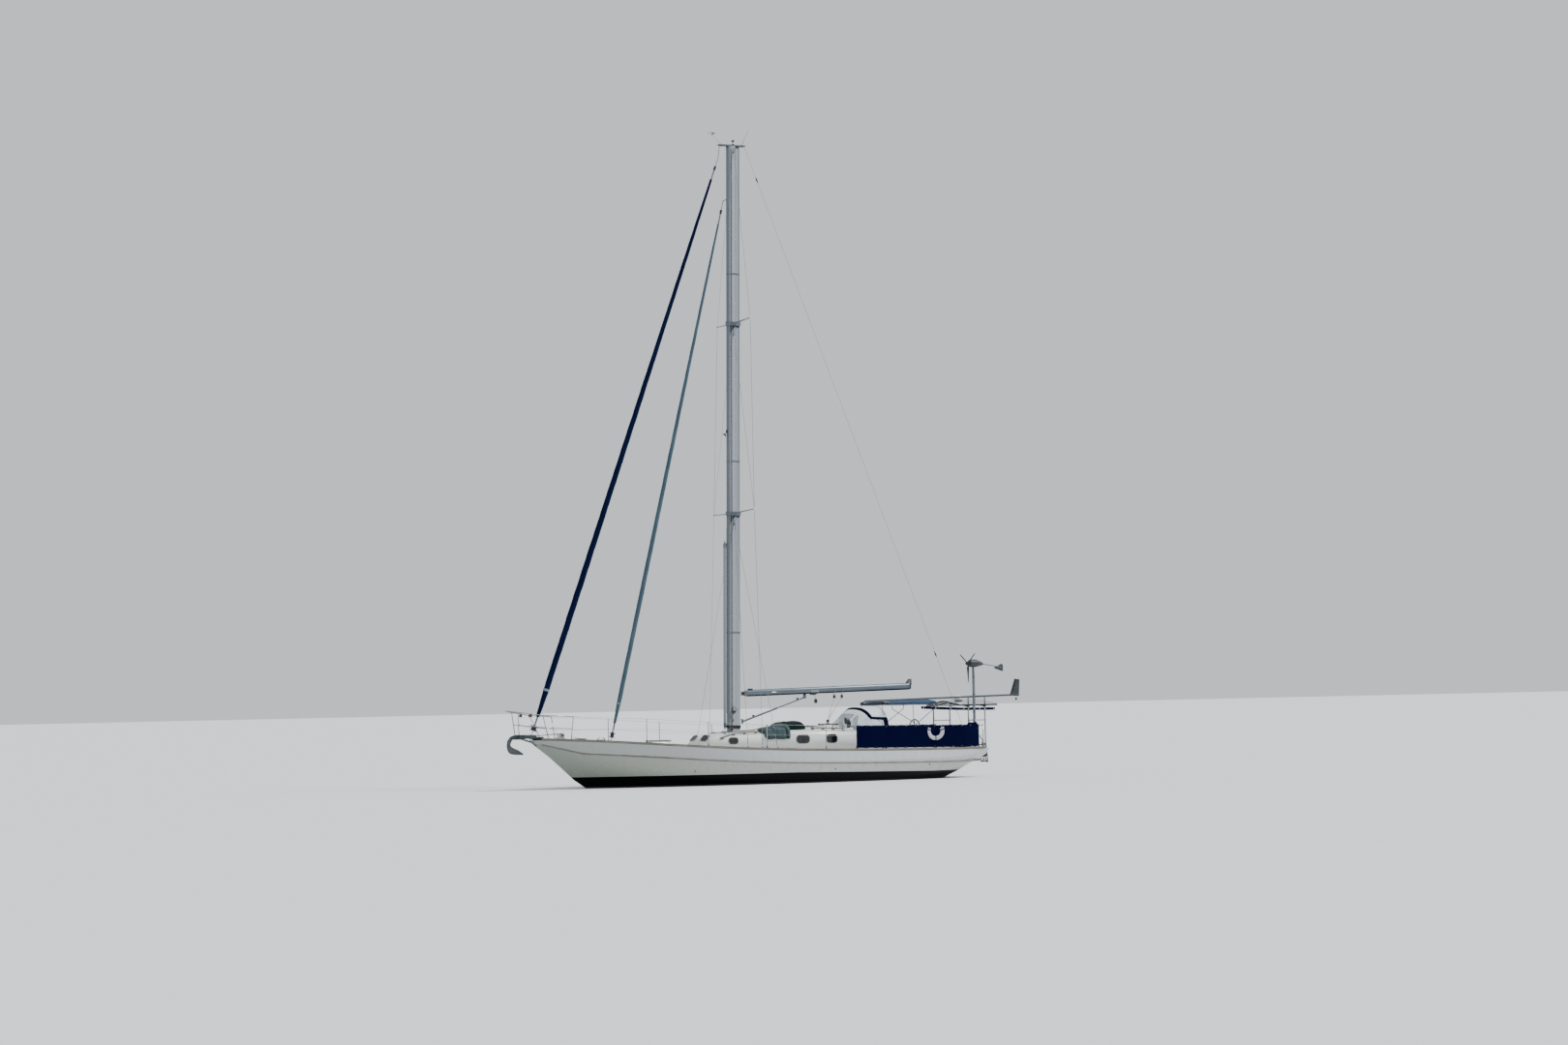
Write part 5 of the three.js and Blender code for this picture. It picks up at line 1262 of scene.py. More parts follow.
def steeringWheel(values):
    x, z, radius = values["x"], values["z"], values["radius"]
    piece = Piece("steeringWheel", 40)
    piece.add(steel, ring((x, 0, z), radius, values["rim"], (1, 0, 0), 72, 12))
    wrap = ring((x, 0, z), radius, values["wrap"], (1, 0, 0), 144, 14)
    for vert in wrap.verts:
        angle = atan2(vert.co.y, vert.co.z - z)
        centre = vec(x, radius * sin(angle), z + radius * cos(angle))
        vert.co = centre + (vert.co - centre) * (1 + 0.03 * cos(angle * 72))
    piece.add(leather, wrap)
    for i in range(values["spokes"]):
        angle = tau * i / values["spokes"]
        out = vec(0, sin(angle), cos(angle))
        hub = vec(x, 0, z)
        piece.add(steel, bar(hub + out * 0.03, hub + out * (radius - 0.01), 0.009, 12),
            bar(hub + out * 0.035, hub + out * 0.06, 0.013, 12, 0.009))
    piece.add(steel, lathe(mm((0, -24.5), (40, -24.5), (45, -18), (45, 10), (36, 18), (0, 18)),
        (x, 0, z), (1, 0, 0), 28))
    piece.add(blackPlastic, lathe(mm((0, 17), (26, 17), (26, 21), (18, 24.5), (0, 24.8)), (x, 0, z), (1, 0, 0), 20))
    grip = vec(x, 0, z + radius)
    piece.add(whiteRope, ring(grip, 0.019, 0.004, (0, 1, 0), 16, 6))
    piece.set("steering_wheel", "stainless", "wheel")


leather = plain("greyLeather", "#2a2c30", 0.7, grain=60.0, spread=0.3, darker="#15171a", bumpSize=0.002)
steeringWheel(helmSet)


pedestalSet = {"x": 4.56, "top": 1.38, "guard": 0.17}


def pedestal(values):
    piece = Piece("helmPedestal", 40).add(whitePlastic, copied("pedestal"))
    x, top, g = values["x"], values["top"], values["guard"]
    piece.add(blackPlastic, lathe(mm((0, 0), (85, 0), (90, 12), (84, 30), (50, 62), (0, 74)),
        (x, 0, top + 0.0005), sides=32))
    piece.add(darkGlass, lathe(mm((0, 50), (50, 50), (44, 75), (26, 94), (0, 100)), (x, 0, top), sides=32))
    half = [(x - g, -g, 0.45), (x - g, -g, 1.3), (x - 0.16, -0.12, 1.46)]
    guard = half + [(px, -py, pz) for px, py, pz in half[::-1]]
    piece.add(steel, pipe(guard, 0.0125, 10))
    for s in (-1, 1):
        piece.add(steel, lathe(mm((0, 0), (32, 0), (32, 6), (15, 12), (0, 12)), (x - g, s * g, 0.4205), sides=20),
            bar((x - 0.165, s * 0.145, 1.32), (x, s * 0.07, 1.32), 0.007, 8))
    piece.add(steel, pipe([(x, 0.06, 1.15), (x, 0.12, 1.16), (x + 0.01, 0.15, 1.25)], 0.008, 8))
    piece.add(blackPlastic, ball((x + 0.01, 0.15, 1.26), 0.018, 12))
    pod = stand((x - 0.2, 0, 1.47), (-0.5, 0, 0.85), (0.85, 0, 0.5))
    piece.add(whitePlastic, block((-0.07, -0.16, -0.03), (0.07, 0.16, 0.03), 0.012, 3, pod))
    for y in (-0.08, 0.08):
        piece.add(darkGlass, block((-0.05, y - 0.058, 0.028), (0.05, y + 0.058, 0.034), 0.003, 2, pod))
    piece.set("boat", "white_plastic", "pedestal")


pedestal(pedestalSet)

winchSet = {"profile": mm((0, 0), (78, 0), (78, 12), (74, 22), (60, 26), (57, 40), (52, 60), (51, 90), (56, 108),
    (66, 116), (66, 122), (56, 126), (56, 131), (67, 136), (67, 142), (52, 150), (30, 155),
    (16, 156), (16, 148), (0, 148))}


def winch(name, at, body, scale, replaced=None, direction=(0, 0, 1)):
    place = stand(at, direction)
    piece = Piece(name, 35)
    drum = lathe([(r * scale, z * scale) for r, z in winchSet["profile"]], at, direction, 40)
    piece.add(steel, drum)
    for i in range(20):
        angle = tau * i / 20
        foot = vec(0.0545 * scale * cos(angle), 0.0545 * scale * sin(angle), 0.035 * scale)
        head = vec(0.0525 * scale * cos(angle), 0.0525 * scale * sin(angle), 0.1 * scale)
        piece.add(steel, bar(place @ foot, place @ head, 0.0025 * scale, 6))
    piece.add(blackPlastic, bar(place @ vec(0, 0.05 * scale, 0.118 * scale),
        place @ vec(0, 0.078 * scale, 0.128 * scale), 0.006 * scale, 8))
    for k in range(3):
        piece.add(whiteRope, ring(place @ vec(0, 0, (0.05 + 0.013 * k) * scale), 0.0605 * scale,
            0.0062, direction, 32, 8))
    piece.set(body, "stainless", *([replaced] if replaced else []))


for label, side in sides:
    low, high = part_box(f"winch_{label.lower()}")
    winch(f"sheetWinch{label}", ((low.x + high.x) / 2, (low.y + high.y) / 2, low.z), "boat", 1.05,
        f"winch_{label.lower()}")
    at = (3.15, side * 1.0875, 1.2503)
    winch(f"secondWinch{label}", at, "boat", 0.85)
print("helm and winches done")

# Solar panels: cells under glass in dark frames, boxes and cables beneath
panelSet = {"frame": 0.032, "deep": 0.042, "x": (5.62, 6.86), "y": (0.07, 1.09), "pitch": 0.12, "top": 2.045,
    "half": 1.13, "seat": 0.017}


def solarPanel(label, side, values):
    middleY = (values["y"][0] + values["y"][1]) / 2
    archHigh = values["top"] + (values["half"] - middleY) * tan(values["pitch"])
    length, width = values["x"][1] - values["x"][0], (values["y"][1] - values["y"][0]) / cos(values["pitch"])
    middleX = sum(values["x"]) / 2
    turned = Matrix.Translation((middleX, side * middleY, archHigh)) @ Matrix.Rotation(-side * values["pitch"], 4,
        "X")
    deep, f = values["deep"], values["frame"]
    place = turned @ Matrix.Translation((0, 0, values["seat"] + deep / 2))
    piece = Piece(f"solarPanel{label}", 35)
    piece.add(panelFrame, flatRing(oblong(length - 2 * f, width - 2 * f), oblong(length, width), deep, place, 0.002))
    along, across = length / 2 - f * 0.9, width / 2 - f * 0.9
    for finish, low, high in ((solarCells, 0.008, 0.002), (whitePlastic, 0.012, 0.0085)):
        piece.add(finish, block((-along, -across, deep / 2 - low), (along, across, deep / 2 - high), 0.0, 1, place))
    piece.add(blackPlastic, block((-0.09, -0.06, -deep / 2 + 0.004), (0.09, 0.06, deep / 2 - 0.012), 0.006, 2, place))
    for x in (-length / 2 + 0.22, length / 2 - 0.3):
        piece.add(sparAlloy, block((x - 0.02, -width / 2 + 0.01, -deep / 2),
            (x + 0.02, width / 2 - 0.01, -deep / 2 + 0.012), 0.003, 1, place))
    lead = [place @ Vector(p) for p in ((0.09, 0, -deep / 2 + 0.015), (0.2, -0.02, -deep / 2 - 0.004),
        (0.25, 0.18, -deep / 2 + 0.004), (0.3, side * -0.4, -deep / 2 + 0.01))]
    piece.add(blackPlastic, pipe(lead, 0.005, 6, curved=True))
    piece.set("boat", "solar_cells", f"solar_panel_{label.lower()}")


panelFrame = plain("panelFrame", "#2b2f33", 0.4, 0.6, grain=12.0, spread=0.2, darker="#15181a")
for label, side in sides:
    solarPanel(label, side, panelSet)


domeSet = {"at": (6.12, -0.04, 2.2)}


def antennaDome(values):
    x, y, z = values["at"]
    piece = Piece("antennaDome", 50)
    piece.add(whitePlastic,
        lathe(mm((0, 0), (100, 0), (125, 20), (130, 50), (118, 90), (85, 125), (45, 142), (0, 147)),
            (x, y, z + 0.03), sides=36))
    piece.add(blackPlastic, block((x - 0.13, -0.12, z + 0.018), (x + 0.13, 0.12, z + 0.032), 0.005))
    piece.set("boat", "white_plastic")


antennaDome(domeSet)

# Side curtain rolled up between the canopy's bows and the arch, in one long spiral of cloth
curtainSet = {
    "line": ((4.4, -1.07, 2.05), (5.1, -1.066, 2.012), (5.86, -1.061, 1.984), (6.78, -1.061, 1.976)),
    "core": 0.012, "radius": 0.045, "turns": 5, "thick": 0.002, "ties": (0.03, 0.22, 0.43, 0.62, 0.8, 0.97),
}


def rolledCurtain(values):
    length = sum(dist(a, b) for a, b in zip(values["line"], values["line"][1:]))
    grow = values["radius"] - values["core"]

    def wind(u, v):
        centre = glide(values["line"], v)
        pinch = 1 - 0.1 * max(exp(-((v - t) / 0.012) ** 2) for t in values["ties"])
        sway = 0.5 - 0.5 * cos(tau * (v * 5.3 + u * 0.3))
        radius = (values["core"] + grow * u) * pinch * (1 - 0.07 * sway * u)
        angle = tau * values["turns"] * u + 0.25 * sin(v * 9)
        return centre + vec(0, radius * cos(angle), radius * sin(angle) * 0.96)

    across = pi * values["turns"] * (values["core"] + values["radius"])
    roll = Piece("rolledCurtain", 60).add(navy, skin(across, length, 110, 72, wind, values["thick"])).set("boat",
        "navy_canvas")
    ties = Piece("curtainTies", 60)
    for t in values["ties"]:
        ties.add(whiteRope, ring(glide(values["line"], t), values["radius"] * 0.925, 0.004, (1, 0, 0), 24, 6),
            ring(glide(values["line"], t) + vec(0.012, 0, 0), values["radius"] * 0.94, 0.004, (1, 0.05, 0), 24, 6))
    ties = ties.set("boat", "navy_canvas")


rolledCurtain(curtainSet)
print("panels done")

# Standing rigging: round wire, bottle screws, chainplates and tangs
rigSet = {
    "wire": 0.0055, "inset": 0.09, "plates": (-1.44, -1.01, -0.56),
    "lower": (7.7, 1.4775), "upper": (13.16, 1.2075), "head": (-0.74, 18.18),
    "screw": mm((0, -12), (11, -12), (12, 30), (6.5, 36), (6.5, 75), (12.5, 80), (13.5, 100), (12.5, 110),
        (12.5, 235), (13.5, 245), (12.5, 262), (6.5, 266), (6.5, 300), (10, 304), (10, 390), (5.8, 400), (0, 400)),
}


def stayWire(piece, foot, head, wire, screw=None):
    way = (head - foot).normalized()
    if screw:
        piece.add(steel, lathe(screw, foot, way, 14))
    piece.add(steel, pipe([foot + way * (0.38 if screw else 0.0), head], wire, 8))


def shroudPlate(piece, at, side):
    outline = [(x * 0.03, z) for x, z in ((-1, -0.15), (1, -0.15), (1, 0.005), (0.55, 0.028),
        (-0.55, 0.028), (-1, 0.005))]
    place = stand(at, (0, side, 0), (1, 0, 0)) @ Matrix.Rotation(0 if side < 0 else pi, 4, "X")
    piece.add(steel, plate(outline, 0.01, place, 0.002),
        bar(at + vec(0, -0.02, 0), at + vec(0, 0.02, 0), 0.0065, 12, edge=0.0015))
    deck = dropOn(at.x, at.y)[0]
    piece.add(steel, plate(rounded(0.1, 0.045, 0.012, 3), 0.006, Matrix.Translation(deck + vec(0, 0, 0.003)), 0.0015))


def shrouds(label, side, values):
    inward = lambda x: side * (sheerHalf(x) - values["inset"])
    feet = [vec(x, inward(x), dropOn(x, inward(x))[0].z + 0.07) for x in values["plates"]]
    tips = [onMast(z + 0.04, 0.0293, side * half) for z, half in (values["lower"], values["upper"])]
    headTang, upperTang = vec(values["head"][0], side * 0.09, values["head"][1]), onMast(12.9, 0.0, side * 0.089)
    lowerTang, wire = onMast(7.46, 0.01, side * 0.098), values["wire"]
    caps = Piece(f"capShroud{label}", 40)
    stayWire(caps, feet[1], tips[0], wire, values["screw"])
    for start, end in ((tips[0], tips[1]), (tips[1], headTang), (tips[0], upperTang)):
        stayWire(caps, start, end, wire)
    shroudPlate(caps, feet[1], side)
    for tip in tips:
        caps.add(whitePlastic, ball(tip, (0.02, 0.018, 0.034), 14))
    for tang in (headTang, upperTang):
        caps.add(steel, plate(rounded(0.045, 0.16, 0.012, 3), 0.006,
            stand(tang - vec(0, side * 0.003, 0), (0, side, 0), (1, 0, 0)), 0.001),
            bar(tang, tang + vec(0, side * 0.018, 0), 0.011, 12, edge=0.002))
    caps.set("boat", "stainless", f"cap_shroud_{label.lower()}")
    lowers = Piece(f"lowerShrouds{label}", 40)
    for foot in (feet[0], feet[2]):
        stayWire(lowers, foot, lowerTang, wire, values["screw"])
        shroudPlate(lowers, foot, side)
    lowers.add(steel, plate(rounded(0.07, 0.17, 0.015, 3), 0.006,
        stand(lowerTang - vec(0, side * 0.01, 0), (0, side, 0), (1, 0, 0)), 0.001),
        bar(lowerTang - vec(0, side * 0.01, 0), lowerTang + vec(0, side * 0.014, 0), 0.016, 14, edge=0.003))
    lowers.set("boat", "stainless", f"lower_shrouds_{label.lower()}")


for label, side in sides:
    shrouds(label, side, rigSet)

backstaySet = {"foot": (6.49, 0, 0.89), "head": (-0.37, 0, 18.31), "insulators": (0.1555, 0.9455), "bulge": 0.022}


def backstay(values):
    foot, head, way = stayLine(values)
    length = (head - foot).length
    piece = Piece("backstayWire", 40)
    stayWire(piece, foot, foot + way * (length - 0.03), rigSet["wire"], rigSet["screw"])
    for t in values["insulators"]:
        big, mid = values["bulge"], foot + way * length * t
        shape = [(0, -0.09), (0.011, -0.09), (0.012, -0.055)]
        for k in range(5):
            z = -0.045 + 0.018 * k
            shape += [(big * 0.72, z), (big, z + 0.006), (big, z + 0.01), (big * 0.72, z + 0.015)]
        piece.add(blackPlastic, lathe(shape + [(0.012, 0.055), (0.011, 0.09), (0, 0.09)], mid, way, 20))
    piece.add(steel, plate(mm((-35, -60), (35, -60), (30, 30), (-30, 30)), 0.012, stand(foot, (0, -1, 0), (1, 0, 0)),
        0.002), bar(foot - vec(0, 0.02, 0), foot + vec(0, 0.02, 0), 0.009, 12, edge=0.002))
    piece.set("boat", "stainless", "backstay")


backstay(backstaySet)


def innerStayFoot():
    foot, _, way = stayLine(rollSet["staysail"])
    piece = Piece("innerStayFoot", 40)
    piece.add(steel, lathe(mm((0, -100), (14, -100), (16, -70), (11, -64), (11, -24), (17, -18), (17, -3), (0, -2)),
        foot, way, 16), plate(rounded(0.09, 0.17, 0.03, 4), 0.014,
        stand((-4.798, 0, 1.235), (0, 1, 0), (1, 0, 0)), 0.002))
    deck = dropOn(-4.798, 0)[0]
    piece.add(steel, plate(rounded(0.16, 0.1, 0.02, 4), 0.008, Matrix.Translation(deck + vec(0, 0, 0.004)), 0.002))
    piece.set("boat", "stainless", "inner_stay_foot")


innerStayFoot()

# Spreaders: flattened arms on a collar that clasps the mast
spreaderSet = {"collar": (0.115, 0.024), "root": 0.05, "tip": 0.03, "flat": 0.42}


def mastOutline(grow=0.0):
    half, slot, front = 0.085 + grow, 0.0525 + grow, -0.195 - grow
    arc = [(front + half * 1.25 * (1 + cos(a)), half * sin(a)) for a in [pi * (0.5 + k / 24) for k in range(25)]]
    back = [(0.035, half), (0.09, slot), (0.195 + grow, slot)]
    return arc + [(x, -y) for x, y in back] + back[::-1]


def spreaders(name, node, high, half, values):
    piece = Piece(name, 40)
    hold = stand(onMast(high), mastUp, (1, 0, 0))
    piece.add(mastAlloy, flatRing(mastOutline(0.002), mastOutline(values["collar"][1]),
        values["collar"][0], hold, 0.004))
    for s in (-1, 1):
        start, end = vec(mastX(high), s * 0.095, high), vec(mastX(high) + 0.03, s * half, high + 0.04)
        arm = bmesh.new()
        bmesh.ops.create_cone(arm, cap_ends=True, segments=20, radius1=values["root"], radius2=values["tip"],
            depth=(end - start).length)
        bmesh.ops.scale(arm, vec=(1, values["flat"], 1), verts=arm.verts)
        bmesh.ops.transform(arm, matrix=stand((start + end) / 2, end - start, (1, 0, 0)), verts=arm.verts)
        piece.add(mastAlloy, arm)
        piece.add(sparAlloy, block((-0.075, -0.05, -0.036), (0.075, 0.05, 0.036), 0.008, 2,
            stand(start + vec(0, s * 0.02, 0), (0, 0, 1), (1, 0, 0))))
        for x in (-0.045, 0.045):
            piece.add(steel, bar(start + vec(x, s * 0.03, -0.042),
                start + vec(x, s * 0.03, 0.042), 0.008, 8, edge=0.001))
        piece.add(blackPlastic, ball(end, (0.034, 0.014, 0.02), 12))
    piece.set("boat", "alloy", node)


spreaders("spreadersLower", "spreaders_lower", 7.7, 1.45, spreaderSet)
spreaders("spreadersUpper", "spreaders_upper", 13.16, 1.18, spreaderSet)
print("rigging set up")


# Small deck gear that is used in many places
def hornCleat(piece, at, length, direction=(1, 0, 0), up=(0, 0, 1), finish=None):
    place = stand(at, up, direction)
    finish = finish or steel
    piece.add(finish, block((-length * 0.18, -length * 0.09, 0),
        (length * 0.18, length * 0.09, length * 0.035), 0.003, 2, place))
    for s in (-1, 1):
        piece.add(finish, bar(place @ vec(s * length * 0.11, 0, length * 0.02),
            place @ vec(s * length * 0.09, 0, length * 0.2), length * 0.055, 10))
    bend = ((-0.5, 0.27), (-0.3, 0.225), (0, 0.21), (0.3, 0.225), (0.5, 0.27))
    horns = [place @ vec(x * length, 0, z * length) for x, z in bend]
    piece.add(finish, pipe(horns, length * 0.06, 10, curved=True, radii=[0.45, 0.9, 1.1, 0.9, 0.45]))


def sheaveBlock(piece, at, hang, across, size=0.06):
    # at is the middle of the sheave, hang points to what carries the block
    place = stand(at, across, hang)
    shell = [(x * size, y * size) for x, y in ((1.15, 0.28), (0.7, 0.62), (0, 0.78), (-0.6, 0.66), (-0.85, 0.3),
        (-0.85, -0.3), (-0.6, -0.66), (0, -0.78), (0.7, -0.62), (1.15, -0.28))]
    for s in (-1, 1):
        piece.add(blackPlastic,
            plate(shell, size * 0.1, place @ Matrix.Translation((0, 0, s * size * 0.3)), size * 0.03))
    groove = [(0, -0.22), (0.62, -0.22), (0.62, -0.18), (0.5, 0), (0.62, 0.18), (0.62, 0.22), (0, 0.22)]
    piece.add(whitePlastic, lathe([(r * size, z * size) for r, z in groove], at, across, 20))
    piece.add(steel, bar(place @ vec(0, 0, -size * 0.38), place @ vec(0, 0, size * 0.38), size * 0.12, 10),
        ring(place @ vec(size * 1.35, 0, 0), size * 0.26, size * 0.08, place.col[1].xyz, 16, 8))


# What the mast carries: halyards, winches, cleats, lamps, the furling slot and the pole track
mastGearSet = {
    "halyards": mm((-130, 89, 18200), (-60, 93, 18220), (0, 93, 18240), (-130, -89, 16700), (-60, -93, 18220)),
    "rope": 0.0055, "lamp": 10.06, "winch": 2.12, "cleats": (1.82, 1.95), "slot": (2.78, 18.0), "track": (2.0, 7.3),
}


def mastGear(values):
    piece = Piece("mastGear", 40)
    ropes = (whiteRope, blueRope, whiteRope, redRope, blueRope)
    for (ahead, y, top), rope in zip(values["halyards"], ropes):
        low = onMast(1.62, ahead, y)
        piece.add(rope, pipe([low, onMast(top, ahead, y)], values["rope"], 8))
        sheaveBlock(piece, low - vec(0, 0, 0.05), (0, 0, -1), (1, 0, 0), 0.032)
    for side in (-1, 1):
        for z, ahead in zip(values["cleats"], (-0.03, -0.1)):
            hornCleat(piece, onMast(z, ahead, side * 0.086), 0.15, mastUp, (0, side, 0))
        piece.add(mastAlloy, block((-0.07, -0.07, -0.002), (0.07, 0.07, 0.018), 0.008, 2,
            stand(onMast(values["winch"], 0.0, side * 0.085), (0, side, 0), mastUp)))
    low, high = values["slot"]
    length = (high - low) / mastUp.z
    slot = stand(onMast(low, 0.195), mastUp, (1, 0, 0))
    piece.add(blackPlastic, block((-0.002, -0.009, 0), (0.0008, 0.009, length), 0.0, 1, slot))
    piece.add(paleCloth, block((-0.002, -0.0022, 0.1), (0.006, 0.0022, length - 0.2), 0.0, 1, slot))
    low, high = values["track"]
    track = stand(onMast(low, -0.1965), mastUp, (1, 0, 0))
    piece.add(steel, block((-0.008, -0.012, 0), (0.004, 0.012, (high - low)), 0.002, 1, track))
    lamp = onMast(values["lamp"], -0.205)
    piece.add(blackPlastic, block((-0.03, -0.05, -0.045), (0.03, 0.05, 0.045), 0.01, 3, stand(lamp, mastUp)))
    piece.add(lampWhite, lathe(mm((0, -35), (42, -35), (46, -10), (46, 30), (36, 45), (0, 48)),
        lamp - vec(0.045, 0, 0), mastUp, 24))
    piece.add(blackPlastic, lathe(mm((0, 0), (30, 0), (55, 50), (55, 65), (0, 65)),
        lamp + vec(-0.03, 0, -0.08), (-0.7, 0, -0.7), 20))
    piece.add(lampWhite, lathe(mm((0, 60), (48, 60), (30, 70), (0, 73)),
        lamp + vec(-0.03, 0, -0.08), (-0.7, 0, -0.7), 20))
    boot = stand(onMast(1.62), mastUp, (1, 0, 0))
    piece.add(blackPlastic, flatRing(mastOutline(0.001), mastOutline(0.013), 0.075, boot, 0.004))
    for z in (4.3, 9.2, 14.6):
        piece.add(sparAlloy, flatRing(mastOutline(0.0005), mastOutline(0.003), 0.05,
            stand(onMast(z), mastUp, (1, 0, 0)), 0.001))
    for z in (2.35, 2.9):
        piece.add(steel, plate(rounded(0.05, 0.12, 0.01, 3), 0.006,
            stand(onMast(z, 0.198), (1, 0, 0), (0, 1, 0)), 0.001))
    piece.set("boat", "alloy")


mastGear(mastGearSet)
for label, side in sides:
    winch(f"mastWinch{label}", onMast(mastGearSet["winch"], 0.0, side * 0.103), "boat", 0.75, None, (0, side, 0))


poleSet = {"low": 1.57, "high": 6.88, "ahead": -0.257, "radius": 0.042}


def whiskerPole(values):
    low, high = values["low"], values["high"]
    place = lambda z: onMast(z, values["ahead"])
    piece = Piece("whiskerPole", 40)
    piece.add(poleAlloy, bar(place(low + 0.1), place(high - 0.1), values["radius"], 24))
    for z, s in ((low, 1), (high, -1)):
        piece.add(sparAlloy, lathe(mm((0, 0), (20, 0), (26, 30), (45, 60), (46, 160), (42.5, 170), (0, 170)),
            place(z), mastUp * s, 24))
        piece.add(steel, ring(place(z) + vec(0.0, 0, -s * 0.012), 0.026, 0.008, (0, 1, 0), 18, 8))
        piece.add(blackPlastic, block((0.02, -0.016, -0.03), (0.058, 0.016, 0.03), 0.004, 2,
            stand(place(z + s * 0.06), mastUp)))
    piece.add(whiteRope,
        pipe([place(low + 0.14) + vec(0, 0.046, 0), place(high - 0.14) + vec(0, 0.046, 0)], 0.0035, 6))
    piece.set("boat", "white_plastic", "whisker_pole")


whiskerPole(poleSet)

# Masthead: crane with its sheaves, tri-colour lamp, wind vane and wand
headSet = {"x": -0.74, "z": 18.3, "lamp": 0.038}


def masthead(values):
    x, z, r = values["x"], values["z"], values["lamp"]
    at = lambda dx, dz, y=0.0: vec(x + dx, y, z + dz)
    piece = Piece("mastheadCrane", 40)
    side = mm((-450, 12), (-430, 48), (370, 48), (390, 30), (385, 4), (-400, 2))
    for y in (-0.045, 0.045):
        piece.add(mastAlloy, plate(side, 0.008, stand(at(0, 0, y), (0, -1, 0), (1, 0, 0)), 0.002))
    piece.add(mastAlloy, block(at(-0.2, 0.0013, -0.075), at(0.2, 0.034, 0.075), 0.004),
        block(at(-0.44, 0.04, -0.049), at(0.38, 0.05, 0.049), 0.003))
    for dx in (-0.33, 0.3):
        for y in (-0.022, 0.022):
            piece.add(blackPlastic, lathe(mm((0, -13), (30, -13), (26, 0), (30, 13), (0, 13)),
                at(dx, 0.018, y), (0, 1, 0), 24))
        piece.add(steel, bar(at(dx, 0.018, -0.052), at(dx, 0.018, 0.052), 0.007, 10, edge=0.001))
    _, head, way = stayLine(rollSet["genoa"])
    piece.add(steel, pipe([head + way * 0.001, head + way * 0.06, at(-0.4, 0.03)], 0.012, 12))
    piece.add(blackPlastic,
        lathe([(0, 0.05), (0.045, 0.05), (0.045, 0.062), (r, 0.068), (r, 0.075)], at(0.02, 0), sides=24))
    for low, lens in ((0.07, lampWhite), (0.115, lampGreen), (0.15, lampRed)):
        piece.add(lens,
            lathe([(0, low), (r, low), (r * 0.96, low + 0.016), (r, low + 0.034), (0, low + 0.034)], at(0.02, 0),
                sides=28))
    piece.add(blackPlastic, lathe([(0, 0.184), (r, 0.184), (r * 0.8, 0.191), (0, 0.193)], at(0.02, 0), sides=24))
    piece.add(steel, pipe([at(-0.35, 0.045), at(-0.45, 0.14), at(-0.64, 0.32)], 0.006, 8))
    piece.add(blackPlastic, bar(at(-0.64, 0.3), at(-0.64, 0.37), 0.012, 12, 0.006), ball(at(-0.64, 0.39), 0.012, 10))
    vane = mm((-120, -3), (-60, -12), (-50, -3), (30, -3), (40, -30), (80, -30), (80, 30), (40, 30), (30, 3),
        (-50, 3), (-60, 12), (-120, 3))
    piece.add(lampRed, plate(vane, 0.003, stand(at(-0.64, 0.355), (0, -1, 0), (1, 0, 0))))
    for s in (-1, 1):
        piece.add(blackPlastic, bar(at(-0.64, 0.345), at(-0.56, 0.345, s * 0.09), 0.0025, 6),
            ball(at(-0.56, 0.345, s * 0.09), 0.008, 8))
    piece.add(steel, lathe(mm((0, 30), (20, 30), (20, 50), (8, 60), (0, 60)), at(0.3, 0.02), sides=16))
    piece.add(blackPlastic, pipe([at(0.3, 0.06), at(0.4, 0.27), at(0.54, 0.56)], 0.0045, 8, radii=[1.4, 1.0, 0.5]))
    piece.set("boat", "alloy", "masthead")


masthead(headSet)
print("mast dressed")

# What hangs on the boom: outhaul, blocks, bails and the rigid vang
boomGearSet = {"bail": 1.48, "hanger": (1.53, 2.23), "sheetAt": (2.12, 2.36), "outhaul": (-0.45, 4.4)}


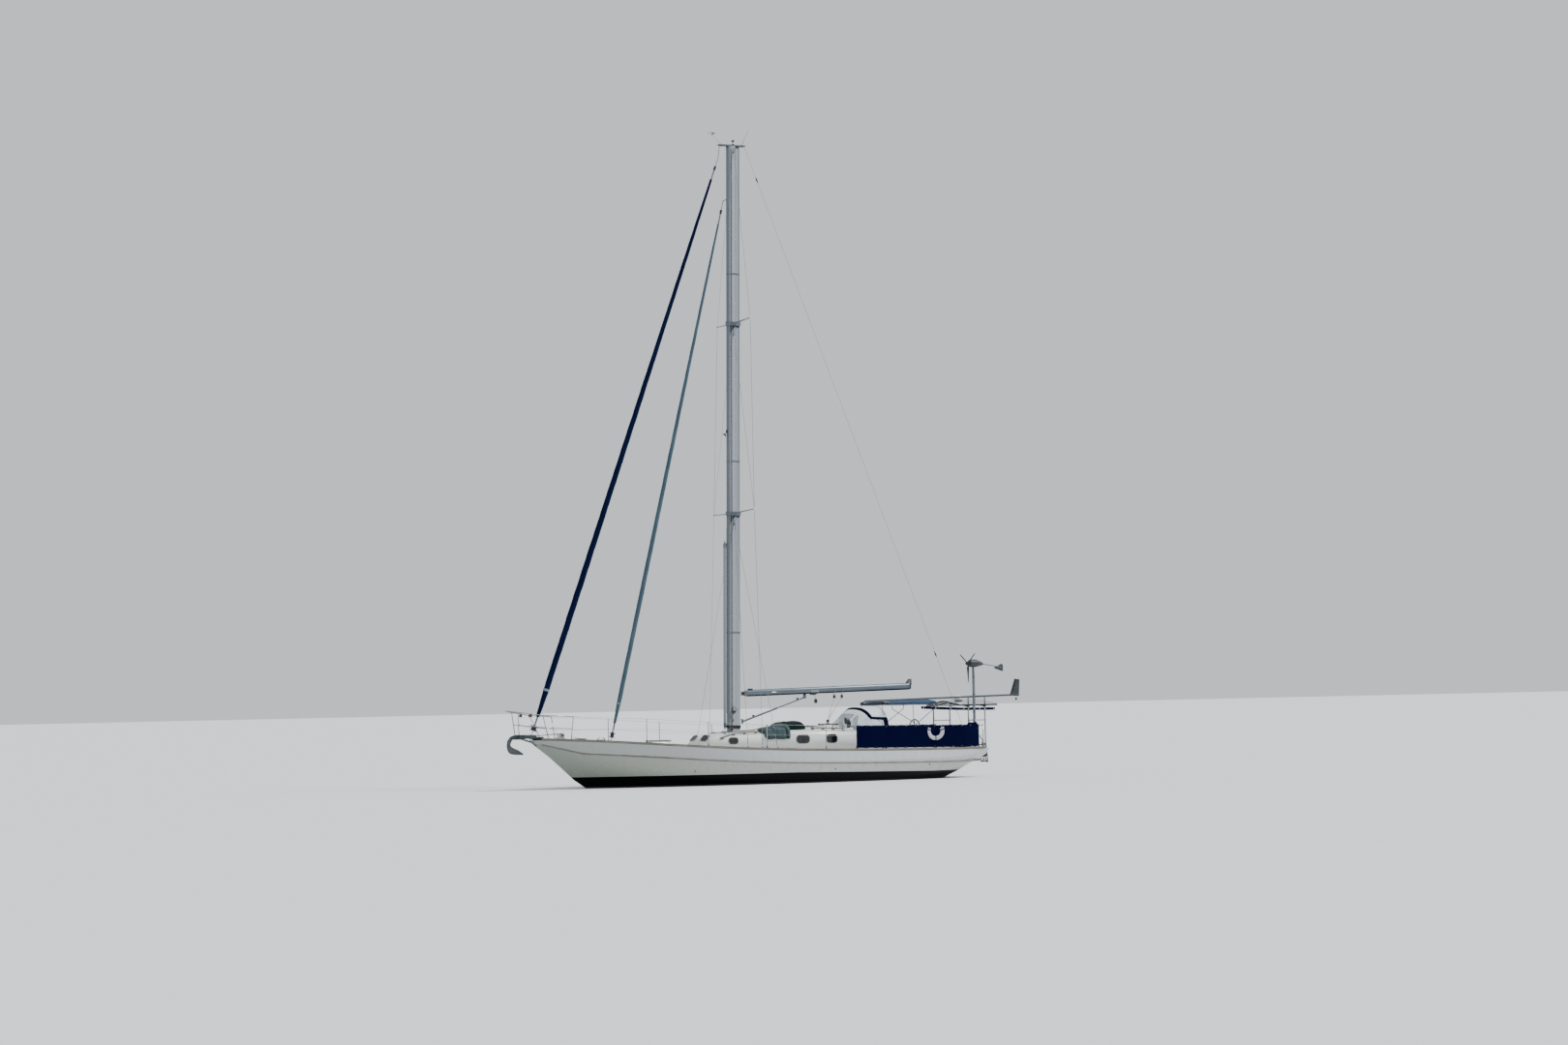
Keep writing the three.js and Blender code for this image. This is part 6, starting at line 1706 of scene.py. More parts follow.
def boomGear(values):
    piece = Piece("boomGear", 40)
    top, under = (lambda x: boomLine(x) + 0.0935), (lambda x: boomLine(x) - 0.0935)
    (x0, x1), bail = values["outhaul"], values["bail"]
    piece.add(steel, block((0.4, -0.013, 0), (x1 - 0.05, 0.013, 0.012), 0.002, 1,
        Matrix.Translation((0, 0, top(0) - 0.003)) @ Matrix.Rotation(-0.02168, 4, "Y")))
    for y, rope in ((0.025, whiteRope), (-0.025, blueRope)):
        piece.add(rope,
            pipe([(x, y, top(x) + 0.004 + 0.002 * sin(x * 5)) for x in [lerp(x0, x1, i / 12) for i in range(13)]],
                0.0055, 8))
    piece.add(blackPlastic, block((x0 - 0.14, -0.045, top(x0) - 0.012), (x0, 0.045, top(x0) + 0.04), 0.01))
    for s in (-1, 1):
        hornCleat(piece, (0.2, s * 0.0635, boomLine(0.2)), 0.15, (1, 0, 0.0217), (0, s, 0))
        piece.add(steel, plate(rounded(0.26, 0.05, 0.012, 3), 0.005,
            stand((bail, s * 0.0645, boomLine(bail) - 0.02), (0, s, 0), (1, 0, 0)), 0.001))
    for x in (bail, *values["sheetAt"]):
        half = [(-0.066, boomLine(x) - 0.02), (-0.068, under(x) - 0.012), (-0.03, under(x) - 0.04)]
        loop = [(x, y, z) for y, z in half] + [(x, 0, under(x) - 0.046)] + [(x, -y, z) for y, z in half[::-1]]
        piece.add(steel, pipe(loop, 0.0065, 8))
    piece.add(blackPlastic, block((bail - 0.12, -0.055, under(bail) - 0.03),
        (bail + 0.06, 0.055, under(bail) + 0.03), 0.012, 3))
    hangX, hangZ = values["hanger"]
    piece.add(whiteRope,
        pipe([(bail, 0, under(hangX) - 0.046), (hangX - 0.01, 0, hangZ + 0.2), (hangX, 0, hangZ + 0.15)], 0.006, 8))
    sheaveBlock(piece, (hangX, 0, hangZ + 0.06), (0, 0, 1), (0, 1, 0), 0.062)
    for x in values["sheetAt"]:
        sheaveBlock(piece, (x, 0, under(x) - 0.115), (0, 0, 1), (0, 1, 0), 0.05)
    piece.add(steel, bar((4.49, -0.045, 2.83), (4.49, 0.045, 2.83), 0.009, 12, edge=0.002),
        bar((4.46, -0.042, 2.74), (4.46, 0.042, 2.74), 0.012, 12, edge=0.002))
    piece.add(whiteRope,
        pipe([(4.4, 0.025, top(4.4) + 0.004), (4.5, 0.043, 2.79), (4.56, 0.043, 2.75), (4.55, 0.043, 2.6)],
            0.0055, 8, curved=True))
    piece.set("main_boom", "alloy")


boomGear(boomGearSet)


vangSet = {"foot": (mastX(1.76) + 0.3, 0, 1.76), "head": (1.18, 0, 2.41)}


def rigidVang(values):
    piece = Piece("rigidVang", 40)
    foot, head, way = stayLine(values)
    piece.add(sparAlloy, copied("vang"))
    for t in (0.545, 0.52):
        piece.add(blackPlastic, ring(foot.lerp(head, t), 0.026, 0.005, way, 24, 8))
    for s in (-1, 1):
        piece.add(blueRope,
            pipe([foot + way * 0.25 + vec(0, s * 0.033, 0.01), head - way * 0.16 + vec(0, s * 0.033, 0.01)], 0.005,
                8))
    for t, s in ((0.17, 1), (0.88, -1)):
        sheaveBlock(piece, foot.lerp(head, t) + vec(0, 0, 0.045), way * -s, (0, 1, 0), 0.035)
    piece.set("main_boom", "alloy", "vang")


rigidVang(vangSet)

# Mainsheet: traveller on the cabin top and the rope between its car and the boom's blocks
sheetSet = {"x": 1.9, "half": 0.62, "beam": 1.605, "rope": 0.006}


def mainsheet(values):
    x, beam, half = values["x"], values["beam"], values["half"]
    piece = Piece("mainsheetTraveller", 40)
    piece.add(blackPlastic, block((x - 0.022, -half, beam), (x + 0.022, half, beam + 0.022), 0.003))
    piece.add(steel, block((x - 0.014, -half + 0.03, beam + 0.02), (x + 0.014, half - 0.03, beam + 0.03), 0.003))
    for y in (-0.6, -0.38, 0.38, 0.6):
        roof = dropOn(x, y)[0].z
        piece.add(gloss, block((x - 0.035, y - 0.03, roof - 0.004), (x + 0.035, y + 0.03, beam + 0.002), 0.006))
    for s in (-1, 1):
        piece.add(blackPlastic, block((x - 0.03, s * half - 0.02, beam - 0.004),
            (x + 0.03, s * half + 0.02, beam + 0.04), 0.006))
        piece.add(redRope,
            pipe([(x + 0.026, s * 0.07, beam + 0.035), (x + 0.026, s * (half - 0.03), beam + 0.03)], 0.0045, 6))
    piece.add(blackPlastic, block((x - 0.04, -0.07, beam + 0.022), (x + 0.04, 0.07, beam + 0.05), 0.01, 3))
    for y in (-0.028, 0.028):
        sheaveBlock(piece, (x, y, beam + 0.115), (0, 0, -1), (0, 1, 0), 0.042)
    piece.set("boat", "dark_plastic")
    rope = Piece("mainsheetRope", 60)
    low, r = vec(x, 0, beam + 0.115), values["rope"]
    for s, (upX, y) in zip((-1, 1, -1, 1), ((2.12, -0.03), (2.12, 0.03), (2.36, -0.03), (2.36, 0.03))):
        up = vec(upX, y * 0.2, boomLine(upX) - 0.2085)
        start = low + vec(s * 0.024, y, 0)
        rope.add(whiteRope, pipe([between(start, up + vec(s * 0.026, 0, 0), i / 16) for i in range(17)], r, 8))
    made = rope.set(None, "dark_plastic")
    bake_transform(made)


mainsheet(sheetSet)
print("boom and mainsheet rigged")

# Folded dinghy in its cover on the cabin top: a lofted shell, blown up a little and held where it is strapped
bagSet = {
    # x, port edge, starboard edge, underside, top
    "rings": mm((-560, -1070, -620, 1310, 1500), (-450, -1150, -250, 1262, 1565), (-60, -1165, 300, 1255, 1590),
        (190, -1165, 420, 1262, 1610), (330, -860, 440, 1400, 1700), (820, -740, 400, 1400, 1722),
        (905, -520, 240, 1440, 1640)),
    "straps": (-0.27, 0.1, 0.6), "pinch": 0.022, "voxel": 0.017, "pressure": 4.0, "cap": 0.018,
    "gap": 0.004, "web": 0.045,
}


def bagRing(x, port, starboard, low, top):
    return [(starboard, 1.4), (starboard, top - 0.09), (starboard - 0.12, top - 0.015), ((port + starboard) / 2, top),
        (port + 0.22, top - 0.025), (port + 0.07, top - 0.085), (port, min(low + 0.12, top - 0.12)),
        (port + 0.008, low), (port + 0.12, low), (port + 0.28, 1.38)]


def clearOfCabin(point, gap):
    roof = cabinSkin.ray_cast(vec(point.x, point.y, 3), vec(0, 0, -1))[0]
    return roof is not None and point.z < roof.z + gap, roof


def evaluated(holder):
    return bpy.data.meshes.new_from_object(holder.evaluated_get(bpy.context.evaluated_depsgraph_get()))


def puffed(bm, held, values):
    # an even mesh, blown up by a short cloth simulation and never moved further than the cap
    mesh = bpy.data.meshes.new("cover")
    bm.to_mesh(mesh)
    bm.free()
    holder = bpy.data.objects.new("cover", mesh)
    scene.collection.objects.link(holder)
    even = holder.modifiers.new("even", "REMESH")
    even.mode, even.voxel_size = "VOXEL", values["voxel"]
    bpy.context.view_layer.update()
    remeshed = evaluated(holder)
    holder.modifiers.clear()
    holder.data = remeshed
    start = [v.co.copy() for v in remeshed.vertices]
    pins = holder.vertex_groups.new(name="held")
    pins.add([i for i, co in enumerate(start) if held(co)], 1.0, "REPLACE")
    cloth = holder.modifiers.new("cloth", "CLOTH")
    cloth.settings.vertex_group_mass = "held"
    cloth.settings.use_pressure = True
    cloth.settings.uniform_pressure_force = values["pressure"]
    cloth.settings.effector_weights.gravity = 0
    for step in range(1, 21):
        scene.frame_set(step)
    blown = evaluated(holder)
    bm = bmesh.new()
    bm.from_mesh(blown)
    for vert, origin in zip(bm.verts, start):
        moved = vert.co - origin
        if moved.length > values["cap"]:
            vert.co = origin + moved * (values["cap"] / moved.length)
    scene.frame_set(1)
    bpy.data.objects.remove(holder)
    for used in (mesh, remeshed, blown):
        bpy.data.meshes.remove(used)
    return bm


def dinghyBag(values):
    rings, straps = values["rings"], values["straps"]

    def cover(u, v):
        row = glide(rings, v)
        end = min(min(v, 1 - v) / 0.09, 1.0)
        close = 0.45 + 0.55 * sqrt(1 - (1 - end) ** 2)
        centre = vec((row[1] + row[2]) / 2, (max(row[3], 1.38) + row[4]) / 2)
        y, z = centre + (glide(bagRing(*row), u, True) - centre) * close
        tied = max(exp(-((row[0] - x) / 0.035) ** 2) for x in straps)
        slack = 0.012 * sin(row[0] * 17 + y * 3.1) + 0.007 * sin(row[0] * 41 - y * 13)
        slack += 0.006 * sin(y * 27 + row[0] * 9)
        out = (vec(y, z) - centre).normalized() * (slack * (1 - tied) - values["pinch"] * tied)
        return vec(row[0], y + out.x, z + out.y)

    bm = sleeve(3.2, 1.6, 120, 90, cover)
    for vert in bm.verts:
        inside, roof = clearOfCabin(vert.co, values["gap"])
        if inside:
            vert.co.z = roof.z + values["gap"]
    lies = lambda co: clearOfCabin(co, 0.02)[0] or any(abs(co.x - x) < 0.03 for x in straps)
    bm = puffed(bm, lies, values)
    for vert in bm.verts:
        inside, roof = clearOfCabin(vert.co, values["gap"])
        if inside:
            vert.co.z = roof.z + values["gap"]
    tree = BVHTree.FromBMesh(bm)
    cloth = Piece("dinghyBag", 70).add(greenCover, bm).paintWhere(greyGreenCover, lambda c, n: c.x < 0.27)
    cloth = cloth.set("boat", "green_cover", "dinghy_bag")
    finer = cloth.modifiers.new("smoother", "SUBSURF")
    finer.levels = finer.render_levels = 1
    tie = Piece("dinghyBagStraps", 50)
    for x in straps:
        line = []
        for i in range(49):
            angle = lerp(-0.12, pi + 0.45, i / 48)
            way = vec(0, cos(angle), sin(angle))
            hit = tree.ray_cast(vec(x, -0.36, 1.45) + way * 1.6, -way)
            if hit[0] is not None:
                line.append((hit[0], hit[1]))
        half = values["web"] / 2
        spots, normals = zip(*line)
        run = lambda u, v: glide(spots, v) + glide(normals, v) * 0.003 + vec((u - 0.5) * half * 2, 0, 0)
        tie.add(darkWeb, skin(half * 2, 2.0, 2, 96, run, 0.0025))
        buckle, facing = line[int(len(line) * 0.62)]
        tie.add(blackPlastic, block((-0.032, -0.03, 0), (0.032, 0.03, 0.011), 0.003, 2,
            stand(buckle + facing * 0.004, facing, (1, 0, 0))))
    seam = []
    for i in range(60):
        x = lerp(-0.5, 0.28, i / 59)
        hit = tree.ray_cast(vec(x, -2.0, 1.47), vec(0, 1, 0))
        if hit[0] is not None:
            seam.append(hit[0] + vec(0, -0.001, 0))
    tie.add(darkWeb, pipe(seam, 0.004, 6))
    tie.set("boat", "green_cover")


darkWeb = makeCanvas("darkWebbing", "#0d1716", "#1b2a29", weave=1800.0, sheen=0.02, gloss=0.05)
dinghyBag(bagSet)
print("dinghy strapped down")

# Bow platform: slatted teak in a steel frame, stem fitting, anchor roller and the headstay's chainplate
platformSet = {"x": (-7.64, -6.82), "half": 0.19, "z": (1.42, 1.462), "slats": 5, "anchorY": -0.095}
anchorY = platformSet["anchorY"]
inAnchorPlane = lambda y: stand((0, y, 0), (0, -1, 0), (1, 0, 0))


def bowPlatform(values):
    (x0, x1), half, (z0, z1) = values["x"], values["half"], values["z"]
    piece = Piece("bowPlatform", 35)
    middle = Matrix.Translation(((x0 + x1) / 2, 0, (z0 + z1) / 2))
    length = x1 - x0
    piece.add(darkSteel, flatRing(rounded(length - 0.05, half * 2 - 0.05, 0.075, 6),
        rounded(length, half * 2, 0.1, 6), z1 - z0, middle, 0.005))
    pitch = (half * 2 - 0.05) / values["slats"]
    for i in range(values["slats"]):
        y = -half + 0.025 + pitch * (i + 0.5)
        short = 0.03 if i in (0, values["slats"] - 1) else 0.012
        piece.add(teak, block((x0 + 0.012 + short, y - pitch / 2 + 0.003, z0 + 0.006),
            (x1 - 0.012 - short, y + pitch / 2 - 0.003, z1), 0.005))
    for x in (x0 + 0.14, (x0 + x1) / 2, x1 - 0.12):
        piece.add(darkSteel, block((x - 0.02, -half + 0.015, z0 - 0.006), (x + 0.02, half - 0.015, z0 + 0.01), 0.003))
    piece.add(darkSteel, block((-7.11, -0.045, 1.32), (-6.83, 0.045, 1.422), 0.012, 3))
    for s in (-1, 1):
        piece.add(darkSteel,
            pipe([(x0 + 0.2, s * 0.13, z0), (-7.12, s * 0.07, 1.3), (-7.02, s * 0.03, 1.2)], 0.0125, 10))
        cheek = [(-7.76, 1.4), (-7.38, 1.4), (-7.38, 1.52), (-7.7, 1.52), (-7.79, 1.47)]
        piece.add(darkSteel, plate(cheek, 0.01, inAnchorPlane(anchorY + s * 0.017), 0.0025))
        for x in (-7.66, -7.42):
            piece.add(steel, bar((x, anchorY + s * 0.018, 1.44),
                (x, anchorY + s * 0.028, 1.44), 0.009, 6, edge=0.0015))
    piece.add(blackPlastic, bar((-7.705, anchorY - 0.011, 1.418), (-7.705, anchorY + 0.011, 1.418), 0.014, 20))
    for x, z in ((-7.705, 1.418), (-7.5, 1.495)):
        piece.add(steel, bar((x, anchorY - 0.03, z), (x, anchorY + 0.03, z), 0.006, 12, edge=0.0015))
    piece.add(steel, plate(rounded(0.075, 0.15, 0.02, 4), 0.014,
        stand((-7.155, 0, 1.46), (0, 1, 0), (1, 0, 0)), 0.003))
    foot, _, way = stayLine(rollSet["genoa"])
    piece.add(steel, lathe(mm((0, -190), (12, -190), (13, -130), (9, -125), (9, -60), (13, -55), (13, -12), (0, -2)),
        foot, way, 16), bar((-7.145, -0.024, 1.492), (-7.145, 0.024, 1.492), 0.008, 12, edge=0.002))
    piece.set("boat", "stainless", "bow_platform")


bowPlatform(platformSet)

# Plough anchor in its roller
anchorSet = {
    "ridge": ((-7.89, 0.0, 1.34), (-7.9, 0.0, 1.18), (-7.8, 0.0, 1.01), (-7.43, 0.0, 0.972)),
    "edge": mm((-7855, 22, 1330), (-7790, 140, 1190), (-7640, 182, 1110), (-7422, 20, 995)),
    "shank": mm((-7040, 1462.3), (-7040, 1520), (-7340, 1530), (-7640, 1535), (-7790, 1490), (-7850, 1420),
        (-7895, 1350), (-7880, 1210), (-7800, 1240), (-7775, 1330), (-7735, 1400), (-7690, 1462.3)),
    "thick": 0.013,
}


def anchor(values):
    piece = Piece("ploughAnchor", 40)

    def blade(u, v):
        s = 2 * u - 1
        ridge, edge = glide(values["ridge"], v), glide(values["edge"], v)
        k = abs(s) ** 1.2
        return vec(lerp(ridge.x, edge.x, k), anchorY + s * edge.y,
            lerp(ridge.z, edge.z, k) + 0.012 * sin(pi * abs(s)))

    piece.add(galvanised, skin(0.5, 0.7, 24, 28, blade, values["thick"]),
        plate(values["shank"], 0.022, inAnchorPlane(anchorY), 0.0055, 3),
        ball((-7.872, anchorY, 1.25), (0.03, 0.034, 0.06), 20),
        bar((-7.87, anchorY - 0.045, 1.265), (-7.87, anchorY + 0.045, 1.265), 0.014, 16, edge=0.004))
    piece.add(steel, ring((-7.03, anchorY, 1.492), 0.02, 0.0065, (1, 0.2, 0), 18, 8),
        bar((-7.052, anchorY - 0.02, 1.492), (-7.052, anchorY + 0.02, 1.492), 0.007, 12, edge=0.002))
    piece.set("boat", "galvanised", "anchor")


anchor(anchorSet)

# Windlass with its chain led over the gypsy and along the platform
windlassSet = {"x": -6.285, "z": 1.49, "gypsy": -0.12, "drum": 0.12, "link": (0.0125, 0.0048, 1.5), "pitch": 0.031}


def chainRun(piece, points, values):
    radius, wire, stretch = values["link"]
    for start, end in zip(points, points[1:]):
        start, end = Vector(start), Vector(end)
        count = max(1, round((end - start).length / values["pitch"]))
        way = (end - start).normalized()
        side = way.orthogonal().normalized()
        for k in range(count):
            link = ring((0, 0, 0), radius, wire, sides=14, tube=6)
            bmesh.ops.scale(link, vec=(stretch, 1, 1), verts=link.verts)
            up = side if k % 2 else way.cross(side)
            bmesh.ops.transform(link, matrix=stand(between(start, end, (k + 0.5) / count), up, way), verts=link.verts)
            piece.add(galvanised, link)


def windlass(values):
    x, z = values["x"], values["z"]
    piece = Piece("anchorWindlass", 40)
    piece.add(steel, plate(rounded(0.34, 0.24, 0.04, 5), 0.012,
        stand((x, 0, 1.353), (0.045, 0, 1), (1, 0, 0)), 0.003, 2))
    piece.add(whitePlastic, block((x - 0.13, -0.09, 1.352), (x + 0.13, 0.09, 1.44), 0.03, 5),
        block((x - 0.088, -0.078, 1.41), (x + 0.088, 0.078, 1.532), 0.04, 6))
    piece.add(steel, bar((x, -0.155, z), (x, 0.155, z), 0.016, 20, edge=0.004))
    gypsy = mm((0, -32), (64, -32), (66, -24), (44, -6), (44, 6), (66, 24), (64, 30), (0, 30))
    piece.add(steel, lathe(gypsy, (x, values["gypsy"], z), (0, 1, 0), 36))
    for i in range(8):
        angle = tau * (i + 0.5) / 8
        out = vec(cos(angle), 0, sin(angle))
        piece.add(steel, block((-0.008, -0.022, -0.004), (0.008, 0.022, 0.008), 0.002, 1,
            stand(vec(x, values["gypsy"], z) + out * 0.046, out, (0, 1, 0))))
    drum = mm((0, -32), (52, -32), (54, -26), (42, -10), (40, 4), (46, 18), (62, 28), (62, 34), (0, 34))
    piece.add(steel, lathe(drum, (x, values["drum"], z), (0, 1, 0), 36))
    for s in (-1, 1):
        piece.add(blackPlastic, lathe(mm((0, 0), (30, 0), (30, 10), (20, 18), (0, 18)),
            (x, s * 0.152, z), (0, s, 0), 20))
    for y, high in ((0.16, 1.348), (0.08, 1.351)):
        piece.add(blackPlastic, lathe(mm((0, 0), (28, 0), (28, 6), (20, 12), (0, 12)),
            (x + 0.22, y, high), (0.045, 0, 1), 20))
    gy = values["gypsy"]
    over = [(x + 0.052 * cos(a), gy, z + 0.052 * sin(a)) for a in (0.0, 0.6, 1.2, 1.7)]
    chainRun(piece, [(x + 0.056, gy, 1.362), *over, (-7.02, anchorY, 1.492)], values)
    piece.add(steel, lathe(mm((0, 0), (40, 0), (40, 12), (26, 16), (0, 16)),
        (x + 0.056, gy, 1.345), (0.045, 0, 1), 24))
    piece.set("boat", "white_plastic", "windlass")


windlass(windlassSet)
print("ground tackle done")

# Lamps on the pulpit and pushpit
lampSet = {"t": 0.5, "size": (0.05, 0.032, 0.045)}


def sideLamps(values):
    piece = Piece("sideLamps", 40)
    for s, lens in ((-1, lampRed), (1, lampGreen)):
        at = between((-7.0, s * 0.56, 2.06), (-7.62, s * 0.26, 2.15), values["t"])
        along = vec(-0.62, s * -0.3, 0.09).normalized()
        out = vec(-0.3, s * 0.62, 0).normalized()
        place = stand(at - vec(0, 0, 0.058), (0, 0, 1), along)
        sx, sy, sz = values["size"]
        piece.add(blackPlastic, block((-sx, -sy * 0.6, -sz * 0.8), (sx, sy * 0.6, sz), 0.01, 3, place))
        lensAt = at - vec(0, 0, 0.062) + out * 0.006
        piece.add(lens, block((-sx * 0.75, -0.028, -sz * 0.5), (sx * 0.75, 0.028, sz * 0.55), 0.012, 4,
            stand(lensAt, (0, 0, 1), along)))
        piece.add(steel, ring(at, 0.016, 0.005, along, 16, 8))
    stern = vec(6.405, 0.95, 1.45)
    piece.add(blackPlastic, block((-0.03, -0.035, -0.04), (0.03, 0.035, 0.035), 0.008, 3, Matrix.Translation(stern)))
    piece.add(lampWhite, lathe(mm((0, -25), (26, -25), (28, 0), (26, 25), (0, 25)),
        stern + vec(0.022, 0, 0), sides=20))
    piece.set("boat", "dark_plastic")


sideLamps(lampSet)

# Wind generator: hollow pole on a deck flange, housing with its tail, and three twisted blades
turbineSet = {
    "x": 6.03, "y": -1.205, "pole": 0.036, "top": 3.1894, "deck": 0.838, "hub": (5.85, 3.3),
    "blades": 3, "start": 0.5,
    # radius, chord, twist and thickness along a blade
    "blade": mm((85, 50, 500, 20), (140, 84, 420, 14), (300, 66, 260, 9), (460, 48, 160, 6), (558, 30, 100, 4)),
}


def generatorPole(values):
    x, y, r, top = values["x"], values["y"], values["pole"], values["top"]
    piece = Piece("generatorPole", 35)
    deck = values["deck"]
    shape = [(0, 0), (0.08, 0), (0.08, 0.014), (0.05, 0.02), (0.042, 0.06), (r, 0.07), (r, 1.2),
        (r, top - deck - 0.05), (r * 0.86, top - deck), (0, top - deck)]
    piece.add(sparAlloy, lathe(shape, (x, y, deck), sides=28))
    for i in range(4):
        a = tau * (i + 0.5) / 4
        bolt = vec(x + 0.064 * cos(a), y + 0.064 * sin(a), deck + 0.012)
        piece.add(steel, bar(bolt, bolt + vec(0, 0, 0.012), 0.009, 6))
    for z in (1.66, 2.02):
        piece.add(steel, bar((x, y, z - 0.018), (x, y, z + 0.018), r + 0.006, 28, edge=0.003),
            block((x - 0.03, y + r - 0.004, z - 0.016), (x + 0.03, -1.108, z + 0.016), 0.004))
    piece.add(blackPlastic,
        pipe([(x + r + 0.004, y, 1.4), (x + r + 0.004, y, 3.0), (x + r - 0.004, y, 3.08)], 0.005, 6))
    for z in (1.9, 2.4, 2.9):
        piece.add(blackPlastic, bar((x, y, z - 0.006), (x, y, z + 0.006), r + 0.0095, 24))
    piece.set("boat", "alloy", "generator_pole")


def generatorHead(values):
    x, y, z = values["x"], values["y"], values["hub"][1]
    piece = Piece("generatorHead", 40)
    body = mm((0, 0), (94, 0), (103, 12), (105, 50), (105, 200), (101, 250), (85, 310),
        (60, 380), (46, 430), (0, 440))
    bm = lathe(body, (5.9005, y, z), (1, 0, 0), 40)
    for vert in bm.verts:
        back = max(0.0, vert.co.x - 6.14) / 0.2
        vert.co.z -= 0.02 * back
    piece.add(slatePaint, bm)
    for px in (5.93, 6.13):
        piece.add(blackPlastic, ring((px, y, z), 0.1045, 0.003, (1, 0, 0), 40, 6))
    for i in range(12):
        a = tau * i / 12
        out = vec(0, cos(a), sin(a))
        piece.add(slatePaint, block((-0.085, -0.003, -0.004), (0.085, 0.003, 0.008), 0.001, 1,
            stand(vec(6.03, y, z) + out * 0.104, out, (1, 0, 0))))
    piece.add(slatePaint, lathe(mm((0, -110), (50, -110), (50, -20), (70, 0), (0, 20)), (x, y, z), sides=28))
    piece.add(sparAlloy, bar((6.28, y, 3.29), (6.95, y, 3.175), 0.018, 16, 0.014, 0.003))
    fin = [(6.7, 3.165), (6.76, 3.13), (6.98, 3.055), (7.008, 3.07), (7.01, 3.235), (6.985, 3.262), (6.95, 3.275)]
    piece.add(slatePaint, plate(fin, 0.007, stand((0, y, 0), (0, -1, 0), (1, 0, 0)), 0.0025, 2))
    for px, pz in ((6.8, 3.2), (6.9, 3.185)):
        piece.add(steel, bar((px, y - 0.02, pz), (px, y + 0.02, pz), 0.006, 8))
    piece.set("generator_nacelle", "dark_plastic", "generator_head")


def generatorRotor(values):
    hub = vec(values["hub"][0], values["y"], values["hub"][1])
    piece = Piece("generatorRotor", 40)
    nose = mm((0, -70), (14, -68), (30, -58), (44, -40), (56, -12), (63, 20), (65, 45), (60, 49.4), (0, 49.4))
    piece.add(blackPlastic, lathe(nose, hub, (1, 0, 0), 36))
    for i in range(values["blades"]):
        a = values["start"] + tau * i / values["blades"]
        out, ahead, around = vec(0, cos(a), sin(a)), vec(1, 0, 0), vec(0, sin(a), -cos(a))

        def wing(u, v):
            radius, chord, twist, thick = glide(values["blade"], v)
            t = cos(tau * u)
            body = sin(tau * u) * thick / 2 * (1 + 0.5 * t)
            side = around * cos(twist) + ahead * sin(twist)
            over = ahead * cos(twist) - around * sin(twist)
            return hub + vec(0.01, 0, 0) + out * radius + side * (t * chord / 2) + over * body

        piece.add(blackPlastic, sleeve(0.15, 0.5, 20, 26, wing),
            bar(hub + out * 0.04 + vec(0.01, 0, 0), hub + out * 0.1 + vec(0.01, 0, 0), 0.02, 16, 0.014))
    piece.set("generator_blades", "dark_plastic", "generator_rotor")


generatorPole(turbineSet)
generatorHead(turbineSet)
generatorRotor(turbineSet)
print("wind generator done")

# Feet, clamps and tackle of the stern arch and hoist, and the folded boarding ladder
sternSet = {"legs": (5.88, 6.42), "half": 1.13, "ladder": (-0.56, -0.24)}


def archFittings(values):
    piece = Piece("archFittings", 40)
    for x in values["legs"]:
        for s in (-1, 1):
            deck = dropOn(x, s * values["half"])[0]
            piece.add(steel, lathe(mm((0, 0), (50, 0), (50, 8), (28, 16), (26, 50), (22.5, 55), (0, 55)),
                deck - vec(0, 0, 0.002), sides=28))
            for z in (1.65, 1.98):
                piece.add(steel, ring((x, s * values["half"], z), 0.0235, 0.005, (0, 0, 1), 24, 8))
    for x in values["legs"]:
        piece.add(slatePaint, block((x - 0.035, -1.165, 2.03), (x + 0.035, -1.1, 2.075), 0.006))
    hornCleat(piece, (5.3, -1.162, 2.27), 0.13, (1, 0, 0.145), (0, -1, 0))
    for x in (7.33, 7.5):
        piece.add(steel, bar((x, -1.168, 2.38), (x, -1.092, 2.38), 0.01, 12, edge=0.002))
    sheaveBlock(piece, (7.46, -1.13, 2.24), (0, 0, 1), (0, 1, 0), 0.036)
    piece.set("boat", "stainless")


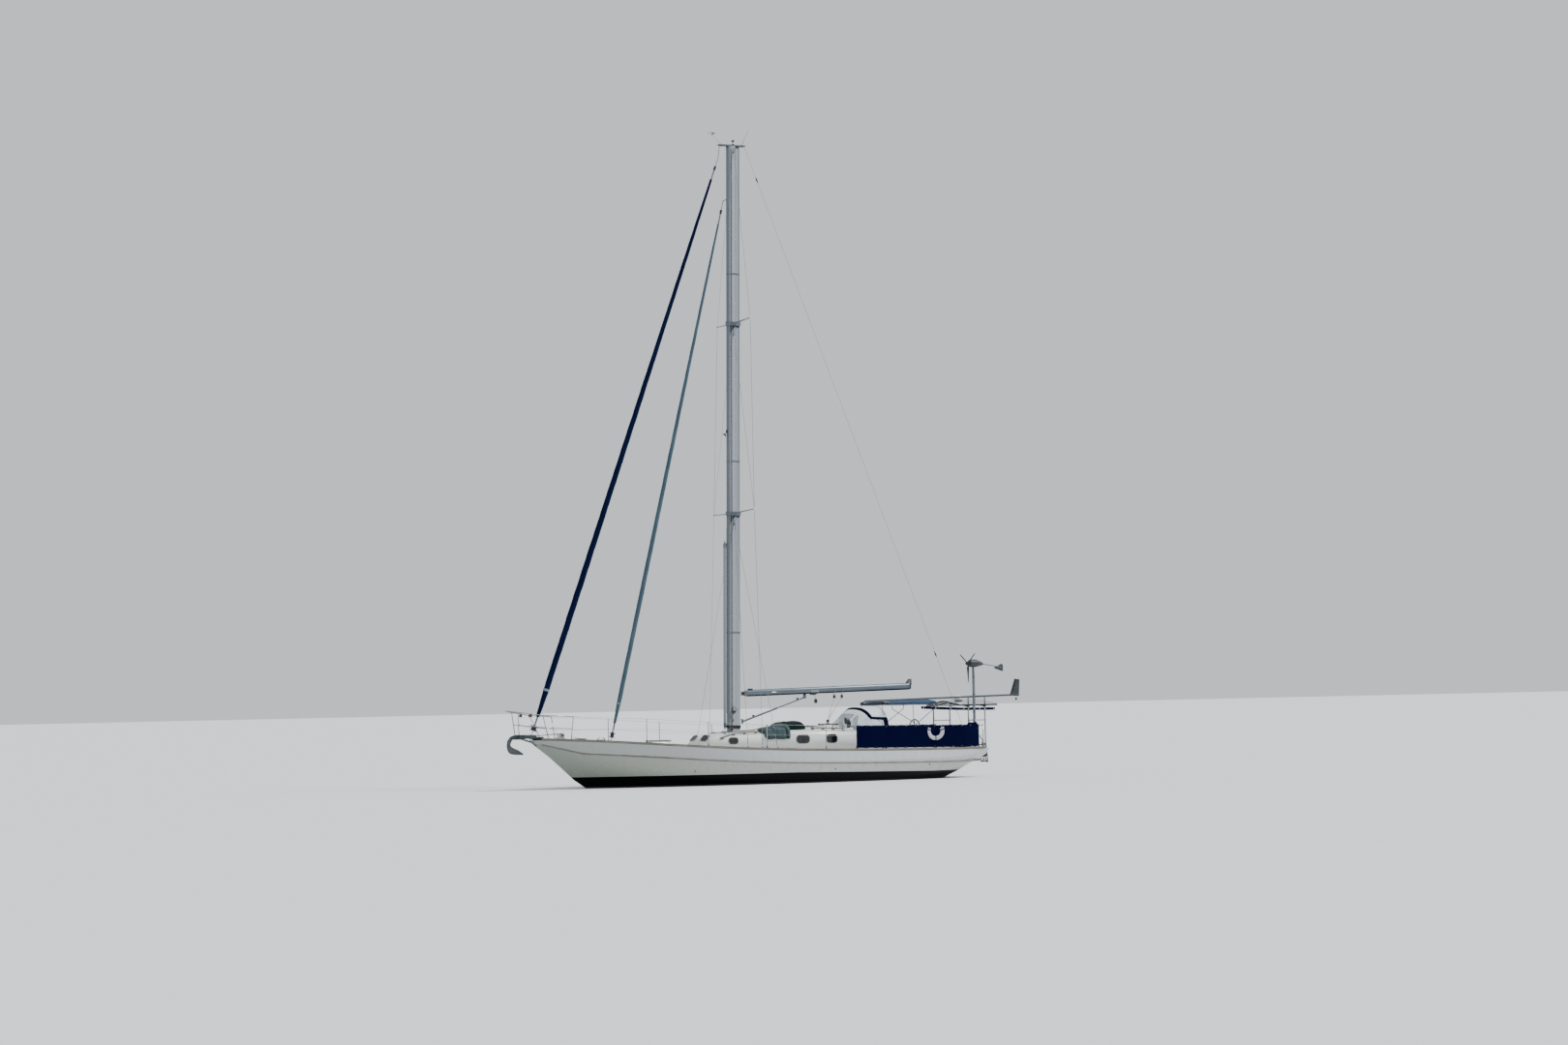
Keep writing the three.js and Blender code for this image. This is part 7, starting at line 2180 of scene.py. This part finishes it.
def boardingLadder(values):
    piece = Piece("boardingLadder", 40)
    left, right = values["ladder"]
    # the ladder's frame is dark paint and its treads black, partly as painted shade of the transom behind it
    hung = [(6.4, 1.16), (6.56, 1.17), (6.63, 1.06), (6.66, 0.86), (6.74, 0.4)]
    # the swim section, turned up behind the fixed one
    folded = [(6.79, 0.42), (6.79, 0.56), (6.765, 0.78), (6.745, 1.0)]
    for y, inward in ((left, 1), (right, -1)):
        piece.add(slatePaint, pipe([(x, y, z) for x, z in hung], 0.0155, 12, curved=True),
            pipe([(x, y + inward * 0.036, z) for x, z in folded], 0.0155, 12, curved=True))
        piece.add(steel, bar((6.735, y - inward * 0.014, 0.43),
            (6.735, y + inward * 0.056, 0.43), 0.009, 14, edge=0.002))
        piece.add(slatePaint, block((6.725, y - 0.012 + inward * 0.018, 0.415),
            (6.8, y + 0.012 + inward * 0.018, 0.445), 0.005))
        piece.add(steel, block((6.36, y - 0.02, 1.145), (6.42, y + 0.02, 1.175), 0.004))
        piece.add(slatePaint, bar((6.4, y, 1.16), (6.4, y, 0.866), 0.0145, 14))
        piece.add(steel, lathe(mm((0, 0), (30, 0), (30, 6), (18, 12), (0, 12)), (6.4, y, 0.862), sides=20))
        piece.add(slatePaint, bar((6.72, y, 0.5), (6.375, y, 0.5), 0.011, 12))
        piece.add(blackPlastic, lathe([(0, 0), (0.02, 0), (0.02, 0.012), (0, 0.012)], (6.374, y, 0.5), (1, 0, 0), 16))
    for x, z in ((6.65, 0.92), (6.665, 0.75), (6.7, 0.58), (6.725, 0.44)):
        piece.add(blackPlastic, block((x - 0.036, left + 0.01, z - 0.014),
            (x + 0.036, right - 0.01, z + 0.014), 0.006, 3))
        for k in range(3):
            rib = x - 0.02 + 0.02 * k
            piece.add(slatePaint, block((rib - 0.004, left + 0.02, z + 0.012),
                (rib + 0.004, right - 0.02, z + 0.017), 0.0015, 1))
    for x, z in ((6.783, 0.62), (6.765, 0.78), (6.75, 0.94)):
        piece.add(blackPlastic, block((x - 0.013, left + 0.046, z - 0.036),
            (x + 0.015, right - 0.046, z + 0.036), 0.006, 3))
    piece.set("boat", "stainless")


archFittings(sternSet)
boardingLadder(sternSet)

# Heaving-line pouch hung on the quarter's upper lifeline, slumped over its load
pouchSet = {"x": 5.9, "z": 1.44, "size": (0.17, 0.07, 0.15)}


def sternPouch(values):
    sx, sy, sz = values["size"]
    y0 = -(sheerHalf(values["x"]) - 0.035) + sy + 0.012

    def form(u, v):
        a = tau * u
        low = 1 - v
        fat = 0.55 + 0.45 * sin(pi * min(1, 0.12 + low * 0.95)) ** 0.8
        fat *= min(1.0, 0.4 + 6 * v, 0.35 + 7 * low)
        x = sx * copysign(abs(cos(a)) ** 0.6, cos(a)) * (0.9 + 0.1 * low) * min(1.0, 0.82 + 1.2 * min(v, low))
        y = sy * copysign(abs(sin(a)) ** 0.8, sin(a)) * fat
        ripple = 0.004 * sin(a * 5 + v * 9) + 0.003 * sin(a * 9 - v * 21)
        return vec(values["x"] + x * (1 + ripple * 4), y0 + y + ripple,
            values["z"] - sz + 2 * sz * v - 0.012 * sin(pi * u * 2) ** 2 * low)

    pouch = Piece("sternPouch", 60).add(navy, sleeve(0.8, 0.4, 56, 30, form)).set("boat", "navy_canvas")
    flap = Piece("sternPouchFlap", 50)
    x, z = values["x"], values["z"]
    for strapX in (x - 0.6 * sx, x + 0.6 * sx):
        over = [(y0, z + sz - 0.02), (y0 - sy - 0.004, z + sz + 0.03), (y0 - sy - 0.016, z + sz + 0.016),
            (y0 - sy * 0.7, z + 0.03)]
        flap.add(navySail, pipe([(strapX, py, pz) for py, pz in over], 0.008, 8, curved=True))
    string = [(x - sx * 0.8, y0 - sy * 0.9, z - sz * 0.1), (x, y0 - sy - 0.004, z - sz * 0.12),
        (x + sx * 0.8, y0 - sy * 0.9, z - sz * 0.1)]
    flap.add(whiteRope, pipe(string, 0.003, 6))
    flap.set("boat", "navy_canvas")


sternPouch(pouchSet)
print("stern dressed")

# Deck gear: cleats, chocks, sheet tracks, handrails, vents and through-hull fittings
deckSet = {
    "cleats": ((-5.95, 0.16, 0.3), (-0.15, 0.1, 0.24), (5.62, 0.16, 0.26)),  # x, distance inside the sheer, length
    "chocks": (-5.5, 5.3), "track": (1.15, 3.45, 1.62), "cars": (2.05, 2.95),
    "handrails": ((0.8, ((-1.75, 0.2), (0.6, 2.02))), (-0.8, ((-1.75, -0.72), (1.05, 2.02)))),
    "cowl": (2.08, -0.97, 0.06), "mushrooms": ((-1.5, 0.45), (-1.5, -0.45), (1.25, 0.62)),
    "outlets": ((-2.9, 0.42), (1.2, 0.38), (4.3, 0.42)),
}


def deckCleats(values):
    piece = Piece("deckCleats", 40)
    for x, inset, length in values["cleats"]:
        for s in (-1, 1):
            spot, up = dropOn(x, s * (sheerHalf(x) - inset))
            slope = (sheerHalf(x + 0.3) - sheerHalf(x - 0.3)) / 0.6 * s
            piece.add(darkSteel, plate(rounded(length * 0.62, length * 0.3, length * 0.1, 4), 0.006,
                stand(spot + up * 0.003, up, (1, slope, 0)), 0.0015))
            hornCleat(piece, spot + up * 0.005, length, (1, slope, 0), up, darkSteel)
    for x in values["chocks"]:
        for s in (-1, 1):
            y, z = railAt(x)
            slope = (sheerHalf(x + 0.2) - sheerHalf(x - 0.2)) / 0.4 * s
            place = stand((x, s * (y - 0.02), z), (0, 0, 1),
                (1, slope, (railAt(x + 0.2)[1] - railAt(x - 0.2)[1]) / 0.4))
            piece.add(darkSteel, block((-0.12, -0.024, -0.003), (0.12, 0.024, 0.01), 0.004, 2, place))
            for end in (-1, 1):
                horn = [place @ vec(end * px, 0, pz) for px, pz in mm((100, 0), (95, 45), (60, 62), (22, 52))]
                piece.add(darkSteel, pipe(horn, 0.012, 10, curved=True, radii=[1.2, 1.1, 0.9, 0.6]))
    piece.set("boat", "stainless")


def deckStrip(line, width, lift, thick):
    length = sum(dist(a, b) for a, b in zip(line, line[1:]))
    over = lambda u, v: glide(line, v) + vec(0, (u - 0.5) * width, lift + thick)
    return skin(width, length, 1, len(line) * 2, over, thick)


def sheetTracks(label, side, values):
    x0, x1, y = values["track"]
    piece = Piece(f"sheetTrack{label}", 40)
    line = [dropOn(lerp(x0, x1, i / 12), side * y)[0] for i in range(13)]
    piece.add(blackPlastic, deckStrip(line, 0.03, -0.001, 0.006))
    piece.add(sparAlloy, deckStrip(line, 0.018, 0.004, 0.012), deckStrip(line, 0.032, 0.014, 0.006))
    for end in (line[0], line[-1]):
        piece.add(blackPlastic, block(end + vec(-0.02, -0.02, 0), end + vec(0.02, 0.02, 0.028), 0.005))
    for x in values["cars"]:
        at = dropOn(x, side * y)[0] + vec(0, 0, 0.02)
        piece.add(steel, block(at + vec(-0.055, -0.026, -0.012), at + vec(0.055, 0.026, 0.014), 0.006, 3),
            bar(at + vec(-0.035, 0, 0.01), at + vec(-0.035, 0, 0.036), 0.007, 12, edge=0.002))
        sheaveBlock(piece, at + vec(0.006, 0, 0.068), (0.15, 0, -1), (0, 1, 0), 0.04)
    piece.set("boat", "alloy")


def handrails(values):
    piece = Piece("cabinHandrails", 40)
    for y, runs in values["handrails"]:
        for x0, x1 in runs:
            count = max(2, round((x1 - x0) / 0.33))
            line = [dropOn(lerp(x0, x1, i / count), y)[0] for i in range(count + 1)]
            for spot in line:
                piece.add(teak, block(spot + vec(-0.05, -0.014, -0.006), spot + vec(0.05, 0.014, 0.044), 0.01, 3))
            top = [p + vec(0, 0, 0.058) for p in line]
            rail = pipe([between(top[0], top[1], -0.22), *top, between(top[-1], top[-2], -0.22)], 0.017, 12)
            piece.add(teak, rail)
    piece.set("boat", "teak")


def ventilators(values):
    piece = Piece("ventilators", 45)
    x, y, r = values["cowl"]
    roof = dropOn(x, y)[0].z
    piece.add(gloss, block((x - 0.13, y - 0.085, roof - 0.03), (x + 0.13, y + 0.085, roof + 0.085), 0.018, 4))
    bend = [vec(x + 0.035 + dx, y, roof + dz) for dx, dz in mm((0, 80), (0, 180), (-5, 240), (-40, 290), (-100, 295))]
    piece.add(slatePaint, pipe(bend, r, 24, curved=True, radii=[1.0, 1.0, 1.15, 1.35, 1.5]),
        ring(bend[-1], r * 1.5, 0.007, (1, 0, 0), 32, 8))
    piece.add(blackPlastic, lathe([(0, 0), (r * 1.42, 0), (r * 1.42, 0.003), (0, 0.003)],
        bend[-1] - vec(0.0015, 0, 0), (-1, 0, 0), 28))
    piece.add(steel, ring(bend[0] + vec(0, 0, 0.01), r * 1.04, 0.006, (0, 0, 1), 28, 8))
    for x, y in values["mushrooms"]:
        spot, up = dropOn(x, y)
        cap = mm((0, 0), (50, 0), (50, 22), (72, 26), (76, 34), (66, 46), (36, 54), (0, 56))
        piece.add(steel, lathe(cap, spot, up, 32))
    piece.set("boat", "dark_plastic")


def hullFittings(values):
    piece = Piece("hullFittings", 40)
    shell = surface("hull")
    for x, z in values["outlets"]:
        for s in (-1, 1):
            spot, facing = shell.ray_cast(vec(x, s * 4, z), vec(0, -s, 0))[:2]
            piece.add(bronze,
                lathe(mm((12, 2), (20, 0), (24, 1), (24, 4), (20, 6), (14, 5), (12, 2)), spot, facing, 24))
            piece.add(blackPlastic, lathe(mm((0, 0), (13.5, 0), (13.5, 2), (0, 2)), spot, facing, 20))
    spot, facing = shell.ray_cast(vec(9, 0.45, 0.55), vec(-1, 0, 0))[:2]
    piece.add(blackPlastic,
        lathe(mm((0, 0), (55, 0), (55, 6), (46, 12), (36, 30), (34, 30), (34, 8), (0, 8)), spot, facing, 28))
    for s in (-1, 1):
        spot, facing = shell.ray_cast(vec(3.1, s * 4, -0.32), vec(0, -s, 0))[:2]
        piece.add(galvanised, plate(rounded(0.22, 0.07, 0.03, 5), 0.022,
            stand(spot + facing * 0.01, facing, (1, 0, 0)), 0.008, 3))
    piece.set("boat", "stainless")


gratingSet = {"x": (2.76, 4.34), "half": 0.35, "z": 0.42, "slats": (13, 30)}


def cockpitGrating(values):
    (x0, x1), half, z = values["x"], values["half"], values["z"]
    lengthways, across = values["slats"]
    piece = Piece("cockpitGrating", 30)
    middle = Matrix.Translation(((x0 + x1) / 2, 0, z + 0.0125))
    frameOut, frameIn = oblong(x1 - x0, half * 2), oblong(x1 - x0 - 0.09, half * 2 - 0.09)
    piece.add(teak, flatRing(frameIn, frameOut, 0.024, middle, 0.003))
    for i in range(lengthways):
        y = lerp(-half + 0.045, half - 0.045, (i + 1) / (lengthways + 1))
        piece.add(teak, block((x0 + 0.04, y - 0.01, z + 0.012), (x1 - 0.04, y + 0.01, z + 0.0235), 0.0015, 1))
    for i in range(across):
        x = lerp(x0 + 0.045, x1 - 0.045, (i + 1) / (across + 1))
        piece.add(teak, block((x - 0.01, -half + 0.04, z + 0.0015), (x + 0.01, half - 0.04, z + 0.0135), 0.0015, 1))
    piece.set("boat", "teak")


deckCleats(deckSet)
for label, side in sides:
    sheetTracks(label, side, deckSet)
handrails(deckSet)
ventilators(deckSet)
hullFittings(deckSet)
cockpitGrating(gratingSet)
print("deck gear done")
